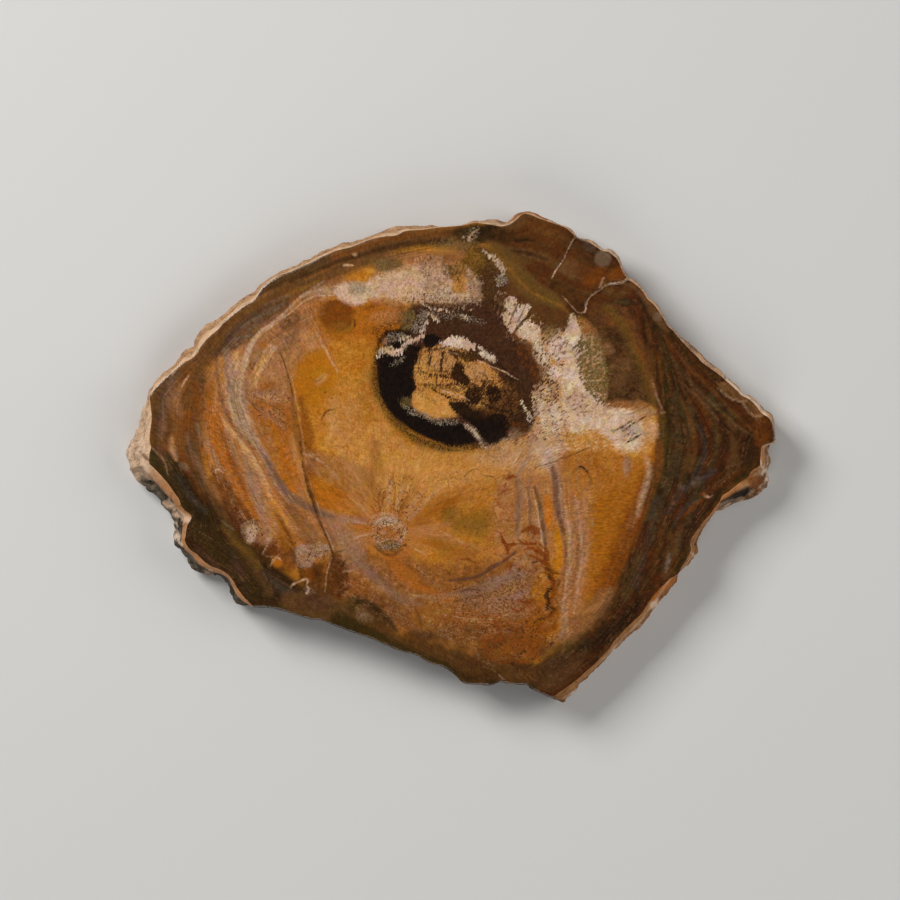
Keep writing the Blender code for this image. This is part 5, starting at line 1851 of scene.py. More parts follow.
# Tan, not gold, over the cream, and brown with an olive line down the fold at its right.
FOLD_WASHES: tuple[Wash, ...] = (
    brush(Tint.TAN, (5, 9, 10, 8), (388, 257), (414, 257), (440, 257), (460, 254), strength=0.75, soft=5),
    brush(Tint.GOLD, (1, 3, 3, 1), (426, 252), (436, 249), (446, 249), (452, 247), strength=0.7),
    pool(Tint.BISTRE, Tint.MOSS, (486, 242), (504, 246), (520, 262), (540, 284), (566, 300), (556, 308),
         (530, 300), (508, 280), (494, 256), soft=5),
    brush(Tint.LICHEN, (1, 2.4, 2.4, 2.4, 2), (492, 248), (508, 268), (524, 286), (542, 298), (562, 306),
          strength=0.7),
    dab(Tint.UMBER, Tint.UMBER, 598, 254, 24, 12, 35, strength=0.5, soft=8),
    dab(Tint.OLIVE, Tint.UMBER, 478, 278, 8, 14, 10, strength=0.35, soft=8, grain=Grain.SPECKLE),
    dab(Tint.RUST, Tint.RUSSET, 594, 278, 12, 7, -40),
    dab(Tint.RUST, Tint.RUSSET, 618, 274, 9, 6, -30, soft=5),
    dab(Tint.BISTRE, Tint.FAWN, 570, 268, 7, 8, 30, strength=0.5),
    dab(Tint.MAUVE, Tint.ASH, 603, 259, 8.5, 8, strength=0.5, soft=2),
    # Painted shadow under the second flake's edge.
    dab(Tint.BROWN, Tint.SOOT, 584, 316, 9, 5, 10, strength=0.6, soft=4),
    dab(Tint.WINE, Tint.UMBER, 238, 570, 10, 8, 40, strength=0.4, soft=7),
    dab(Tint.TAWNY, Tint.BROWN, 263, 556, 8, 6, 40, strength=0.5),
    brush(Tint.LICHEN, (2, 5, 4, 2), (224, 532), (238, 545), (250, 556), (262, 568), strength=0.3, soft=5),
    brush(Tint.WINE, (2, 5, 3), (196, 548), (212, 562), (226, 578), strength=0.35, soft=6),
)

# Mosaic patch, orange spot and small crystal of the lower left.
LOWER_LEFT_PATCH_WASHES: tuple[Wash, ...] = (
    dab(Tint.ORANGE, Tint.AMBER, 277, 563, 6, 5, strength=0.9, soft=3),
    brush(Tint.UMBER, (3, 8, 10, 6), (254, 548), (264, 562), (276, 574), (290, 584), soft=5),
    dab(Tint.CREAM, Tint.TAN, 250, 533, 6, 7, strength=0.5, soft=3),
)

# The dark stroke and grey cloud at the lower edge.
LOWER_EDGE_WASHES: tuple[Wash, ...] = (
    brush(Tint.PINE, (3, 6, 8, 7, 3), (356, 602), (368, 604), (378, 612), (388, 621), (397, 631),
          strength=0.85, soft=4),
    dab(Tint.FAWN, Tint.BISTRE, 364, 616, 10, 7, 15, strength=0.6),
)

# The pith's rays.
PITH_RAY_WASHES: tuple[Wash, ...] = (
    brush(Tint.RUST, (1.5, 2.5, 1.5), (380, 484), (379, 498), (381, 512), soft=2),
    brush(Tint.RUST, (1, 2, 1), (371, 470), (373, 488), (376, 504), strength=0.5, soft=2),
    brush(Tint.SAND, (1.5, 3, 1.5), (391, 480), (389, 496), (388, 510), soft=2.5),
    brush(Tint.SAND, (2, 4, 2), (404, 484), (400, 498), (397, 512), strength=0.5, soft=2.5),
    brush(Tint.RUST, (1, 2.4, 1.4), (414, 488), (406, 502), (401, 516), soft=2),
    brush(Tint.APRICOT, (2, 5, 3), (424, 490), (414, 504), (406, 518)),
    brush(Tint.SAND, (2, 4, 3), (440, 488), (424, 504), (410, 520), strength=0.5),
    brush(Tint.CINNAMON, (2, 5, 3), (462, 494), (440, 508), (414, 522)),
    brush(Tint.RUST, (1, 2, 1), (448, 518), (430, 522), (412, 526), strength=0.5, soft=2),
    brush(Tint.PEACH, (2, 5, 2), (452, 524), (432, 527), (412, 530), strength=0.5),
    brush(Tint.APRICOT, (2, 4, 2), (350, 498), (362, 508), (372, 520)),
    brush(Tint.RUST, (1, 2, 1), (344, 510), (358, 516), (370, 524), strength=0.5, soft=2),
)

# The grey-brown wedge and the olive corner at the bottom.
BOTTOM_WEDGE_WASHES: tuple[Wash, ...] = (
    dab(Tint.MOSS, Tint.OLIVE, 562, 650, 14, 6, -30, strength=0.6),
    pool(Tint.BISTRE, Tint.COCOA, (536, 684), (548, 664), (572, 654), (590, 650), (580, 668), (556, 690),
         strength=0.5, soft=8),
    brush(Tint.UMBER, (6, 10, 12, 8), (604, 632), (586, 648), (566, 660), (540, 676), strength=0.55,
          soft=7),
)

# Stronger pieces of the upper left, inside the pale lines.
UPPER_LEFT_PIECE_WASHES: tuple[Wash, ...] = (
    dab(Tint.TAWNY, Tint.BROWN, 291, 322, 10, 6, -35, soft=4),
    brush(Tint.BRONZE, (3, 7, 7, 3), (276, 354), (286, 346), (294, 336), (300, 326), strength=0.7, soft=4),
    dab(Tint.CREAM, Tint.PEACH, 270, 350, 7, 4, -20, soft=3),
    brush(Tint.STRAW, (2, 6, 5, 2), (256, 384), (259, 370), (266, 360), (272, 352), strength=0.7),
    brush(Tint.OCHRE, (2, 5, 3), (230, 370), (234, 361), (239, 353), strength=0.8, soft=2),
    dab(Tint.FIRE, Tint.CINNAMON, 264, 346, 5, 4, strength=0.6, soft=3),
    dab(Tint.ORANGE, Tint.CINNAMON, 268, 388, 9, 8, strength=0.6, soft=5),
    dab(Tint.APRICOT, Tint.PEACH, 308, 340, 7, 12, -30, soft=5),
)

# Mosaic patch of the lower left.
MOSAIC_WASHES: tuple[Wash, ...] = (
    pool(Tint.BLUSH, Tint.CLAY, (298, 546), (327, 545), (328, 553), (319, 557), (313, 561), (310, 567),
         (299, 567), (296, 556), soft=1.4, grain=Grain.SPECKLE),
    dab(Tint.ORANGE, Tint.CINNAMON, 303, 557, 3, 2.4, strength=0.8, soft=1.6),
    dab(Tint.CREAM, Tint.BLUSH, 251, 535, 6, 9, 20, soft=2, grain=Grain.SPECKLE),
)

# All of them, from the first laid down to the last.
WASHES: tuple[Wash | Bands, ...] = (
    *GROUND_WASHES, *LEFT_INSIDE_WASHES, *LEFT_STRIPS_WASHES, *UPPER_LEFT_WASHES, *GOLD_MIDDLE_WASHES,
    *PITH_WASHES, *LOWER_MIDDLE_WASHES, *RIGHT_MIDDLE_WASHES, *EYE_WASHES, *ABOVE_EYE_WASHES,
    *WINDOW_WASHES, *DARK_ZONE_WASHES, *RIGHT_STRIPE_WASHES, *LEFT_STRIPE_WASHES, *LOWER_LEFT_WASHES,
    *UPPER_STRIP_WASHES, *SPECKLED_BAND_WASHES, *DOT_BASE_WASHES, *TOP_RIGHT_WASHES, *OVER_CREAM_WASHES,
    *FOLD_WASHES, *LOWER_LEFT_PATCH_WASHES, *LOWER_EDGE_WASHES, *PITH_RAY_WASHES, *BOTTOM_WEDGE_WASHES,
    *UPPER_LEFT_PIECE_WASHES, *MOSAIC_WASHES,
)

# Chips on the weathered wall, with painted shade in its hollows and painted highlights (glints) on its
# edges.
RIND_WASHES: tuple[Wash, ...] = (
    dab(Tint.IVORY, Tint.BLUSH, 134, 446, 12, 22, strength=0.8),
    dab(Tint.IVORY, Tint.SAND, 140, 466, 12, 8, 40, soft=5),
    brush(Tint.COCOA, (2, 4, 2), (140, 452), (146, 458), (152, 462), strength=0.8, soft=2),
    brush(Tint.CREAM, (3, 6, 8, 4), (168, 500), (174, 510), (184, 519), (196, 520), strength=0.9),
    # Painted highlight: a pale glint on the lower left rim.
    brush(Tint.IVORY, (2, 5, 4), (173, 526), (175, 537), (181, 546), strength=0.9, soft=2),
    brush(Tint.CREAM, (2, 4, 2), (200, 571), (206, 573), (212, 571), strength=0.7, soft=2),
    brush(Tint.CREAM, (2, 4, 4, 2), (464, 223), (476, 220), (492, 220), (503, 226), strength=0.7, soft=2),
    brush(Tint.COPPER, (3, 5, 5, 3), (510, 222), (522, 212), (534, 212), (546, 220), strength=0.9, soft=2),
    # Painted highlight along the thin scalloped edge at the upper right.
    brush(Tint.IVORY, (2, 3, 3, 2), (724, 377), (742, 394), (760, 408), (772, 426), strength=0.7, soft=2),
    brush(Tint.CREAM, (3, 5, 4), (600, 249), (614, 253), (624, 268), strength=0.7, soft=2),
    brush(Tint.PEACH, (4, 7, 7, 5), (757, 468), (742, 482), (726, 498), (710, 518), strength=1.0),
    # Painted shade: a black stroke in the hollow of the right end.
    brush(Tint.BLACK, (2, 6, 8, 5), (722, 503), (736, 496), (748, 491), (757, 487), strength=0.95),
    brush(Tint.COCOA, (1, 2, 1), (740, 484), (748, 478), (756, 472), strength=0.8, soft=1.6),
    brush(Tint.SOOT, (1, 2, 2, 1), (764, 452), (767, 460), (765, 468), (760, 470), strength=0.8, soft=1.6),
    pool(Tint.COPPER, Tint.RUSSET, (748, 478), (764, 476), (768, 486), (756, 491), (748, 484), strength=0.9,
         # Painted highlight on the right end's lump.
         soft=3),
    brush(Tint.IVORY, (3, 6, 5, 3), (760, 463), (766, 471), (768, 480), (767, 488), strength=0.95, soft=2),
    brush(Tint.CREAM, (2, 4, 4, 3), (766, 488), (755, 500), (738, 506), (722, 512), strength=0.8, soft=2),
    brush(Tint.ASH, (3, 6, 6, 3), (742, 500), (732, 502), (722, 508), (716, 516), strength=0.8),
    brush(Tint.PEACH, (3, 5, 4), (760, 447), (764, 456), (763, 466), strength=0.9, soft=2),
    # Painted highlight on the right end's lump.
    brush(Tint.CREAM, (2, 3, 2), (768, 446), (771, 455), (770, 464), strength=0.8, soft=2),
    # Painted highlights: white glints on the lower right rim.
    dab(Tint.IVORY, Tint.CREAM, 655, 604, 6, 3.5, -45, strength=1.0, soft=2),
    brush(Tint.IVORY, (1, 3, 2, 1), (564, 701), (573, 694), (584, 686), (594, 678), strength=0.8, soft=1.5),
    brush(Tint.CREAM, (2, 3, 2), (690, 552), (694, 556), (688, 565), strength=0.8, soft=2),
    brush(Tint.ORANGE, (4, 7, 5), (674, 580), (662, 590), (652, 600), strength=0.9),
    # Painted highlight: a thin glint along the lower right rim's outer edge.
    brush(Tint.CREAM, (1, 2, 2, 1), (676, 572), (640, 622), (612, 650), (590, 676), strength=0.5, soft=1.5),
)
LILAC_VEIL = Mineral("lilac", Tint.LILAC, Tint.MAUVE, shade=Noise.RINGS, gaps=0.4, marks=(
    line((6, 9, 15, 17, 12, 7, 7, 8, 8, 6), (226, 352), (229, 368), (233, 386), (237, 404), (241, 422),
         (256, 443), (267, 460), (276, 482), (293, 500), (312, 509), strength=0.75, soft=4),
    line((7, 10, 9, 5), (308, 507), (325, 515), (342, 520), (364, 522), strength=0.65, soft=5),
    line((4, 6, 4), (246, 462), (250, 480), (256, 500), soft=4),
    line((2, 4, 3), (252, 480), (257, 500), (262, 520), strength=0.5, soft=4),
    line((3, 4, 3), (208, 442), (214, 456), (222, 470), strength=0.55, soft=3),
    line((3, 5, 3), (196, 424), (202, 438), (208, 452), strength=0.4, soft=4),
    line((3, 5, 3), (226, 430), (232, 448), (240, 466), strength=0.35, soft=4),
    line((4, 8, 4), (238, 372), (246, 384), (246, 398), strength=0.5, soft=5),
    line((3, 5, 3), (248, 394), (262, 394), (280, 392), strength=0.4, soft=5),
    line((4, 7, 4), (276, 352), (288, 342), (298, 330), strength=0.35, soft=5),
    line((4, 9, 7), (318, 514), (334, 526), (350, 536), strength=0.5, soft=7),
    spot(346, 542, 18, 10, 30, strength=0.45, soft=8),
    line((2, 4, 5, 4, 3), (532, 436), (531, 448), (528, 460), (520, 472), (516, 480), strength=0.7, soft=3),
    line((6, 8, 8, 6, 4), (520, 480), (520, 500), (518, 520), (519, 536), (522, 548), strength=0.55,
         soft=3),
    line((3, 4, 4, 3), (529, 480), (530, 500), (533, 520), (536, 540), strength=0.5, soft=3),
    line((6, 9, 11, 8, 6), (541, 438), (548, 456), (555, 476), (558, 500), (561, 520), soft=5),
    line((3, 5, 6, 5, 4, 3), (563, 505), (567, 525), (571, 548), (570, 574), (567, 600), (566, 620),
         strength=0.4, soft=3),
    line((2, 4, 4, 4, 2), (573, 500), (578, 522), (581, 548), (579, 576), (575, 606), strength=0.35,
         soft=3),
    line((4, 6, 4), (562, 604), (565, 622), (560, 638), strength=0.45, soft=4),
    line((2, 3, 2), (416, 566), (426, 576), (438, 588), strength=0.35, soft=3),
    line((2, 5, 5, 2), (416, 596), (436, 598), (458, 594), (472, 596), strength=0.45, soft=4),
    line((6, 10, 10, 6), (474, 592), (490, 586), (506, 580), (524, 576), strength=0.4, soft=5),
    line((4, 7, 4), (498, 600), (514, 598), (528, 590), strength=0.45, soft=5),
    line((3, 5, 3), (508, 572), (520, 562), (531, 552), soft=3),
    line((3, 6, 5, 3), (356, 558), (372, 576), (392, 594), (408, 606), strength=0.4, soft=5),
    area((299, 545), (327, 545), (329, 553), (320, 557), (313, 562), (311, 568), (299, 567), (296, 556),
         strength=0.45, soft=1.4, most=1.0),
    spot(627, 466, 4, 9, soft=4),
    spot(184, 467, 5, 3.4, 30, strength=0.4, soft=3),
    line((4, 6, 4), (528, 594), (534, 574), (530, 558), strength=0.35, soft=5),
))

VIOLET_LINES = Mineral("violet", Tint.WINE, Tint.COCOA, rag=0.35, gaps=0.7, marks=(
    line((2, 3, 3, 3, 3, 3, 2), (216, 356), (217, 372), (220, 390), (224, 408), (231, 422), (244, 438),
         (256, 450), soft=2.5),
    line((2, 6, 7, 7, 6, 3), (266, 458), (276, 476), (287, 493), (302, 504), (318, 512), (334, 518),
         soft=4),
    line((2, 3, 2), (226, 366), (230, 388), (232, 410), strength=0.35, soft=3),
    line((3, 5, 5, 2), (535, 488), (540, 508), (543, 528), (546, 550), strength=0.8, soft=2),
    line((2, 3, 3, 2), (527, 488), (530, 504), (530, 520), (528, 536), strength=0.5, soft=2.5),
    line((2, 5, 6, 5, 3, 3), (546, 452), (554, 474), (556, 496), (559, 516), (565, 540), (566, 566),
         strength=0.7, soft=2.5),
    line((1.5, 2, 2, 1.5), (562, 530), (566, 550), (565, 575), (561, 600), strength=0.5, soft=2.5),
    line((1.5, 2, 2, 1.5), (574, 520), (578, 545), (576, 570), (572, 600), strength=0.4, soft=2.5),
    line((2, 4, 3.4, 4, 3, 2), (449, 581), (462, 580), (478, 577), (492, 568), (505, 561), (516, 552),
         strength=0.95, soft=1.8),
    line((1.2, 2.6, 1.2), (461, 593), (468, 590), (482, 591), strength=0.85, soft=1.4),
    line((3, 4, 3), (517, 482), (519, 506), (517, 532), strength=0.4, soft=3),
    line((3, 6, 4), (336, 552), (334, 542), (326, 530), strength=0.35, soft=4),
    line((2, 4, 2), (462, 598), (484, 596), (500, 588), strength=0.45, soft=3),
    line((1.6, 2.4, 1.6), (456, 600), (470, 604), (486, 606), strength=0.4, soft=2),
    line((3, 5, 3), (366, 562), (378, 576), (390, 586), strength=0.35, soft=4),
    line((2, 3, 2), (296, 548), (294, 560), (304, 568), soft=2),
    line((1.5, 2, 1.5), (304, 552), (314, 556), (326, 552), strength=0.5),
))

PALE_VEIL = Mineral("pale", Tint.CREAM, Tint.SAND, rag=0.2, shade=Noise.RINGS, marks=(
    line((0.6, 1.2, 1.6, 2, 3.4, 4, 4.6, 6, 5, 3), (325, 281), (311, 290), (298, 300), (285, 313),
         (272, 325), (260, 334), (251, 346), (246, 360), (243, 372), (241, 384), strength=0.85, soft=2.5),
    line((0.6, 1.2, 1.6, 1.8, 1), (334, 296), (319, 296), (306, 301), (294, 310), (282, 320), strength=0.7,
         soft=1.4),
    line((1, 2, 2, 1), (330, 291), (316, 291), (302, 298), (290, 309), strength=0.5, soft=1.4),
    line((2, 5, 3), (334, 290), (318, 293), (304, 298), strength=0.25, soft=4),
    line((1, 3, 3, 3, 2), (222, 418), (236, 436), (252, 456), (264, 478), (272, 500), strength=0.45,
         soft=2.5),
    line((1, 3, 3, 1), (272, 354), (266, 364), (258, 376), (256, 388), strength=0.3, soft=3),
    line((1, 2.5, 1), (228, 372), (235, 360), (238, 352), soft=2),
    line((1, 2, 2, 1), (236, 388), (240, 402), (246, 414), (256, 426), strength=0.45, soft=2.5),
    line((1, 3, 3, 1), (226, 392), (230, 406), (236, 418), (244, 428), strength=0.5, soft=2.5),
    line((1, 2, 1), (266, 408), (276, 414), (286, 422), strength=0.3),
    line((1.4, 3, 1.4), (303, 454), (312, 457), (324, 464), strength=0.5, soft=2.5),
    line((1, 1.6, 1), (324, 464), (332, 472), (338, 480), strength=0.3, soft=2),
    line((1.2, 2, 1), (315, 331), (324, 347), (338, 373), strength=0.45, soft=1.4),
    line((3, 6, 6, 4, 2), (646, 457), (649, 472), (645, 490), (640, 504), (638, 516), strength=0.45,
         soft=4),
    line((1, 2, 3, 2), (560, 486), (566, 510), (570, 540), (569, 574), strength=0.35, soft=2),
    line((1, 2.4, 2.4, 2, 1), (575, 496), (580, 522), (582, 550), (579, 582), (574, 616), strength=0.35,
         soft=2),
    line((1, 1.8, 1.8, 1), (533, 490), (538, 512), (541, 532), (544, 552), strength=0.9, soft=1.2),
    line((1, 1.4, 1), (526, 492), (528, 508), (528, 524), strength=0.4, soft=1.4),
    line((1, 2, 1), (567, 560), (566, 586), (562, 612), strength=0.45, soft=2),
    line((0.8, 1.2, 1.2, 0.8), (459, 606), (486, 613), (519, 626), (552, 643), strength=0.2, soft=1.4),
    line((2, 5, 3), (480, 462), (500, 466), (515, 460), strength=0.3, soft=5),
    area((566, 406), (600, 412), (640, 410), (652, 414), (600, 424), (570, 418), strength=0.4, soft=7),
    line((1, 2, 1), (344, 572), (350, 572), (355, 570), strength=0.4, soft=2),
    spot(505, 442, 20, 9, -20, strength=0.4, soft=10),
    spot(500, 460, 24, 8, strength=0.3, soft=10),
    line((3, 8, 9), (573, 322), (577, 334), (586, 348), strength=0.5, soft=5),
    line((1, 2, 1), (372, 518), (384, 514), (398, 516), strength=0.45, soft=2),
    line((1, 2, 1), (350, 520), (362, 524), (372, 524), strength=0.4, soft=2),
    line((1, 2, 1), (352, 540), (364, 536), (374, 534), strength=0.45, soft=2),
    line((1, 2, 1), (413, 548), (418, 551), (425, 554), strength=0.4, soft=2),
))

BLUSH_BAND = Mineral("blush", Tint.CREAM, Tint.BLUSH, rag=0.5, shade=Noise.COARSE, gaps=0.4, marks=(
    area((336, 287), (348, 283), (369, 285), (369, 299), (362, 305), (352, 306), (342, 301), (336, 295),
         strength=0.9, soft=4),
    area((366, 284), (380, 275), (400, 270), (430, 272), (446, 272), (448, 284), (450, 300), (430, 303),
         (404, 300), (380, 298), (364, 298), strength=0.85, soft=6),
    area((420, 266), (440, 264), (447, 274), (430, 280), (412, 276), (402, 270), soft=8),
    area((384, 292), (412, 296), (424, 303), (410, 304), (396, 300), soft=4),
    area((468, 279), (480, 282), (481, 300), (468, 300), strength=0.7, soft=3),
    area((441, 279), (452, 279), (453, 294), (468, 294), (468, 301), (440, 302), strength=0.9),
    area((424, 298), (450, 300), (470, 298), (481, 299), (478, 303), (450, 304), (426, 303), strength=0.8),
    line((2, 4, 2), (466, 266), (471, 276), (476, 290), strength=0.5, soft=3),
))

CHOCOLATE_HALO = Mineral("chocolate", Tint.COCOA, Tint.CHOCOLATE, edge=Noise.FIBRES, rag=1.1, gaps=0.1,
                         marks=(
    area((424, 304), (442, 307), (465, 303), (481, 301), (496, 298), (504, 310), (506, 326), (517, 344),
         (526, 355), (537, 365), (545, 375), (541, 384), (533, 391), (536, 402), (532, 412), (531, 424),
         (527, 433), (519, 430), (514, 420), (518, 404), (514, 388), (503, 372), (494, 362), (482, 350),
         (470, 340), (454, 334), (440, 336), (430, 330), (420, 318), strength=0.95, soft=3),
    area((480, 273), (490, 270), (504, 282), (503, 300), (492, 302), (481, 296), strength=0.55, soft=5),
    area((500, 300), (512, 334), (526, 350), (520, 352), (505, 335), strength=0.8, soft=3),
    line((4, 6, 4), (402, 312), (412, 322), (416, 334), soft=4),
    line((3, 4, 3), (402, 308), (420, 306), (436, 308), strength=0.5, soft=3),
    area((526, 424), (534, 412), (538, 404), (534, 420), (530, 430), soft=3),
))

BLACK_RING = Mineral("black", Tint.SOOT, Tint.BLACK, edge=Noise.FIBRES, rag=0.75, gaps=0.0, marks=(
    area((386, 331), (400, 331), (397, 337), (390, 339), (385, 338), (384, 334), strength=0.92, soft=1.6),
    line((3, 6, 4), (378, 350), (381, 340), (390, 334), strength=0.8),
    line((3, 5, 3), (398, 330), (406, 334), (414, 331), strength=0.75),
    area((377, 358), (376, 362), (378, 368), (377.5, 376), (378.5, 384), (381, 392), (383, 399), (387, 406),
         (393, 413), (402, 421), (413, 430), (431, 438.5), (440, 443), (451, 446), (460, 446), (470, 444),
         (476, 441), (473, 436), (469, 432), (466, 427.5), (463, 424), (457, 423), (450, 424), (430, 421),
         (418, 415), (411, 406.5), (413, 397), (417, 389), (417, 385), (415, 380), (414, 373), (416, 365),
         (417, 362), (419, 357), (420, 352), (421, 349), (418, 347), (407, 347), (404, 352), (395, 357),
         (385, 360), strength=0.99, soft=1.8),
    area((425, 334), (431, 334), (439, 337), (441, 339), (437, 345), (432, 349), (426, 348), (424, 344),
         (423, 339), strength=0.97, soft=1.6),
    area((449, 401), (456, 402), (465, 401), (471, 409), (478, 414), (485, 418), (491, 414), (499, 414),
         (505, 414.5), (511, 427), (510, 432), (508, 438), (501, 440.5), (498, 443), (490, 445), (485, 442),
         (481, 438), (478, 432), (472, 425), (466, 421), (459, 416), (453, 410), (449, 406), strength=0.97,
         soft=2.2),
    line((4, 7, 5), (505, 404), (512, 418), (510, 430), soft=4),
))

EYE_CHECKS = Mineral("checks", Tint.UMBER, Tint.SOOT, edge=Noise.FIBRES, rag=0.8, gaps=0.1, marks=(
    area((418, 356), (440, 350), (480, 362), (500, 384), (498, 402), (470, 408), (440, 396), (418, 390),
         most=-2.1),
    area((494, 376), (514, 376), (526, 400), (522, 426), (500, 424), (482, 412), strength=0.8, most=-0.5),
    line((1.6, 3, 2), (430, 348), (430.5, 358), (429, 368), strength=0.9),
    line((2, 3.6, 2), (443, 349), (442, 360), (441, 372), strength=0.95),
    line((1.6, 3, 2), (456, 356), (459, 364), (461, 374), strength=0.9),
    line((1.4, 2, 1.4), (422, 351), (420, 362), (418, 372)),
    line((1.2, 2, 3, 2), (420, 371), (430, 375), (440, 376), (452, 379), strength=0.9),
    line((1, 2.4, 1), (434, 366), (437, 376), (436, 386), strength=0.7),
    line((1, 2, 1), (447, 372), (452, 386), (462, 392), strength=0.5),
    line((1.2, 2.4, 1.2), (416, 384), (428, 385), (446, 386), strength=0.75),
    area((455, 364), (464, 366), (465, 374), (470, 379), (468, 387), (459, 384), (451, 378), strength=1.0,
         most=2.4),
    area((466, 390), (479, 388), (484, 398), (474, 406), (465, 402), strength=1.0, most=2.0),
    area((488, 385), (499, 387), (501, 399), (492, 404), (486, 395), strength=1.0, most=2.0),
    line((2, 5, 4, 2), (452, 378), (458, 368), (462, 376), (468, 386), strength=1.0),
    line((2, 4, 2), (468, 388), (474, 396), (470, 406), strength=1.0),
    line((2, 4, 3), (488, 384), (494, 393), (491, 404), strength=1.0),
    line((1, 3, 2), (480, 398), (487, 394), (494, 398), strength=0.9, soft=1.4),
    line((1, 3, 1), (462, 360), (459, 372), (463, 384), strength=0.9),
    line((1, 3, 2), (450, 373), (460, 378), (472, 384), strength=0.9),
    line((1, 2, 1), (473, 384), (476, 396), (474, 408), strength=0.8),
    line((1, 2.4, 1), (468, 396), (478, 394), (488, 392), strength=0.8),
    line((1, 2.4, 1), (493, 378), (495, 392), (499, 406), strength=0.8),
    line((1, 2, 1), (486, 402), (496, 408), (508, 404), strength=0.7),
    line((2, 3, 2), (480, 378), (485, 386), (482, 394), strength=0.85),
    line((2, 4, 3), (480, 402), (494, 409), (506, 412), strength=0.9),
    line((1.6, 3, 2), (503, 388), (510, 402), (512, 416), strength=0.85),
    line((1.4, 2.4, 1.6), (446, 388), (454, 384), (464, 388), strength=0.8),
    line((1.2, 2, 1.2), (470, 366), (476, 378), (474, 386), strength=0.5),
    line((1.6, 3, 2), (426, 398), (434, 402), (440, 410), strength=0.35),
    area((450, 349.5), (459, 351), (470, 353), (477, 354), (485, 357), (489, 361), (482, 362), (475, 362.5),
         (467, 362), (463, 360), (456, 357), (450, 356), strength=0.9),
    line((2, 3, 2), (426, 352), (434, 350), (446, 348), strength=0.85),
    line((3, 2), (444, 346), (446, 362), strength=0.75),
    line((2, 3, 2), (458, 356), (460, 364), (464, 372), strength=0.8),
    line((2, 4, 2), (448, 374), (456, 378), (462, 376), strength=0.8),
    line((2, 4, 4, 2), (468, 382), (476, 387), (482, 389), (486, 382), strength=0.9),
    line((3, 5, 3), (478, 396), (484, 400), (490, 398), strength=0.7),
    line((3, 4, 3), (497, 362), (508, 376), (514, 390), strength=0.75, soft=3),
    line((1, 2.4, 2.4, 1.4), (430, 387), (440, 394), (449, 398), (460, 401), strength=0.95, soft=1.4),
    line(1.2, (420, 374), (434, 371), (440, 368), strength=0.5),
    line(1.4, (426, 388), (452, 389), (470, 396), strength=0.55),
    line(1.2, (431.5, 350), (431.5, 357), strength=0.7),
    line((2, 3, 2), (486, 376), (490, 384), (484, 392), strength=0.7),
    line(2, (452, 366), (446, 374), strength=0.5),
    line((2, 3), (462, 404), (484, 412), strength=0.8),
    line((1, 2, 1), (414, 384), (418, 389), (422, 390), strength=0.7),
    area((455, 404), (468, 404), (490, 414), (484, 420), (466, 418), strength=0.8, soft=4),
    # The ragged crack through the gold at the lower right.
    line((1, 3, 1.4), (533, 563), (541, 562), (548, 567), strength=0.8, soft=2),
    line((1.4, 4, 1.4), (544, 568), (550, 572), (557, 574), strength=0.85, soft=2),
    line((1.4, 5, 2), (546, 575), (552, 580), (554, 588), strength=0.85, soft=2),
    line((1.4, 4, 2), (553, 586), (549, 592), (546, 597), strength=0.9, soft=2),
    line((1.4, 4, 2), (545, 597), (549, 602), (547, 609), strength=0.9, soft=2),
    line((1, 4, 1), (548, 606), (553, 610), (550, 616), strength=0.8, soft=2),
    line((1, 3, 1), (549, 616), (543, 619), (538, 620), strength=0.7, soft=2),
    line((1, 3, 1), (543, 556), (548, 562), (546, 570), strength=0.7, soft=2),
    line((1, 3, 1), (556, 580), (559, 584), (556, 592), soft=2),
))

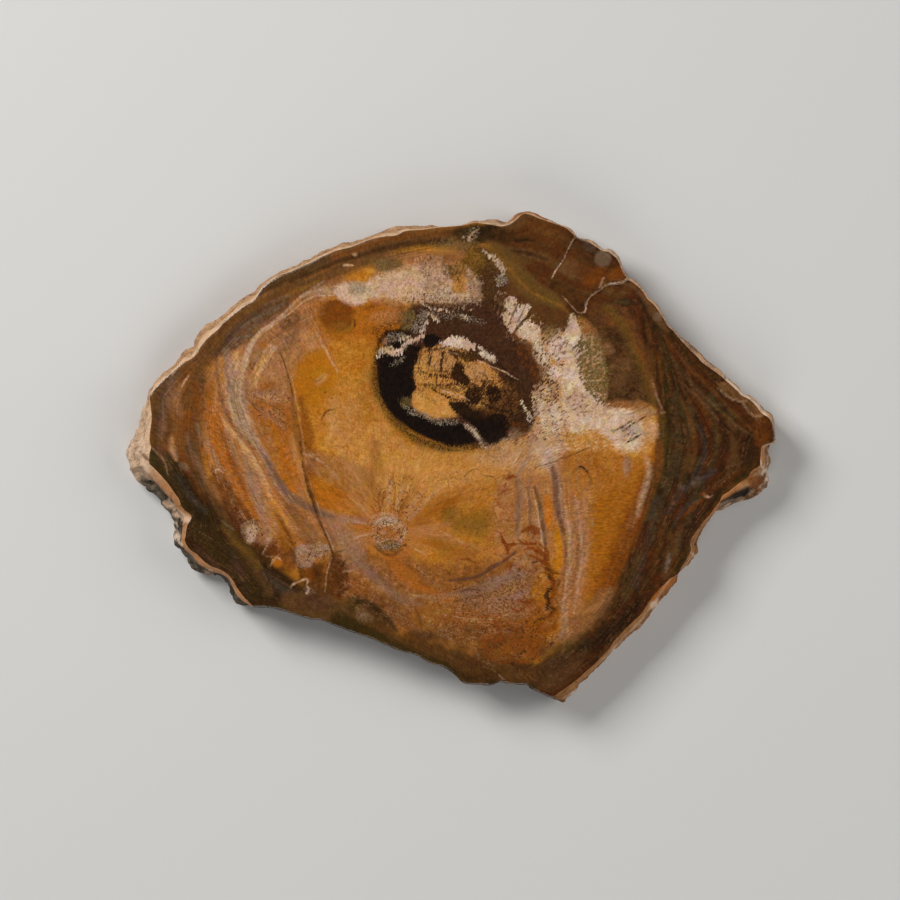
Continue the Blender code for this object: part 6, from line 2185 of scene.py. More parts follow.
CREAM_PATCHES = Mineral("cream", Tint.IVORY, Tint.BLUSH, edge=Noise.FIBRES, rag=1.0, shade=Noise.COARSE,
                        gaps=0.1, marks=(
    area((511, 296), (506, 301), (505, 307), (508, 311), (501, 315), (503, 320), (505, 326), (509, 332),
         (513, 333), (520, 326), (524, 319), (529, 311), (530, 305), (524, 305), (520, 308), (518, 303),
         strength=0.92, soft=1.6),
    area((524, 321), (531, 323), (538, 326), (541, 331), (537, 345), (531, 341.5), (526, 339), (520, 338),
         (517, 332), strength=0.97, soft=1.4),
    area((534, 344), (541, 346), (546, 352), (549, 360), (546, 368), (538, 364), (532, 354), strength=0.85),
    area((553, 336), (566, 334), (580, 336), (583, 350), (580, 361), (562, 362), (552, 360), (549, 348),
         strength=0.97, soft=1.8),
    area((548, 338), (556, 332), (561, 330), (556, 342), (550, 346), strength=0.8),
    area((560, 363), (578, 362), (583, 372), (586, 384), (582, 392), (566, 390), (560, 380), strength=0.93),
    area((548, 370), (558, 366), (560, 376), (552, 384), (546, 378), strength=0.8),
    area((566, 388), (584, 386), (600, 398), (606, 408), (606, 422), (570, 424), (560, 410), strength=0.8,
         soft=4),
    area((536, 388), (548, 386), (552, 398), (544, 404), (536, 400), strength=0.75, most=1.5),
    area((540, 404), (556, 402), (564, 412), (562, 430), (546, 432), (539, 420), strength=0.85, soft=4),
    area((534, 424), (548, 430), (560, 434), (566, 446), (556, 464), (544, 468), (534, 456), (530, 440),
         strength=0.42, soft=8),
    area((573, 313), (578, 324), (583, 336), (572, 340), (564, 336), (568, 326), strength=0.75, soft=3),
    area((600, 412), (620, 409), (638, 416), (646, 428), (645, 444), (634, 451), (620, 450), (610, 440),
         (598, 428), strength=0.85, soft=6),
    area((642, 420), (656, 424), (656, 438), (642, 444), strength=0.3, soft=6),
    area((570, 420), (600, 416), (606, 430), (590, 430), (572, 434), strength=0.85, soft=5),
    area((440, 343), (447, 339), (454, 336.5), (462, 338), (470, 342), (477, 349), (470, 350), (462, 349),
         (452, 348), (446, 347), strength=0.97, soft=1.4),
    area((482, 351), (491, 355), (497, 359), (494, 363), (487, 360), (480, 355), strength=0.9, soft=1.4),
    line((1, 2, 1), (470, 343), (482, 350), (492, 356), strength=0.7, soft=1.4),
    spot(491.5, 257.5, 3, 1.8, 30, strength=0.9),
    line((2, 5, 6, 3), (494, 257), (498, 263), (502, 269), (501, 275), strength=0.7, soft=2.5),
    line((1, 1.6, 1), (484, 251), (489, 255), (494, 259), strength=0.5, soft=2),
    line((3, 3.5, 3), (378, 358), (383, 350), (392, 349), strength=0.95),
    line((3, 4, 4, 3), (385, 352), (396, 352), (401, 350), (406, 345), strength=0.95),
    line((3, 5, 4, 3), (403, 346), (411, 342), (418, 340), (424, 334), strength=0.92),
    line((2, 3, 2), (388, 354), (396, 355), (403, 352), strength=0.85),
    line((2, 3, 2), (400, 341), (404, 338), (409, 337), strength=0.85),
    line((1.6, 3, 2), (421, 333), (426, 325), (427, 314), strength=0.8),
    line((2, 3, 1.5), (432, 316), (436, 320), (439, 321), strength=0.9),
    line((1, 2, 2, 1), (421, 303), (431, 309), (440, 310), (449, 311), strength=0.92),
    line((1, 2, 1), (462, 316), (466, 319), (468, 321), strength=0.8),
    line((1, 2, 2, 1), (521, 402), (524, 408), (527, 414), (528, 421), strength=0.8, soft=1.4),
    line((1, 1.5, 1), (528, 412), (532, 418), (533, 424), soft=1.2),
    line((2, 4, 4, 2), (466, 425), (472, 430), (477, 436), (484, 448), soft=2.5),
))

SPRAY_CREAM = Mineral("spray", Tint.CREAM, Tint.SAND, edge=Noise.FIBRES, rag=1.5, gaps=0.15, marks=(
    area((500, 294), (520, 302), (548, 332), (580, 350), (606, 400), (612, 440), (560, 450), (538, 430),
         (534, 390), (548, 376), (530, 350), (510, 336), (498, 312), strength=0.75, soft=3, most=-2.0),
    area((536, 338), (560, 330), (570, 360), (560, 386), (546, 400), (540, 370), strength=0.85, most=1.2),
    area((534, 388), (566, 380), (572, 420), (560, 436), (538, 428), strength=0.8, most=0.8),
    area((418, 260), (440, 258), (450, 276), (448, 300), (424, 300), (412, 276), strength=0.55, most=-0.5),
    area((452, 296), (466, 294), (482, 296), (476, 306), (456, 304), most=-0.2),
    area((466, 270), (480, 278), (480, 292), (468, 292), strength=0.55, most=-0.6),
    area((440, 300), (480, 300), (470, 310), (440, 308), strength=0.5, most=-1.0),
))

OLIVE_SPECKLE = Mineral("olive", Tint.SAGE, Tint.MOSS, edge=Noise.FIBRES, rag=1.5, shade=Noise.SPECKLE,
                        marks=(
    area((580, 336), (596, 338), (604, 354), (608, 380), (606, 402), (596, 400), (584, 386), (578, 364),
         strength=1.0, soft=1.2, most=0.7),
    area((545, 328), (556, 326), (560, 332), (548, 342), (541, 336), strength=0.75, soft=3, most=2.0),
    area((450, 266), (460, 266), (462, 277), (450, 278), strength=0.7, soft=3, most=1.5),
    area((372, 262), (388, 259), (400, 263), (396, 270), (380, 271), soft=5),
    area((400, 312), (412, 310), (416, 322), (408, 330), (400, 324), strength=0.7, soft=4, most=1.5),
    area((566, 400), (590, 398), (596, 410), (576, 414), strength=0.45, soft=3, most=-1.0),
    spot(406.5, 402, 5.5, 5.5, soft=4),
    area((546, 342), (556, 344), (560, 366), (548, 366), most=-1.4),
    area((430, 244), (456, 240), (478, 244), (450, 252), strength=0.5, soft=5),
))

RUST_STIPPLE = Mineral("stipple", Tint.RUSSET, Tint.CHOCOLATE, edge=Noise.FIBRES, rag=1.4, marks=(
    area((425, 258), (466, 262), (478, 280), (478, 300), (440, 298), (424, 280), strength=0.45, soft=1.6,
         most=-0.9),
    area((420, 262), (436, 262), (432, 274), (422, 272), strength=0.5, soft=3, most=-0.4),
    area((444, 258), (456, 256), (459, 276), (448, 282), (442, 272), strength=0.5, soft=4, most=0.8),
    area((470, 276), (480, 284), (482, 300), (471, 298), strength=0.5, soft=4, most=0.4),
    area((566, 394), (600, 398), (604, 412), (580, 416), strength=0.5, most=-1.4),
    area((548, 330), (566, 338), (570, 352), (552, 350), soft=1.6, most=-1.0),
    area((540, 378), (554, 378), (560, 398), (550, 402), (536, 396), strength=0.85, soft=1.6, most=0.1),
    area((536, 400), (560, 400), (568, 436), (546, 440), (534, 424), strength=0.7, soft=1.6, most=-1.2),
    area((530, 330), (562, 336), (560, 372), (540, 372), strength=0.75, soft=1.6, most=-1.6),
    area((496, 300), (512, 300), (520, 336), (504, 330), strength=0.7, soft=1.6, most=-1.2),
    area((425, 280), (440, 280), (440, 290), (425, 291), strength=0.45, soft=4, most=0.8),
    area((516, 346), (536, 350), (548, 374), (540, 384), (526, 366), strength=0.8, most=0.0),
    area((404, 296), (450, 300), (480, 298), (478, 304), (440, 306), (404, 304), strength=0.7, soft=1.4,
         most=-1.6),
    area((512, 424), (530, 428), (536, 440), (516, 444), (504, 440), strength=0.7, most=-0.6),
    area((520, 450), (548, 440), (556, 420), (548, 400), (560, 380), strength=0.4, soft=3, most=-2.0),
    area((420, 378), (452, 380), (446, 392), (422, 390), strength=0.45, soft=3, most=-1.0),
    area((440, 352), (496, 362), (500, 384), (470, 384), (440, 378), strength=0.4, soft=3, most=-1.6),
))

DARK_STIPPLE = Mineral("soot", Tint.UMBER, Tint.BLACK, edge=Noise.SPECKLE, rag=1.5, gaps=0.2, marks=(
    line((3, 5, 4, 4), (378, 352), (377, 384), (388, 412), (408, 434), strength=0.8, soft=5, most=0.2),
    line((18, 22, 20, 16), (374, 356), (373, 384), (383, 417), (404, 440), strength=0.3, soft=3, most=-1.8),
    line((3, 5, 5, 4), (410, 436), (440, 447), (470, 447), (496, 444), strength=0.8, soft=5, most=0.2),
    line((12, 16, 12), (416, 448), (448, 456), (488, 455), strength=0.3, soft=3, most=-1.8),
    area((486, 440), (500, 440), (504, 456), (494, 462), (486, 454), strength=0.4, soft=3, most=-0.6),
    area((374, 330), (398, 322), (402, 330), (384, 344), strength=0.65, soft=3, most=-0.4),
    area((404, 346), (420, 346), (419, 356), (404, 354), most=0.5),
    area((424, 296), (440, 300), (470, 300), (480, 302), (470, 306), (430, 306), soft=1.6, most=-0.6),
))

GREY_SPECKLE = Mineral("grey", Tint.PEWTER, Tint.STEEL, edge=Noise.SPECKLE, rag=0.75, shade=Noise.SPECKLE,
                       marks=(
    line((3, 6, 6, 4), (406, 407), (412, 412), (420, 414), (430, 419), strength=0.7, soft=1.4, most=0.4),
    line((4, 6, 6, 3), (424, 417), (436, 421), (446, 423), (458, 423), soft=1.4, most=0.3),
    line((7, 10, 8), (415, 330), (421, 322), (424, 314), strength=0.65, soft=2, most=0.5),
    line((5, 8, 5), (386, 342), (394, 338), (402, 336), soft=2, most=0.6),
    line((3, 4, 4, 2), (446, 314), (458, 315), (468, 320), (486, 324), strength=0.5, most=-0.3),
    line((2, 3, 3), (432, 312), (440, 316), (452, 318), strength=0.4, most=-0.4),
    line((1, 2, 1), (452, 314), (464, 318), (474, 320), strength=0.7, soft=1.2, most=0.6),
    line((2, 3, 2), (392, 366), (398, 362), (404, 358), strength=0.5, soft=1.4, most=0.3),
    area((348, 284), (360, 283), (368, 288), (364, 294), (352, 294), strength=0.7, most=0.8),
    area((496, 277), (505, 277), (507, 284), (498, 286), strength=0.75, most=1.2),
    area((468, 232), (479, 229), (478, 236), (470, 242), strength=0.5, most=-0.6),
    spot(309, 592, 4, 2.4, strength=0.4, soft=3),
    spot(376, 523, 4, 2.4, -20, soft=2),
    line((2, 4, 4, 2), (374, 524), (383, 518.5), (394, 520), (403, 526), strength=0.4, soft=2),
    line((2, 4, 4, 2), (376, 544), (385, 548), (396, 546), (404, 540), strength=0.5, soft=2),
    spot(364, 617, 6, 4, 20, strength=0.3, soft=5),
    spot(552, 388, 5, 3, strength=0.3, soft=2),
))

GREY_WISPS = Mineral("wisps", Tint.ASH, Tint.STEEL, edge=Noise.RINGS, marks=(
    line((1, 2, 2.4, 2, 1), (221, 353), (228, 346), (236, 339), (244, 337), (252, 336), strength=0.75),
    line((1, 2, 2, 2, 1), (241, 328), (250, 322), (260, 317), (270, 313), (280, 308), strength=0.75),
    line((0.8, 1.4, 0.8), (246, 331), (256, 325), (264, 320)),
    line((0.8, 1.6, 0.8), (262, 316), (272, 309), (284, 304), strength=0.5),
    line((0.8, 1.4, 0.8), (229, 350), (238, 344), (248, 340)),
    line((1, 2.4, 1), (222, 521), (228, 526), (234, 530), strength=0.5),
    spot(698, 482, 6, 3, -30, strength=0.35, soft=5),
    spot(682, 488, 4, 2.4, strength=0.3, soft=4),
    line((2, 4, 1), (669, 554), (668, 562), (666, 574), strength=0.75, soft=2),
    line((1, 3, 2), (180, 372), (176, 378), (170, 384), strength=0.35, soft=3),
    line(1.6, (180, 462), (190, 472), (200, 486), strength=0.3, soft=3),
    line((1, 2, 1), (264, 306), (276, 300), (290, 296), strength=0.45, soft=2),
    line((1.4, 2, 1), (300, 500), (286, 490), (280, 470), strength=0.3, soft=2),
))

DARK_LINES = Mineral("dark", Tint.BROWN, Tint.UMBER, rag=0.28, shade=Noise.COARSE, marks=(
    line((0.8, 1.2, 1.6, 1.6, 1.6, 1.6, 1.8, 2, 2, 2, 1.6), (280, 352), (286, 368), (291, 386), (294, 405),
         (298, 427), (301, 448), (303, 466), (307, 486), (313, 503), (321, 524), (331, 546), strength=1.0),
    line((1.6, 3, 2), (303, 470), (311, 494), (319, 516), strength=0.7),
    line((2, 3, 2), (330, 545), (333, 553), (331, 562), strength=0.9),
    line((1, 2, 1.4), (333, 553), (340, 552), (345, 551)),
    line((1, 2, 1.6, 1), (321, 421), (325, 414), (329, 411), (335, 410), strength=0.8, soft=1.4),
    line((1, 2, 1), (354.5, 320), (355, 325), (353.5, 329), strength=0.85, soft=1.4),
    spot(355, 312, 1.6, 1.4, strength=0.8),
    spot(325, 393, 1.5, 1.2, strength=0.7),
    line(1, (248, 400), (262, 410), (276, 420), strength=0.4, soft=1.2),
    line(1, (237, 398), (247, 396), (256, 398), strength=0.4, soft=1.2),
    line(1.2, (402, 505), (400, 512), (399, 518)),
    line((1, 1.6, 1, 0.8), (464, 478), (470, 472), (477, 470), (482, 474), soft=1.2),
    line((0.8, 1.4, 0.8), (482, 476), (488, 477), (495, 478), strength=0.7, soft=1.2),
    line((0.8, 1.2, 1.2, 1), (531, 472), (540, 467), (558, 461), (589, 448), strength=0.75, soft=1.2),
    line((1, 3, 1.6), (579, 467), (583, 468), (588, 473), strength=1.0, soft=1.2),
    line((1, 3, 1), (588, 474), (591, 480), (590, 486), strength=0.45, soft=2),
    line((0.6, 1.2), (588, 472), (591, 480), strength=0.5, soft=1.2),
    line(0.9, (574, 470), (590, 470), (604, 468), strength=0.3, soft=1.2),
    line((3, 5, 4, 2), (396, 608), (386, 606), (376, 610), (392, 624), strength=0.45, soft=4),
    area((359, 604), (374, 604), (392, 622), (396, 630), (386, 630), (372, 616), strength=0.55, soft=5),
    area((404, 634), (424, 632), (434, 636), (420, 642), (404, 640), strength=0.55, soft=5),
    line((1.5, 2.5, 1.5), (415, 608), (419, 618), (422, 630), soft=2),
    area((458, 644), (476, 650), (486, 664), (484, 682), (470, 676), (456, 660), strength=0.45, soft=8),
    area((466, 672), (500, 672), (502, 680), (478, 684), (462, 680), soft=4),
    # Painted shadow under the second flake's edge and in the hollow beside it.
    line((1, 2.4, 1), (604, 284), (592, 291), (587, 303), soft=2),
    line((2, 4, 3), (577, 306), (584, 316), (593, 312), strength=0.85, soft=3),
    line((1, 3, 2), (566, 297), (574, 306), (580, 312), strength=0.7, soft=3),
    area((552, 284), (572, 290), (584, 306), (574, 308), (560, 298), soft=6),
    line((0.8, 1.4, 0.8), (567, 344), (575, 348), (580, 342), strength=0.5, soft=1.2),
    line((0.8, 1.2, 0.8), (556, 356), (562, 359), (574, 358), strength=0.4, soft=1.2),
    line((0.8, 1.4, 0.8), (622, 416), (632, 414), (645, 408), strength=0.5, soft=1.2),
    line((0.8, 2, 1), (638, 422), (642, 419), (646, 417), strength=0.9, soft=1.2),
    line((1, 2, 1), (150, 446), (153, 452), (158, 458), strength=0.7, soft=2),
    # Painted shade in the hollow of the right end.
    area((742, 488), (750, 484), (757, 492), (750, 499), (742, 496), strength=0.8, soft=4),
    line((0.8, 1.6, 1.4, 1.6, 1), (546, 568), (551, 573), (549, 578), (554, 583), (550, 590), strength=0.8,
         soft=1.2),
    line((0.8, 1.6, 1.4, 1.6, 0.8), (550, 590), (545, 596), (550, 602), (547, 608), (552, 613),
         strength=0.8, soft=1.2),
    line((0.8, 1.4, 0.8), (552, 613), (546, 618), (538, 620), soft=1.2),
    # Gaps between the cream strips.
    line((1, 2, 1), (511, 320), (516, 309), (521, 298), strength=0.8, soft=1),
    line((1, 2, 1), (516, 326), (521, 316), (526, 305), strength=0.7, soft=1),
    line((1.4, 3, 2), (513, 335), (521, 324), (533, 313), strength=0.9, soft=1.2),
    line((0.8, 1.6, 0.8), (556, 579), (560, 582), (557, 587), strength=0.5, soft=1.4),
    line((0.8, 2, 0.8), (540, 552), (546, 556), (545, 562), soft=1.4),
    line((0.8, 1.2, 0.8), (247, 398), (256, 409), (268, 417), soft=1.2),
    line((0.8, 1.2, 0.8), (268, 417), (278, 422), (288, 421), strength=0.5, soft=1.2),
    line((0.8, 1.2, 0.8), (258, 402), (272, 406), (284, 414), strength=0.4, soft=1.2),
    line((0.8, 1, 0.8), (262, 352), (258, 366), (254, 378), strength=0.4, soft=1.2),
    line((0.8, 1, 0.8), (278, 356), (282, 366), (284, 376), strength=0.45, soft=1.4),
    line((0.8, 1.2, 0.8), (310, 378), (317, 382), (324, 376), soft=1.2),
    line((1, 1.6, 1), (548, 598), (556, 600), (560, 610), strength=0.5, soft=1.4),
    line((1.4, 3, 3, 2), (374, 546), (382, 553), (392, 555), (403, 550), soft=2),
    line((1, 1.6, 1), (384, 543), (392, 541), (400, 543)),
    spot(380, 530, 2, 1.4, strength=0.5),
    spot(399, 532, 2, 1.6, strength=0.5),
    line((1, 1.6, 1), (383, 519), (390, 523), (396, 521), strength=0.5),
    line((1, 3, 5, 5, 3), (289, 380), (292, 398), (295, 420), (298, 440), (301, 460), strength=0.4, soft=4),
    line((6, 10, 9, 4), (334, 556), (337, 570), (339, 584), (338, 596), strength=0.5, soft=4),
    line((3, 7, 4), (283, 541), (290, 549), (296, 556), strength=0.3, soft=5),
    line((1, 2), (262, 436), (270, 434), strength=0.3, soft=1.4),
    line((0.8, 1.5, 0.8), (256, 436), (260, 437), (266, 436), strength=0.5, soft=1.2),
))

HATCH = Mineral("hatch", Tint.STEEL, Tint.UMBER, rag=0.45, shade=Noise.SPECKLE, marks=(
    line((4, 9, 4), (622, 434), (634, 430), (646, 434), strength=0.35, soft=5),
    line((0.8, 2.2, 1), (613, 432), (622, 428), (632, 421), strength=0.95, soft=1.2),
    line((0.8, 2.2, 1), (622, 432), (629, 428), (636, 422), strength=0.95, soft=1.2),
    line((0.8, 2.4, 1), (625, 437), (632, 433), (640, 428), strength=0.95, soft=1.2),
    line((0.8, 2.6, 1), (626, 444), (633, 440), (641, 435), strength=0.95, soft=1.2),
    line((0.8, 2, 1), (630, 440), (634, 434), (636, 428), strength=0.8, soft=1.2),
    line((0.8, 2, 0.8), (636, 434), (643, 433), (650, 434), strength=0.85, soft=1.2),
    line(1.2, (636, 422), (640, 430), strength=0.5, soft=1.4),
    spot(613, 431, 1.8, 1.5, strength=0.85, soft=1.2),
    line(1.2, (572, 352), (578, 346), (584, 344), soft=1.2),
    line(1.2, (575, 357), (582, 350), soft=1.2),
    line(1, (552, 356), (566, 352), (576, 354), strength=0.4, soft=1.2),
    line(1, (551, 414), (558, 412), (564, 414), strength=0.4, soft=1.2),
    line((1, 2), (468, 240), (474, 234), soft=1.2),
))

PALE_LINES = Mineral("lines", Tint.CREAM, Tint.APRICOT, rag=0.22, shade=Noise.COARSE, marks=(
    line((0.8, 1, 1, 1.4, 1, 1, 1), (293, 380), (297, 404), (301, 426), (304, 448), (306, 465), (311, 486),
         (322, 516), strength=0.3, soft=1.1),
    line((1, 1.4, 1), (324, 524), (331, 543), (334, 552), strength=0.4, soft=1.2),
    line((0.8, 1.2, 0.8), (332, 558), (329, 567), (327, 576), strength=0.5, soft=1.3),
    line((0.8, 1, 0.8), (327, 576), (326, 584), (325, 592), strength=0.4, soft=1.3),
    # The flakes' broken edges: a pale rough edge of their own, brightened by a painted highlight where it
    # catches the light.
    line((0.8, 1, 1, 0.8, 1, 0.8), (577, 238), (574, 240), (568, 250), (563, 261), (556, 271), (552, 279),
         strength=0.8, soft=1.1),
    line((2, 2.4, 1.8, 1.4, 1.4, 1.4, 1.2, 1), (628, 279), (621, 283), (608, 285), (599, 291), (590, 298),
         (587, 305), (585, 312), (579, 313), strength=0.85, soft=1.2),
    line((0.8, 1, 0.8), (579, 313), (571, 305), (562, 296), strength=0.5, soft=1.2),
    line((1, 2, 1), (604, 278), (602, 283), (599, 288), soft=2),
    line((1, 2, 2, 1), (477, 238), (468, 241), (473, 234), (480, 230), strength=0.7, soft=1.4),
    spot(464, 238, 1.6, 1.2, strength=0.7, soft=1.2),
    line((1, 3, 1), (342, 266), (348, 265.5), (353, 266), strength=0.95, soft=1.3),
    spot(355, 255, 2.6, 2.2, strength=0.5),
    line((1, 2.2, 1), (189, 376), (185, 382), (182, 387), strength=0.8, soft=1.4),
    line((1, 1.6, 1), (178, 368), (174, 373), (172, 376), soft=1.4),
    # Painted highlight: the glint on the rim of the dent at the left.
    line((0.8, 1.2, 1, 0.8), (213, 473), (217, 470), (221, 471), (223, 474), soft=1.3),
    line((1, 2, 1.6, 2.4, 1), (291, 589), (294, 585), (300, 582), (306, 579), (309, 581), strength=0.7,
         soft=1.1),
    line((1, 2, 2.4, 2), (309, 581), (307, 586), (309, 590), (307, 594), strength=0.55, soft=1.4),
    line((0.8, 1, 0.8), (188, 529), (200, 533), (214, 541), strength=0.15, soft=1.2),
    line((0.8, 1.4, 1), (270, 540), (266, 548), (262, 555), strength=0.45, soft=1.3),
    spot(269, 540, 4, 2.6, -30, strength=0.4, soft=2.5),
    line((0.8, 1, 1, 0.8), (258, 560), (268, 582), (276, 598), (284, 610), strength=0.12, soft=1.2),
    line((0.8, 1.2, 0.8), (438, 349), (452, 353), (462, 356), strength=0.3, soft=1.2),
    line((1.4, 3, 3, 1.4), (374, 526), (381, 519), (391, 520), (402, 526), soft=2.5),
    line((1, 1.6, 1), (376, 541), (382, 546), (385, 550), strength=0.5),
    line((1, 1.6, 1), (398, 543), (404, 537), (406, 530), strength=0.4),
    spot(384, 533, 3, 2, strength=0.4, soft=2.5),
    spot(395, 529, 2.4, 1.6, strength=0.35, soft=2.5),
    line((0.8, 1.2, 1.2, 0.8), (478, 361), (489, 366), (504, 372), (518, 380), strength=0.8, soft=1.1),
    line((1, 1.6, 1.2, 0.8), (442, 391), (452, 394), (462, 397), (470, 401), strength=0.75, soft=1.2),
    line((0.8, 1.2, 0.8), (440, 532), (450, 536), (462, 543), strength=0.4, soft=1.3),
    line((0.8, 1.4, 1.4, 0.8), (653, 384), (656, 394), (660, 404), (664, 412), strength=0.35, soft=2.5),
    spot(663, 413, 2.2, 1.4, strength=0.5, soft=2),
    spot(707, 497, 2.2, 1.5, -20, strength=0.7),
    line((1, 1.4, 1), (704, 494), (708, 498), (713, 496), strength=0.4, soft=1.4),
    line((0.8, 1.4, 0.8), (481, 662), (488, 664), (496, 667), strength=0.18, soft=1.4),
    line((0.8, 1.2, 0.8), (482, 667), (490, 669), (497, 673), strength=0.12, soft=1.4),
    line((1, 1.6, 1), (475, 650), (478, 655), (481, 660), strength=0.2),
    line((0.6, 1, 0.5), (499, 675), (502, 679), (505, 680), strength=0.45, soft=1.2),
    line((1, 1.4, 1, 0.8), (150, 446), (158, 454), (164, 461), (168, 476), strength=0.35, soft=2),
    line((1, 2.4, 2, 1), (271, 567), (273, 561), (277, 558), (282, 561), strength=0.65, soft=1.4),
    line((0.6, 1, 0.6), (266, 557), (272, 557), (278, 557), strength=0.5, soft=1.3),
    # Painted highlight: a glint on the lower left edge.
    spot(244, 603, 4, 2.2, -15, strength=0.9),
))

RED_VEINLETS = Mineral("red", Tint.RUST, Tint.RED, rag=0.6, shade=Noise.SPECKLE, marks=(
    area((484, 634), (506, 622), (534, 632), (548, 644), (536, 660), (510, 664), (488, 656), strength=0.75,
         most=-0.7),
    spot(484, 641, 3, 2, 20, strength=0.8),
    spot(497, 640, 4, 3, strength=0.7, soft=2),
    spot(489, 658, 3, 2, strength=0.7),
    line((2, 4, 2), (520, 640), (530, 646), (536, 654), strength=0.7, soft=2.4),
    line((2, 4, 2), (494, 622), (500, 630), (502, 640), strength=0.7, soft=2.4),
    area((518, 524), (546, 520), (550, 560), (556, 600), (540, 570), (522, 556), most=-1.7),
    area((500, 476), (520, 476), (516, 500), (500, 506), strength=0.4, most=-1.7),
    line((2, 5, 2), (522, 532), (531, 529), (540, 534), strength=0.95, soft=2),
    line((1.4, 4, 2), (530, 524), (536, 530), (533, 538), strength=0.95),
    line((1.4, 3, 1.4), (519, 541), (528, 545), (538, 543), strength=0.9, soft=1.4),
    line((1.4, 3.4, 2), (532, 548), (540, 554), (548, 556), strength=1.0, soft=1.4),
    line((1.4, 3, 1.4), (527, 555), (536, 558), (545, 563), strength=0.95, soft=1.4),
    line((1, 3, 1.4), (546, 552), (545, 562), (549, 570), strength=0.95, soft=1.4),
    line((1, 3, 1), (524, 550), (534, 549), (546, 556), strength=0.9, soft=1.4),
    line((1, 2, 1), (528, 560), (538, 559), (548, 564), strength=0.7, soft=1.4),
    line((1, 3, 1), (540, 545), (547, 552), (549, 560), strength=0.9, soft=1.4),
    line((1, 2.4, 1), (492, 626), (500, 622), (504, 632), soft=1.8),
    line((1, 2.4, 1), (530, 640), (540, 642), (546, 636), soft=1.8),
    line((1.2, 3, 4, 2), (501, 534), (503, 541), (507, 547), (508, 556), strength=1.0, soft=1.2),
    line((1.6, 3, 1), (505, 546), (512, 545), (522, 544), strength=1.0, soft=1.2),
    line((2, 4, 2), (526, 528), (535, 532), (541, 529), strength=0.8, soft=2),
    line((1, 2, 2, 1), (524, 541), (535, 545), (541, 551), (547, 556), strength=0.9, soft=1.4),
    line((1.4, 3, 3, 2.4, 1.4), (541, 560), (549, 566), (552, 576), (554, 590), (551, 602), strength=0.9,
         soft=2),
    line((1, 2, 1.4), (551, 606), (556, 610), (548, 618), strength=0.8, soft=1.4),
    line((1, 1.4), (545, 571), (562, 575), strength=0.7, soft=1.3),
    line((1, 2.4, 1.4), (461, 560), (468, 560), (475, 563), strength=1.0, soft=1.2),
    line((1.4, 4, 2), (506, 480), (510, 478), (516, 477), strength=0.95),
    line((1, 2, 1), (498, 496), (504, 492), (512, 490), strength=0.7, soft=1.4),
    line((1, 2.4, 1), (507, 562), (511, 566), (510, 572), strength=0.9, soft=1.4),
    line((1, 2, 1), (504, 520), (511, 522), (518, 520), soft=1.4),
    line((1, 3, 1), (509, 562), (513, 566), (519, 564)),
    line((1, 1.6, 1), (520, 566), (530, 572), (538, 570), soft=1.4),
    line((1, 1.8, 1), (500, 556), (508, 562), (506, 570), strength=0.55, soft=1.5),
    line((0.8, 1.4, 0.8), (500, 527), (510, 526), (520, 526), strength=0.4, soft=1.3),
    line((2, 5, 2), (518, 601), (527, 603), (534, 600), strength=0.8, soft=2.4),
    line((1.4, 3.4, 1.4), (512, 609), (518, 612), (525, 608), strength=0.85, soft=1.8),
    line((1, 2, 1.6, 1), (506, 620), (518, 626), (534, 634), (548, 642), strength=0.4, soft=2),
    spot(508, 655, 2.4, 2.2, strength=0.8, soft=1.5),
    spot(516, 652, 1.8, 1.8, soft=1.5),
    line((1, 1.8, 1), (519, 664), (526, 661), (532, 664), strength=0.8, soft=1.5),
    line((1, 1.8, 1), (500, 664), (510, 662), (520, 662), strength=0.8, soft=1.5),
    spot(488, 640, 3, 1.8, 20, soft=1.8),
    spot(521, 646, 3, 2, strength=0.5, soft=1.8),
    line((1, 2, 1), (526, 648), (534, 650), (540, 644), soft=1.8),
    spot(703, 494, 2.4, 1.8),
    line((1, 1.5, 1), (640, 456), (652, 458), (660, 466), strength=0.4),
    line(0.9, (330, 448), (338, 446), (344, 448), strength=0.5, soft=1.2),
    line((1, 1.6, 1), (384, 496), (382, 506), (380, 514), strength=0.5),
    line((1, 1.6, 1), (404, 498), (402, 508), (396, 516), strength=0.5),
    line((0.8, 1.4, 0.8), (416, 600), (420, 612), (424, 630), strength=0.4, soft=1.5),
    line(1, (440, 480), (450, 478), (462, 480), strength=0.3, soft=1.4),
))

THREADS = Mineral("threads", Tint.SAND, Tint.MAROON, edge=Noise.THREADS, rag=1.0, shade=Noise.COARSE,
                  marks=(
    area((206, 380), (232, 348), (270, 316), (318, 288), (330, 300), (296, 330), (270, 372), (284, 440),
         (300, 500), (330, 548), (300, 556), (262, 540), (226, 500), (204, 440), strength=0.38, soft=8,
         most=-1),
    area((498, 480), (530, 440), (592, 446), (596, 500), (594, 580), (572, 640), (548, 640), (540, 560),
         (500, 556), strength=0.28, soft=8, most=-1),
    area((340, 556), (380, 570), (440, 600), (500, 590), (540, 570), (540, 600), (500, 640), (440, 640),
         (380, 616), (340, 590), strength=0.36, soft=8, most=-1),
    area((592, 460), (650, 460), (640, 520), (612, 590), (580, 630), (594, 560), strength=0.06, soft=8,
         most=-1),
))

STREAKS = Mineral("streaks", Tint.FAWN, Tint.SOOT, edge=Noise.THREADS, rag=1.0, shade=Noise.COARSE, marks=(
    area((634, 300), (664, 330), (760, 420), (756, 450), (716, 490), (650, 600), (560, 680), (540, 670),
         (610, 606), (644, 530), (664, 450), (652, 360), strength=0.5, soft=8, most=-1),
    area((160, 400), (190, 360), (250, 305), (330, 262), (420, 240), (470, 240), (400, 256), (330, 280),
         (262, 316), (206, 372), (204, 440), (170, 450), strength=0.42, soft=8, most=-1),
    area((160, 460), (190, 480), (240, 530), (280, 570), (340, 604), (330, 616), (250, 600), (190, 550),
         strength=0.42, soft=8, most=-1),
    area((380, 630), (440, 640), (520, 660), (540, 680), (480, 680), (400, 650), strength=0.4, soft=8,
         most=-1),
    area((494, 230), (560, 226), (620, 262), (650, 310), (590, 300), (520, 262), strength=0.22, soft=8,
         most=-1),
))

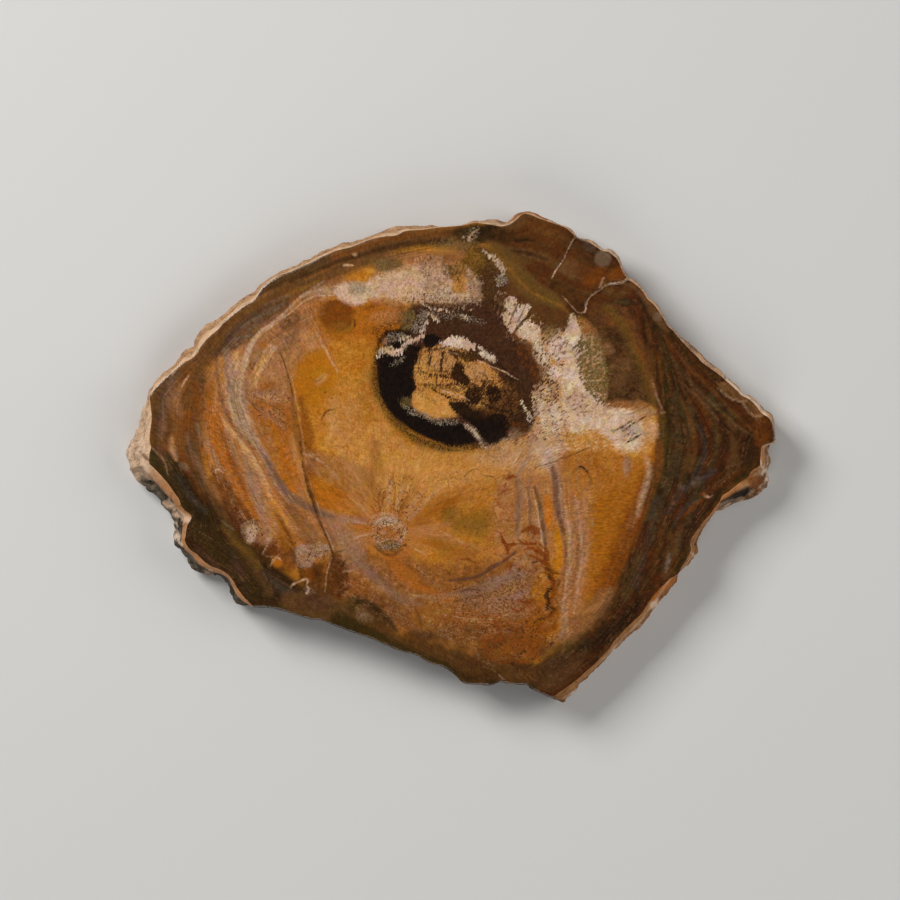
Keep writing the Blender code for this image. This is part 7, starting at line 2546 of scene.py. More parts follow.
NETWORK = Mineral("network", Tint.MAROON, Tint.UMBER, edge=Noise.SCRIBBLES, rag=1.0, marks=(
    area((480, 632), (506, 620), (540, 628), (552, 642), (540, 662), (510, 668), (484, 662), strength=0.7,
         soft=7, most=-1),
    area((456, 590), (500, 576), (530, 572), (530, 600), (490, 612), (462, 608), strength=0.45, soft=7,
         most=-1),
    area((298, 545), (328, 545), (326, 556), (312, 568), (298, 566), strength=0.5, soft=4, most=-1),
    area((250, 396), (290, 400), (292, 424), (266, 424), strength=0.45, soft=5, most=-1),
    area((374, 520), (402, 520), (406, 546), (376, 546), strength=0.5, soft=4, most=-1),
    area((416, 356), (480, 360), (500, 384), (490, 404), (446, 396), (418, 392), strength=0.35, soft=4,
         most=-1),
    area((242, 524), (258, 524), (258, 544), (244, 544), soft=3, most=-1),
    area((424, 262), (480, 270), (480, 300), (430, 298), strength=0.4, soft=4, most=-1),
    area((384, 488), (410, 480), (420, 500), (404, 516), (384, 514), strength=0.45, soft=5, most=-1),
))

SCRIBBLES = Mineral("scribbles", Tint.PEACH, Tint.RUSSET, edge=Noise.SCRIBBLES, rag=1.0, marks=(
    area((360, 476), (410, 484), (470, 468), (510, 474), (506, 500), (440, 512), (410, 520), (408, 550),
         (372, 552), (362, 520), strength=0.45, soft=7, most=-1),
    area((420, 516), (500, 500), (516, 540), (500, 570), (440, 570), (414, 550), strength=0.3, soft=7,
         most=-1),
    area((430, 580), (500, 566), (552, 560), (552, 640), (520, 668), (476, 656), (440, 620), strength=0.75,
         soft=7, most=-1),
    area((340, 560), (420, 560), (430, 600), (400, 624), (350, 600), strength=0.38, soft=7, most=-1),
    area((246, 350), (300, 316), (318, 340), (296, 372), (286, 430), (256, 430), strength=0.42, soft=7,
         most=-1),
    area((296, 546), (328, 546), (326, 556), (312, 566), (298, 566), soft=5, most=-1),
    area((520, 440), (600, 436), (616, 470), (560, 500), (516, 490), strength=0.32, soft=7, most=-1),
    area((330, 400), (372, 400), (400, 450), (480, 460), (440, 480), (360, 470), strength=0.2, soft=7,
         most=-1),
))

# The layers, from the first laid down to the last.
MINERALS = (
    LILAC_VEIL, VIOLET_LINES, PALE_VEIL, THREADS, STREAKS, SCRIBBLES,
    BLUSH_BAND, CHOCOLATE_HALO, BLACK_RING, EYE_CHECKS, SPRAY_CREAM, CREAM_PATCHES,
    OLIVE_SPECKLE, RUST_STIPPLE, DARK_STIPPLE, GREY_SPECKLE, GREY_WISPS, NETWORK, DARK_LINES, HATCH,
    PALE_LINES, RED_VEINLETS,
)

# Small hollows that the polish has left open: place in pixels, radius and depth in millimetres.
DENTS = ((219.0, 473.0, 1.3, 0.16), (260.0, 437.0, 0.8, 0.1), (285.0, 357.0, 0.8, 0.08))

@dataclass(frozen=True)
class Feature:
    """A noise's numbers: features in a unit, finer layers, their strength and how much it swirls."""

    scale: float = 1.0
    detail: float = 2.0
    roughness: float = 0.5
    swirl: float = 0.0


@dataclass(frozen=True)
class StoneNoises:
    """The stone's noises, with features in a millimetre where nothing else is said.

    Rings and threads are stretched along the wood's rings: features in a ring and in a turn. Rays and
    fibres run out from the pith: features round it and in a millimetre of their length.
    """

    coarse: Feature = Feature(0.30, 4.0, 0.6, 0.7)
    fine: Feature = Feature(0.85, 4.0, 0.68, 1.2)
    speckle: Feature = Feature(2.6, 1.0)
    scribbles: Feature = Feature(0.42, 2.0, 0.55, 1.8)
    scribble_sharpness: float = 15.0
    tinted: Feature = Feature(0.28, 2.0, 0.6, 1.0)
    ring_bend: float = 0.05
    rings: Feature = Feature(1.0, 4.0, 0.6)
    ring_stretch: Point = (26.0, 2.2)
    threads: Feature = Feature(1.0, 3.0, 0.55)
    thread_stretch: Point = (17.0, 3.0)
    thread_sharpness: float = 13.0
    rays: Feature = Feature(1.0, 4.0, 0.62, 0.3)
    ray_stretch: Point = (22.0, 0.16)
    ray_wobble: float = 3.2
    ray_break: float = 1.5
    fibres: Feature = Feature(1.0, 3.0, 0.6)
    fibre_stretch: Point = (120.0, 0.75)


@dataclass(frozen=True)
class Agate:
    """How the stone's grain shows: its contrast, its flecks and how its hue drifts."""

    fine_share: float = 0.45
    coarse_share: float = 0.55
    contrast: float = 3.9
    streak_gain: float = 0.6
    streak_start: float = 0.25
    speckle_share: float = 0.4
    mottle_share: float = 0.6
    fleck_gain: float = 2.4
    hue_drift: Colour = (0.3, 0.35, 1.1)


@dataclass(frozen=True)
class Layering:
    """How a mineral's edge and tints swing with their noises, and the softest edge it may have."""

    edge_swing: float = 4.0
    least_soft: float = 0.05
    contrast: float = 3.0


@dataclass(frozen=True)
class Polish:
    """The polished face: its least roughness, how much a noise adds, and its bump in metres."""

    roughness: float = 0.18
    unevenness: float = 0.12
    bump: float = 0.000004


@dataclass(frozen=True)
class Crust:
    """The weathered wall: how patchy its rind is, how much painted shade darkens its hollows, and how it
    shines.
    """

    broad_patches: float = 2.6
    fine_patches: float = 1.2
    broad_tints: float = 1.6
    fine_tints: float = 3.0
    bare_shade: float = 0.35
    hollow_share: float = 0.75
    hollow_shade: float = 0.85
    roughness: float = 0.9
    ribbon_polish: float = 0.45
    shine: float = 0.15
    bump: float = 0.00012


@dataclass(frozen=True)
class SawCut:
    """The sawn back: its tints, the middle and number of the saw's arcs in millimetres, its dullness."""

    tint: Colour = (0.42, 0.30, 0.20)
    dust: Colour = (0.52, 0.40, 0.29)
    tint_share: float = 0.35
    arc_middle: Point = (20.0, -160.0)
    arcs: float = 1.4
    mark: Feature = Feature(1.0, 3.0, 0.7)
    dust_contrast: float = 0.9
    dust_share: float = 0.18
    roughness: float = 0.72
    bump: float = 0.00006


BLACK = (0.0, 0.0, 0.0)


@dataclass
class Graph:
    """Builds a tree of nodes: each method adds a node and returns the socket that carries its result."""

    LINE_LOSS = 9.0

    tree: bpy.types.NodeTree

    def add(self, kind: str, **settings: object) -> bpy.types.Node:
        """Adds a node.

        Args:
            kind: Blender's name of the node.
            settings: Values for the node's own properties.
        """
        node = self.tree.nodes.new(kind)
        for name, value in settings.items():
            setattr(node, name, value)
        return node

    def feed(self, target: bpy.types.NodeSocket, value: object) -> None:
        """Puts a value on a socket, or links a socket to it.

        Args:
            target: The socket that takes the value.
            value: A number, a row of numbers or a socket.
        """
        if isinstance(value, bpy.types.NodeSocket):
            self.tree.links.new(value, target)
        elif hasattr(target.default_value, "__len__") and not hasattr(value, "__len__"):
            target.default_value = [value] * len(target.default_value)
        elif hasattr(value, "__len__"):
            target.default_value = [*value, 1.0][:len(target.default_value)]
        else:
            target.default_value = value

    def value(self, operation: str, *inputs: object, clamp: bool = False) -> bpy.types.NodeSocket:
        """Adds a sum on numbers.

        Args:
            operation: Blender's name of the sum.
            inputs: Numbers or sockets.
            clamp: Whether the result stays between 0 and 1.
        """
        node = self.add("ShaderNodeMath", operation=operation, use_clamp=clamp)
        for target, given in zip(node.inputs, inputs):
            self.feed(target, given)
        return node.outputs[0]

    def vector(self, operation: str, *inputs: object) -> bpy.types.NodeSocket:
        """Adds a sum on vectors.

        Args:
            operation: Blender's name of the sum.
            inputs: Vectors, numbers or sockets.
        """
        node = self.add("ShaderNodeVectorMath", operation=operation)
        sockets = [node.inputs["Scale"] if operation == "SCALE" and number == 1 else node.inputs[number]
                   for number in range(len(inputs))]
        for target, given in zip(sockets, inputs):
            self.feed(target, given)
        return node.outputs["Value"] if operation in ("LENGTH", "DOT_PRODUCT") else node.outputs[0]

    def blend(self, share: object, first: object, second: object, mode: str = "MIX") -> bpy.types.NodeSocket:
        """Adds a mix of two colours.

        Args:
            share: How much of the second.
            first: A colour or socket.
            second: A colour or socket.
            mode: Blender's name of the way of mixing.
        """
        node = self.add("ShaderNodeMix", data_type="RGBA", blend_type=mode)
        for target, given in zip((node.inputs[0], node.inputs[6], node.inputs[7]), (share, first, second)):
            self.feed(target, given)
        return node.outputs[2]

    def attribute(self, name: str) -> bpy.types.NodeSocket:
        """Reads a value that the mesh stores at its points."""
        return self.add("ShaderNodeAttribute", attribute_name=name).outputs["Vector"]

    def number(self, name: str) -> bpy.types.NodeSocket:
        """Reads a single number that the mesh stores at its points."""
        return self.add("ShaderNodeAttribute", attribute_name=name).outputs["Fac"]

    def off_middle(self, noise: object) -> bpy.types.NodeSocket:
        """Returns how far a noise is above its middle."""
        return self.value("SUBTRACT", noise, 0.5)

    def split(self, vector: bpy.types.NodeSocket) -> list[bpy.types.NodeSocket]:
        """Returns a vector's three numbers."""
        node = self.add("ShaderNodeSeparateXYZ")
        self.feed(node.inputs[0], vector)
        return list(node.outputs)

    def join(self, x: object, y: object, z: object) -> bpy.types.NodeSocket:
        """Returns a vector of three numbers.

        Args:
            x: First number or socket.
            y: Second number or socket.
            z: Third number or socket.

        Returns:
            The vector's socket.
        """
        node = self.add("ShaderNodeCombineXYZ")
        for target, given in zip(node.inputs, (x, y, z)):
            self.feed(target, given)
        return node.outputs[0]

    def noise(self, place: object, feature: Feature, coloured: bool = False) -> bpy.types.NodeSocket:
        """Adds a noise.

        Args:
            place: Where it is read.
            feature: Its numbers.
            coloured: Whether it gives three noises as a colour, not one.
        """
        node = self.add("ShaderNodeTexNoise")
        given = {"Vector": place, "Scale": feature.scale, "Detail": feature.detail,
                 "Roughness": feature.roughness, "Distortion": feature.swirl}
        for name, value in given.items():
            self.feed(node.inputs[name], value)
        return node.outputs["Color"] if coloured else node.outputs[0]

    def thin(self, noise: object, gaps: object, sharpness: float) -> bpy.types.NodeSocket:
        """Returns thin lines where a noise crosses its middle, broken where another one is low.

        Args:
            noise: The noise.
            gaps: The noise that breaks the lines.
            sharpness: How thin they are.
        """
        off = self.value("ABSOLUTE", self.off_middle(noise))
        lost = self.value("MULTIPLY", self.value("SUBTRACT", 0.5, gaps), self.LINE_LOSS, clamp=True)
        return self.value("SUBTRACT", self.value("MULTIPLY_ADD", off, -sharpness, 1.0), lost, clamp=True)

    def group(self, made: bpy.types.NodeTree, **inputs: object) -> bpy.types.Node:
        """Adds a group node.

        Args:
            made: The group.
            inputs: Values or sockets for its inputs, by name.
        """
        kind = "GeometryNodeGroup" if made.bl_idname == "GeometryNodeTree" else "ShaderNodeGroup"
        node = self.add(kind, node_tree=made)
        for name, value in inputs.items():
            self.feed(node.inputs[name], value)
        return node


def new_group(name: str, inputs: dict[str, str], outputs: dict[str, str]) -> tuple[
        bpy.types.NodeTree, Graph, dict[str, bpy.types.NodeSocket], bpy.types.Node]:
    """Makes an empty shader group with named inputs and outputs.

    Args:
        name: The group's name.
        inputs: Kind of socket by name.
        outputs: Kind of socket by name.

    Returns:
        The group, its graph, its inputs' sockets by name, and its output node.
    """
    tree = bpy.data.node_groups.new(name, "ShaderNodeTree")
    for label, kind in inputs.items():
        tree.interface.new_socket(label, in_out="INPUT", socket_type=f"NodeSocket{kind}")
    for label, kind in outputs.items():
        tree.interface.new_socket(label, in_out="OUTPUT", socket_type=f"NodeSocket{kind}")
    graph = Graph(tree)
    given = {socket.name: socket for socket in graph.add("NodeGroupInput").outputs if socket.name}
    return tree, graph, given, graph.add("NodeGroupOutput")


class StoneShaders:
    """The node groups and materials of the slab."""

    def __init__(self, minerals: tuple[Mineral, ...]) -> None:
        """Builds the groups.

        Args:
            minerals: The layers, from the first laid down to the last.
        """
        self.noises = self.make_noises()
        self.layer = self.make_layer()
        self.agate = self.make_agate(minerals)

    @staticmethod
    def make_noises() -> bpy.types.NodeTree:
        """Makes the group of the stone's noises, in millimetres and along the wood's rings and rays."""
        tree, graph, _, result = new_group(
            "Stone noises", {}, {**{kind.value: "Float" for kind in Noise}, "Drift": "Color"})
        place = graph.vector("SCALE", graph.add("ShaderNodeTexCoord").outputs["Object"], 1.0 / MM)
        pith = (*Photo.to_millimetres(*PITH), 0.0)
        offset = graph.vector("MULTIPLY", graph.vector("SUBTRACT", place, pith), (1.0, 1.0, 0.0))
        reach = graph.vector("LENGTH", offset)
        across, down, _ = graph.split(graph.vector("NORMALIZE", offset))
        coarse = graph.noise(place, StoneNoises.coarse)
        fine = graph.noise(place, StoneNoises.fine)
        bent = graph.value("MULTIPLY_ADD", coarse, StoneNoises.ring_bend, graph.number("ring"))

        def along(rings: float, turns: float) -> bpy.types.NodeSocket:
            """Returns a place that is stretched along the rings, by features in a ring and in a turn."""
            return graph.join(graph.value("MULTIPLY", bent, rings), graph.value("MULTIPLY", across, turns),
                              graph.value("MULTIPLY", down, turns))

        turns, length = StoneNoises.ray_stretch
        wobble = graph.value("MULTIPLY_ADD", fine, StoneNoises.ray_wobble, -0.5 * StoneNoises.ray_wobble)
        broken = graph.value("MULTIPLY", coarse, StoneNoises.ray_break)
        rays = graph.join(graph.value("MULTIPLY_ADD", across, turns, wobble),
                          graph.value("MULTIPLY_ADD", down, turns, wobble),
                          graph.value("MULTIPLY_ADD", reach, length, broken))
        turns, length = StoneNoises.fibre_stretch
        fibres = graph.join(graph.value("MULTIPLY", across, turns), graph.value("MULTIPLY", down, turns),
                            graph.value("MULTIPLY", reach, length))
        threads = graph.noise(along(*StoneNoises.thread_stretch), StoneNoises.threads)
        scribbles = graph.noise(place, StoneNoises.scribbles)
        made = {
            Noise.COARSE: coarse,
            Noise.FINE: fine,
            Noise.SPECKLE: graph.noise(place, StoneNoises.speckle),
            Noise.RINGS: graph.noise(along(*StoneNoises.ring_stretch), StoneNoises.rings),
            Noise.THREADS: graph.thin(threads, fine, StoneNoises.thread_sharpness),
            Noise.SCRIBBLES: graph.thin(scribbles, coarse, StoneNoises.scribble_sharpness),
            Noise.RAYS: graph.noise(rays, StoneNoises.rays),
            Noise.FIBRES: graph.noise(fibres, StoneNoises.fibres),
        }
        for kind, socket in made.items():
            graph.feed(result.inputs[kind.value], socket)
        tinted = graph.noise(place, StoneNoises.tinted, coloured=True)
        drift = graph.vector("SUBTRACT", tinted, (0.5, 0.5, 0.5))
        drift = graph.vector("MULTIPLY_ADD", drift, Agate.hue_drift, (1.0, 1.0, 1.0))
        graph.feed(result.inputs["Drift"], drift)
        return tree

    @staticmethod
    def make_layer() -> bpy.types.NodeTree:
        """Makes the group that lays one mineral over what is below it."""
        tree, graph, given, result = new_group(
            "Mineral layer",
            {"Base": "Color", "Layer": "Vector", "Edge": "Float", "Shade": "Float", "Rag": "Float",
             "Gaps": "Float", "Light": "Color", "Dark": "Color"},
            {"Color": "Color"},
        )
        depth, strength, soft = graph.split(given["Layer"])
        wave = graph.value("MULTIPLY", graph.off_middle(given["Edge"]), Layering.edge_swing)
        moved = graph.value("MULTIPLY_ADD", wave, given["Rag"], depth)
        soft = graph.value("MAXIMUM", soft, Layering.least_soft)
        share = graph.value("ADD", graph.value("DIVIDE", moved, soft), 0.5, clamp=True)
        thinned = graph.value("MULTIPLY", strength, graph.value("MULTIPLY_ADD", wave, given["Gaps"], 1.0))
        cover = graph.value("MULTIPLY", share, thinned, clamp=True)
        shade = graph.value("MULTIPLY_ADD", graph.off_middle(given["Shade"]), Layering.contrast, 0.5,
                            clamp=True)
        tint = graph.blend(shade, given["Dark"], given["Light"])
        graph.feed(result.inputs["Color"], graph.blend(cover, given["Base"], tint))
        return tree

    def make_agate(self, minerals: tuple[Mineral, ...]) -> bpy.types.NodeTree:
        """Makes the group of the stone's whole colour: the ground and every mineral on it.

        Args:
            minerals: The layers, from the first laid down to the last.
        """
        results = {"Color": "Color", "Fine": "Float", "Coarse": "Float"}
        tree, graph, _, result = new_group("Agate", {}, results)
        noises = graph.group(self.noises).outputs
        rings, rays, speckle = graph.split(graph.attribute("grain"))
        cloud = graph.value("MULTIPLY_ADD", noises["Fine"], Agate.fine_share,
                            graph.value("MULTIPLY", noises["Coarse"], Agate.coarse_share))
        wave = graph.off_middle(cloud)
        for weight, kind in ((rings, Noise.RINGS), (rays, Noise.RAYS), (speckle, Noise.SPECKLE)):
            other = graph.off_middle(noises[kind.value])
            wave = graph.value("MULTIPLY_ADD", weight, graph.value("SUBTRACT", other, wave), wave)
        share = graph.value("MULTIPLY_ADD", wave, Agate.contrast, 0.5, clamp=True)
        colour = graph.blend(share, graph.attribute("ground_dark"), graph.attribute("ground_light"))
        for mineral in minerals:
            colour = graph.group(
                self.layer, Base=colour, Layer=graph.attribute(mineral.name),
                Edge=noises[mineral.edge.value], Shade=noises[mineral.shade.value], Rag=mineral.rag,
                Gaps=mineral.gaps, Light=mineral.light.linear, Dark=mineral.dark.linear,
            ).outputs["Color"]
        streaky = graph.value("MULTIPLY_ADD", graph.value("ADD", rings, rays), Agate.streak_gain,
                              Agate.streak_start, clamp=True)
        dots = graph.value("MULTIPLY_ADD", noises["Speckle"], Agate.speckle_share,
                           graph.value("MULTIPLY", noises["Fine"], Agate.mottle_share))
        fleck = graph.value("MULTIPLY_ADD", streaky, graph.value("SUBTRACT", noises["Fibres"], dots), dots)
        grit = graph.value("MULTIPLY", graph.number("grit"), Agate.fleck_gain)
        gain = graph.value("MULTIPLY_ADD", graph.off_middle(fleck), grit, 1.0)
        colour = graph.vector("MULTIPLY", graph.vector("SCALE", colour, gain), noises["Drift"])
        graph.feed(result.inputs["Color"], colour)
        graph.feed(result.inputs["Fine"], noises["Fine"])
        graph.feed(result.inputs["Coarse"], noises["Coarse"])
        return tree

    @staticmethod
    def start(name: str) -> tuple[bpy.types.Material, Graph, bpy.types.Node]:
        """Makes a material with a plain surface node.

        Args:
            name: The material's name.

        Returns:
            The material, its graph and its surface node.
        """
        material = bpy.data.materials.new(name)
        material.use_nodes = True
        return material, Graph(material.node_tree), material.node_tree.nodes["Principled BSDF"]

    @staticmethod
    def bump(graph: Graph, height: bpy.types.NodeSocket, depth: float) -> bpy.types.NodeSocket:
        """Returns a surface direction from a height.

        Args:
            graph: The material's graph.
            height: The height, as a share of the depth.
            depth: Its full depth in metres.
        """
        node = graph.add("ShaderNodeBump")
        graph.feed(node.inputs["Height"], height)
        graph.feed(node.inputs["Distance"], depth)
        return node.outputs["Normal"]

    def polished(self) -> bpy.types.Material:
        """Returns the polished face's material."""
        material, graph, surface = self.start("polished face")
        agate = graph.group(self.agate).outputs
        graph.feed(surface.inputs["Base Color"], agate["Color"])
        rough = graph.value("MULTIPLY_ADD", agate["Fine"], Polish.unevenness, Polish.roughness)
        graph.feed(surface.inputs["Roughness"], rough)
        graph.feed(surface.inputs["Normal"], self.bump(graph, agate["Coarse"], Polish.bump))
        return material

    def weathered(self) -> bpy.types.Material:
        """Returns the rough wall's material: the rind's two colours over the stone, with painted shade in
        its hollows.
        """
        material, graph, surface = self.start("weathered rind")
        agate = graph.group(self.agate).outputs
        noises = graph.group(self.noises).outputs
        broad, fine = graph.off_middle(noises["Coarse"]), graph.off_middle(noises["Fine"])
        patchy = graph.value("MULTIPLY_ADD", broad, Crust.broad_patches, graph.number("rind_cover"))
        patchy = graph.value("MULTIPLY_ADD", fine, Crust.fine_patches, patchy, clamp=True)
        share = graph.value("MULTIPLY_ADD", fine, Crust.fine_tints, 0.5)
        share = graph.value("MULTIPLY_ADD", broad, Crust.broad_tints, share, clamp=True)
        crust = graph.blend(share, graph.attribute("rind_dark"), graph.attribute("rind_light"))
        stone = graph.blend(Crust.bare_shade, agate["Color"], BLACK)
        colour = graph.blend(patchy, stone, crust)
        # Painted shade: the colour darkens where the relief cuts deepest.
        hollow = graph.value("MULTIPLY", graph.number("cut"), Crust.hollow_share, clamp=True)
        colour = graph.blend(hollow, colour, graph.blend(Crust.hollow_shade, colour, BLACK))
        graph.feed(surface.inputs["Base Color"], colour)
        rough = graph.value("MULTIPLY_ADD", graph.number("ribbon"), -Crust.ribbon_polish, Crust.roughness)
        graph.feed(surface.inputs["Roughness"], rough)
        graph.feed(surface.inputs["Specular IOR Level"], Crust.shine)
        graph.feed(surface.inputs["Normal"], self.bump(graph, noises["Speckle"], Crust.bump))
        return material

    def sawn(self) -> bpy.types.Material:
        """Returns the sawn back's material: the same stone, dull and pale, with the saw's fine marks."""
        material, graph, surface = self.start("sawn back")
        agate = graph.group(self.agate).outputs
        place = graph.vector("SCALE", graph.add("ShaderNodeTexCoord").outputs["Object"], 1.0 / MM)
        x, y, _ = graph.split(place)
        middle_x, middle_y = SawCut.arc_middle
        arc = graph.vector("LENGTH", graph.join(graph.value("SUBTRACT", x, middle_x),
                                                graph.value("SUBTRACT", y, middle_y), 0.0))
        marks = graph.noise(graph.join(graph.value("MULTIPLY", arc, SawCut.arcs), 0.0, 0.0), SawCut.mark)
        dull = graph.blend(SawCut.tint_share, agate["Color"], SawCut.tint)
        dust = graph.value("MULTIPLY_ADD", graph.off_middle(marks), SawCut.dust_contrast,
                           SawCut.dust_share, clamp=True)
        graph.feed(surface.inputs["Base Color"], graph.blend(dust, dull, SawCut.dust))
        graph.feed(surface.inputs["Roughness"], SawCut.roughness)
        graph.feed(surface.inputs["Normal"], self.bump(graph, marks, SawCut.bump))
        return material


@dataclass(frozen=True)
class Weathering:
    """The rind's fine relief: a modifier that sinks the wall by noise and remembers how far."""

    grain_size: float = 1.1
    grain_depth: float = 0.55
    pit_size: float = 2.0
    pit_depth: float = 0.7
    seed: float = 4.0
    swell: float = 0.3
    grain: Feature = Feature(1.0, 3.0, 0.6)
    grain_contrast: float = 2.4
    grain_level: float = 0.35
    pit_steepness: float = 2.6
    pit_level: float = 1.25
    pitted_ground: Feature = Feature(0.22, 1.0)
    pitted_from: float = 0.45
    pitted_contrast: float = 5.0
    pitted_level: float = 0.3

    def tree(self, materials: tuple[bpy.types.Material, ...]) -> bpy.types.NodeTree:
        """Makes the modifier's node tree.

        Args:
            materials: The materials of the face, the wall and the back.
        """
        tree = bpy.data.node_groups.new("Weathering", "GeometryNodeTree")
        tree.interface.new_socket("Geometry", in_out="INPUT", socket_type="NodeSocketGeometry")
        for label in ("Grain size", "Grain depth", "Pit size", "Pit depth", "Seed", "Swell"):
            tree.interface.new_socket(label, in_out="INPUT", socket_type="NodeSocketFloat")
        tree.interface.new_socket("Geometry", in_out="OUTPUT", socket_type="NodeSocketGeometry")
        graph = Graph(tree)
        given = graph.add("NodeGroupInput").outputs
        weight = self.named(graph, "relief_weight", "FLOAT")
        outward = self.named(graph, "outward", "FLOAT_VECTOR")
        place = graph.vector("SCALE", graph.add("GeometryNodeInputPosition").outputs[0], 1.0 / MM)
        place = graph.vector("ADD", place, graph.join(given["Seed"], given["Seed"], given["Seed"]))
        grain_scale = graph.value("DIVIDE", 1.0, given["Grain size"])
        grain = graph.noise(graph.vector("SCALE", place, grain_scale), self.grain)
        cells = graph.add("ShaderNodeTexVoronoi", feature="SMOOTH_F1")
        pit_scale = graph.value("DIVIDE", 1.0, given["Pit size"])
        graph.feed(cells.inputs["Vector"], graph.vector("SCALE", place, pit_scale))
        graph.feed(cells.inputs["Scale"], 1.0)
        where = graph.value("SUBTRACT", graph.noise(place, self.pitted_ground), self.pitted_from)
        few = graph.value("MULTIPLY_ADD", where, self.pitted_contrast, self.pitted_level, clamp=True)
        round_pit = graph.value("MULTIPLY_ADD", cells.outputs["Distance"], -self.pit_steepness,
                                self.pit_level, clamp=True)
        pit = graph.value("MULTIPLY", round_pit, few)
        grain_cut = graph.value("MULTIPLY_ADD", graph.off_middle(grain), self.grain_contrast,
                                self.grain_level, clamp=True)
        cut = graph.value("ADD", graph.value("MULTIPLY", grain_cut, given["Grain depth"]),
                          graph.value("MULTIPLY", pit, given["Pit depth"]))
        cut = graph.value("MULTIPLY", cut, weight)
        rise = graph.value("SUBTRACT", graph.value("MULTIPLY", weight, given["Swell"]), cut)
        move = graph.vector("SCALE", outward, graph.value("MULTIPLY", rise, MM))
        store = graph.add("GeometryNodeStoreNamedAttribute", data_type="FLOAT", domain="POINT")
        graph.feed(store.inputs["Geometry"], given["Geometry"])
        store.inputs["Name"].default_value = "cut"
        graph.feed(store.inputs["Value"], cut)
        push = graph.add("GeometryNodeSetPosition")
        graph.feed(push.inputs["Geometry"], store.outputs[0])
        graph.feed(push.inputs["Offset"], move)
        real = graph.add("GeometryNodeRealizeInstances")
        graph.feed(real.inputs[0], push.outputs[0])
        shape = real.outputs[0]
        surface = self.named(graph, "surface", "INT")
        for number, material in enumerate(materials):
            chosen = graph.add("FunctionNodeCompare", data_type="INT", operation="EQUAL")
            graph.feed(chosen.inputs[2], surface)
            graph.feed(chosen.inputs[3], number)
            paint = graph.add("GeometryNodeSetMaterial")
            graph.feed(paint.inputs["Geometry"], shape)
            graph.feed(paint.inputs["Selection"], chosen.outputs[0])
            paint.inputs["Material"].default_value = material
            shape = paint.outputs[0]
        graph.feed(graph.add("NodeGroupOutput").inputs[0], shape)
        return tree

    @staticmethod
    def named(graph: Graph, name: str, kind: str) -> bpy.types.NodeSocket:
        """Reads a named value of the mesh.

        Args:
            graph: The tree's graph.
            name: The value's name.
            kind: Blender's name of its type.
        """
        node = graph.add("GeometryNodeInputNamedAttribute", data_type=kind)
        node.inputs["Name"].default_value = name
        return node.outputs["Attribute"]

    def apply(self, slab: bpy.types.Object, materials: tuple[bpy.types.Material, ...]) -> None:
        """Runs the modifier on the slab and keeps its result as a plain mesh.

        Args:
            slab: The slab's object.
            materials: The materials of the face, the wall and the back.
        """
        modifier = slab.modifiers.new("Weathering", "NODES")
        modifier.node_group = self.tree(materials)
        values = (self.grain_size, self.grain_depth, self.pit_size, self.pit_depth, self.seed, self.swell)
        inputs = [item for item in modifier.node_group.interface.items_tree
                  if item.in_out == "INPUT" and item.socket_type == "NodeSocketFloat"]
        for item, value in zip(inputs, values):
            modifier[item.identifier] = value
        made = bpy.data.meshes.new_from_object(slab.evaluated_get(bpy.context.evaluated_depsgraph_get()))
        slab.modifiers.clear()
        slab.data = made


def store(mesh: bpy.types.Mesh, name: str, values: np.ndarray, kind: str = "FLOAT_VECTOR",
          domain: str = "POINT") -> None:
    """Stores values on a mesh.

    Args:
        mesh: The mesh.
        name: The values' name.
        values: One row or number for each point or face.
        kind: Blender's name of their type.
        domain: Whether they belong to points or faces.
    """
    holder = mesh.attributes.new(name, kind, domain)
    holder.data.foreach_set("vector" if kind == "FLOAT_VECTOR" else "value", np.asarray(values).ravel())


# The rings are measured from every fifth point of the face's edge.
OUTLINE_STEP = 5


@dataclass(frozen=True)
class Sway:
    """How far the rind's looks wander sideways on their way down the wall.

    The wall's own looks wander by a share of the rim, and the painted chips by a reach in pixels. Both
    have a size along the wall in pixels and a number of turns down it.
    """

    rim_share: float = 0.05
    rim_size: float = 16.0
    rim_turns: float = 1.8
    reach: float = 16.0
    size: float = 12.0
    turns: float = 2.5


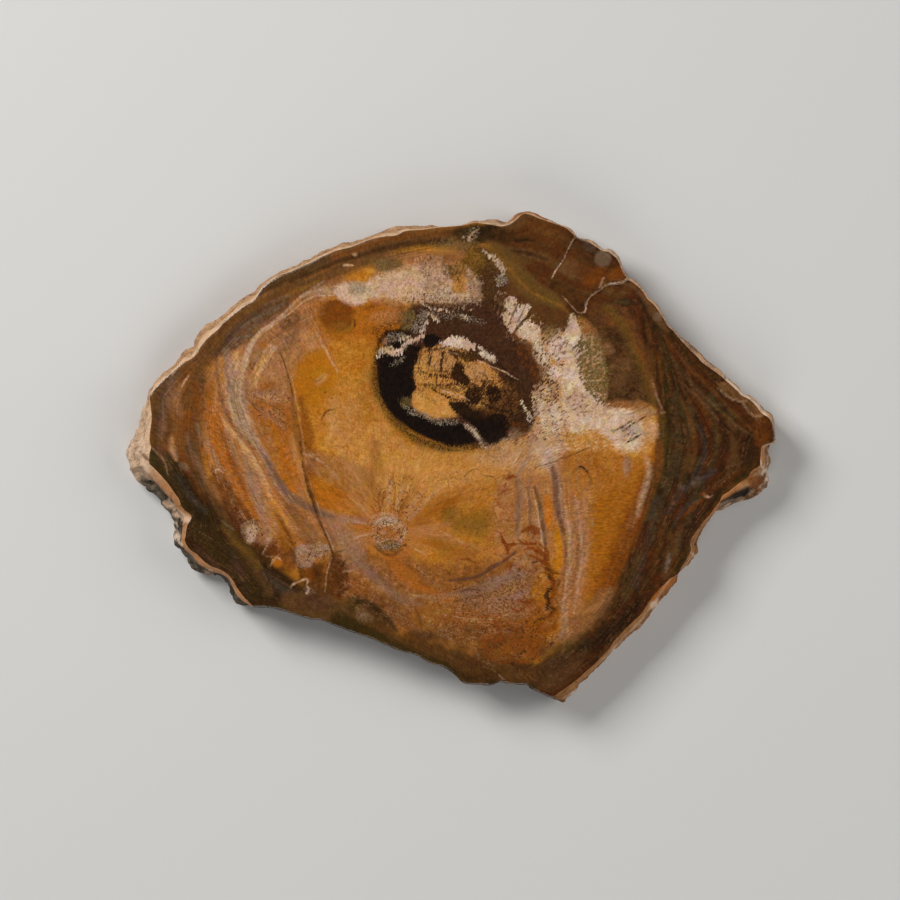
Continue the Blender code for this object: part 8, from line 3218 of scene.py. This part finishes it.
class RindPainter:
    """Works out the rind's looks at the wall's points: a smooth ribbon, then the rough wall below it."""

    RIBBON_FADE = 2.0
    RIBBON_LIGHT = 1.12
    RIBBON_DARK = 0.72
    RELIEF_RISE = 3
    RIBBON_RELIEF = 0.12

    def __init__(self, slab: Slab, canvas: Canvas) -> None:
        """Prepares the wall's rows and looks.

        Args:
            slab: The slab's points.
            canvas: The painted points.
        """
        self.slab, self.canvas = slab, canvas
        self.row = np.repeat(np.arange(slab.rows), slab.rim_count)
        self.deep = self.on_wall(np.clip((self.row - Wall.ribbon_rows) / Wall.wall_rows, 0.0, 1.0))
        self.ribbon = self.on_wall(np.clip((Wall.ribbon_rows + 1.5 - self.row) / self.RIBBON_FADE, 0.0, 1.0))
        self.looks = self.swayed_looks()

    def on_wall(self, values: np.ndarray) -> np.ndarray:
        """Returns values for the wall's points with zeros for the rest of the mesh."""
        found = np.zeros((len(self.slab.verts), *values.shape[1:]))
        found[:len(values)] = values
        return found

    def swayed_looks(self) -> np.ndarray:
        """Returns the rim's looks at each point, taken further along the rim the deeper it lies."""
        count, rinds, canvas = self.slab.rim_count, self.slab.rim.rinds, self.canvas
        sway = canvas.grain.at(canvas.x / Sway.rim_size + 3.0, canvas.y / Sway.rim_size,
                               Sway.rim_turns * self.deep, octaves=2)
        shift = (Sway.rim_share * count * self.deep * sway)[:len(self.row)].astype(int)
        column = np.tile(np.arange(count), self.slab.rows)
        looks = rinds[column]
        for part in (Rind.ROUGH_WALL, Rind.COVER):
            looks[:, part] = rinds[(column + shift) % count, part]
        return self.on_wall(looks)

    def paint(self) -> None:
        """Lays the rind's two grounds, its chips and its painted highlights and shade on the canvas."""
        canvas, share = self.canvas, self.ribbon[:, None]
        for axis, seat in enumerate((3.0, 60.0)):
            sway = canvas.grain.at(canvas.x / Sway.size + seat, canvas.y / Sway.size,
                                   Sway.turns * self.deep, octaves=2)
            for places in (canvas.shaken, canvas.close):
                places[axis] = places[axis] + Sway.reach * self.deep * sway
        ribbon = self.looks[:, Rind.RIBBON] * share
        canvas.light = self.looks[:, Rind.LIGHT] * (1.0 - share) + self.RIBBON_LIGHT * ribbon
        canvas.dark = self.looks[:, Rind.DARK] * (1.0 - share) + self.RIBBON_DARK * ribbon
        for wash in RIND_WASHES:
            canvas.wash(wash)

    def relief(self) -> np.ndarray:
        """Returns how strongly the wall's fine relief shows at each point, from little on the ribbon."""
        last, low = self.slab.rows - 1, Wall.ribbon_rows
        stops = (0, low, low + self.RELIEF_RISE, last - 2, last)
        weight = np.interp(self.row, stops, (0.0, self.RIBBON_RELIEF, 1.0, 1.0, 0.0))
        return self.on_wall(weight) * self.looks[:, Rind.GRIT]


@dataclass
class StoneSlab:
    """The piece that stands for the slab: its mesh, what is painted on it and its materials."""

    name: str = "petrified_wood_slab"

    def build(self) -> bpy.types.Object:
        """Builds the piece and returns its object."""
        dents = tuple((*Photo.to_millimetres(x, y), radius, depth) for x, y, radius, depth in DENTS)
        lines = tuple(points for mineral in MINERALS for points in mineral.fine_lines())
        slab = Slab(fine_lines=lines, dents=dents)
        mesh = slab.to_mesh(self.name)
        LOG.info("%s: %d points, %d faces", self.name, len(slab.verts), len(slab.faces))
        self.weather(mesh, slab, self.paint(mesh, slab))
        piece = bpy.data.objects.new(self.name, mesh)
        bpy.context.scene.collection.objects.link(piece)
        shaders = StoneShaders(MINERALS)
        Weathering().apply(piece, (shaders.polished(), shaders.weathered(), shaders.sawn()))
        triangles = len(piece.data.loops) - 2 * len(piece.data.polygons)
        LOG.info("%s: %d triangles", self.name, triangles)
        return piece

    @staticmethod
    def paint(mesh: bpy.types.Mesh, slab: Slab) -> Canvas:
        """Paints the ground and the minerals on the mesh, and returns the canvas.

        Args:
            mesh: The slab's mesh.
            slab: The slab's points.
        """
        x, y = Photo.to_pixels(slab.verts[:, 0], slab.verts[:, 1])
        outline = np.column_stack(Photo.to_pixels(*slab.rim.face[::OUTLINE_STEP].T))
        curves = tuple(smooth_path(points, closed=True, steps=3) for points in RING_LINES)
        canvas = Canvas(x, y, outline, curves, PITH)
        for wash in WASHES:
            if isinstance(wash, Bands):
                canvas.bands(wash)
            else:
                canvas.wash(wash)
        store(mesh, "ground_light", canvas.light)
        store(mesh, "ground_dark", canvas.dark)
        store(mesh, "grain", canvas.weights)
        store(mesh, "ring", canvas.ring, "FLOAT")
        store(mesh, "grit", canvas.grit, "FLOAT")
        for mineral in MINERALS:
            store(mesh, mineral.name, canvas.layer(mineral))
            LOG.info("mineral %s: %d marks", mineral.name, len(mineral.marks))
        return canvas

    @staticmethod
    def weather(mesh: bpy.types.Mesh, slab: Slab, canvas: Canvas) -> None:
        """Stores the rind's looks and the weights of its relief on the mesh.

        Args:
            mesh: The slab's mesh.
            slab: The slab's points.
            canvas: The painted points.
        """
        rind = RindPainter(slab, canvas)
        rind.paint()
        store(mesh, "rind_light", canvas.light)
        store(mesh, "rind_dark", canvas.dark)
        store(mesh, "rind_cover", rind.looks[:, Rind.COVER], "FLOAT")
        store(mesh, "ribbon", rind.ribbon, "FLOAT")
        store(mesh, "outward", rind.on_wall(np.column_stack([
            np.tile(slab.rim.out, (slab.rows, 1)), np.zeros(len(rind.row))])))
        store(mesh, "relief_weight", rind.relief(), "FLOAT")
        store(mesh, "surface", slab.parts, "INT", "FACE")


@dataclass(frozen=True)
class Lamp:
    """A square lamp that faces the slab: its place and side in metres and its power in watts."""

    name: str
    place: tuple[float, float, float]
    size: float
    power: float

    def hang(self) -> None:
        """Makes the lamp."""
        light = bpy.data.lights.new(self.name, "AREA")
        light.shape = "SQUARE"
        light.size = self.size
        light.energy = self.power
        lamp = bpy.data.objects.new(self.name, light)
        lamp.location = self.place
        lamp.rotation_euler = (-Vector(self.place)).to_track_quat("-Z", "Y").to_euler()
        bpy.context.scene.collection.objects.link(lamp)


LAMPS = (
    Lamp("main lamp", (-0.75, 0.65, 0.85), size=0.6, power=15.9),
    Lamp("right fill", (1.05, 0.15, 0.75), size=0.9, power=6.6),
    Lamp("near fill", (-0.1, -1.1, 0.75), size=0.9, power=5.6),
)


@dataclass(frozen=True)
class Studio:
    """A pale floor, soft lamps and the camera that looks straight down, as the photograph does."""

    look_at: Point = (450.0, 450.0)
    frame_width: float = 0.27
    height: float = 2.4
    floor_size: float = 4.0
    floor_gap: float = 0.0002
    floor_tint: Colour = (0.62, 0.61, 0.59)
    floor_roughness: float = 0.95
    surround: float = 0.05

    def build(self) -> None:
        """Builds the studio."""
        self.floor()
        for lamp in LAMPS:
            lamp.hang()
        self.world()
        self.camera()

    def floor(self) -> None:
        """Makes the floor, a hair below the slab."""
        size = self.floor_size
        mesh = bpy.data.meshes.new("floor")
        mesh.from_pydata([(-size, -size, 0), (size, -size, 0), (size, size, 0), (-size, size, 0)], [],
                         [(0, 1, 2, 3)])
        material, graph, surface = StoneShaders.start("pale floor")
        graph.feed(surface.inputs["Base Color"], self.floor_tint)
        graph.feed(surface.inputs["Roughness"], self.floor_roughness)
        mesh.materials.append(material)
        floor = bpy.data.objects.new("floor", mesh)
        floor.location.z = -self.floor_gap
        bpy.context.scene.collection.objects.link(floor)

    def world(self) -> None:
        """Makes an even, dim surround."""
        world = bpy.data.worlds.new("studio")
        world.use_nodes = True
        surround = world.node_tree.nodes["Background"]
        surround.inputs["Color"].default_value = (1.0, 1.0, 1.0, 1.0)
        surround.inputs["Strength"].default_value = self.surround
        bpy.context.scene.world = world

    def camera(self) -> None:
        """Makes the camera over the middle of the photograph's frame."""
        x, y = Photo.to_millimetres(*self.look_at)
        data = bpy.data.cameras.new("camera")
        data.lens = data.sensor_width * self.height / self.frame_width
        camera = bpy.data.objects.new("camera", data)
        camera.location = (x * MM, y * MM, self.height + THICKNESS * MM)
        bpy.context.scene.collection.objects.link(camera)
        bpy.context.scene.camera = camera
        bpy.context.scene.view_settings.view_transform = "Standard"


def main() -> None:
    """Builds the scene."""
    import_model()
    logging.basicConfig(level=logging.INFO, format="%(name)s: %(message)s")
    piece = StoneSlab().build()
    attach(piece, "root")
    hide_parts(NODE)
    Studio().build()


if __name__ == "__main__":
    main()
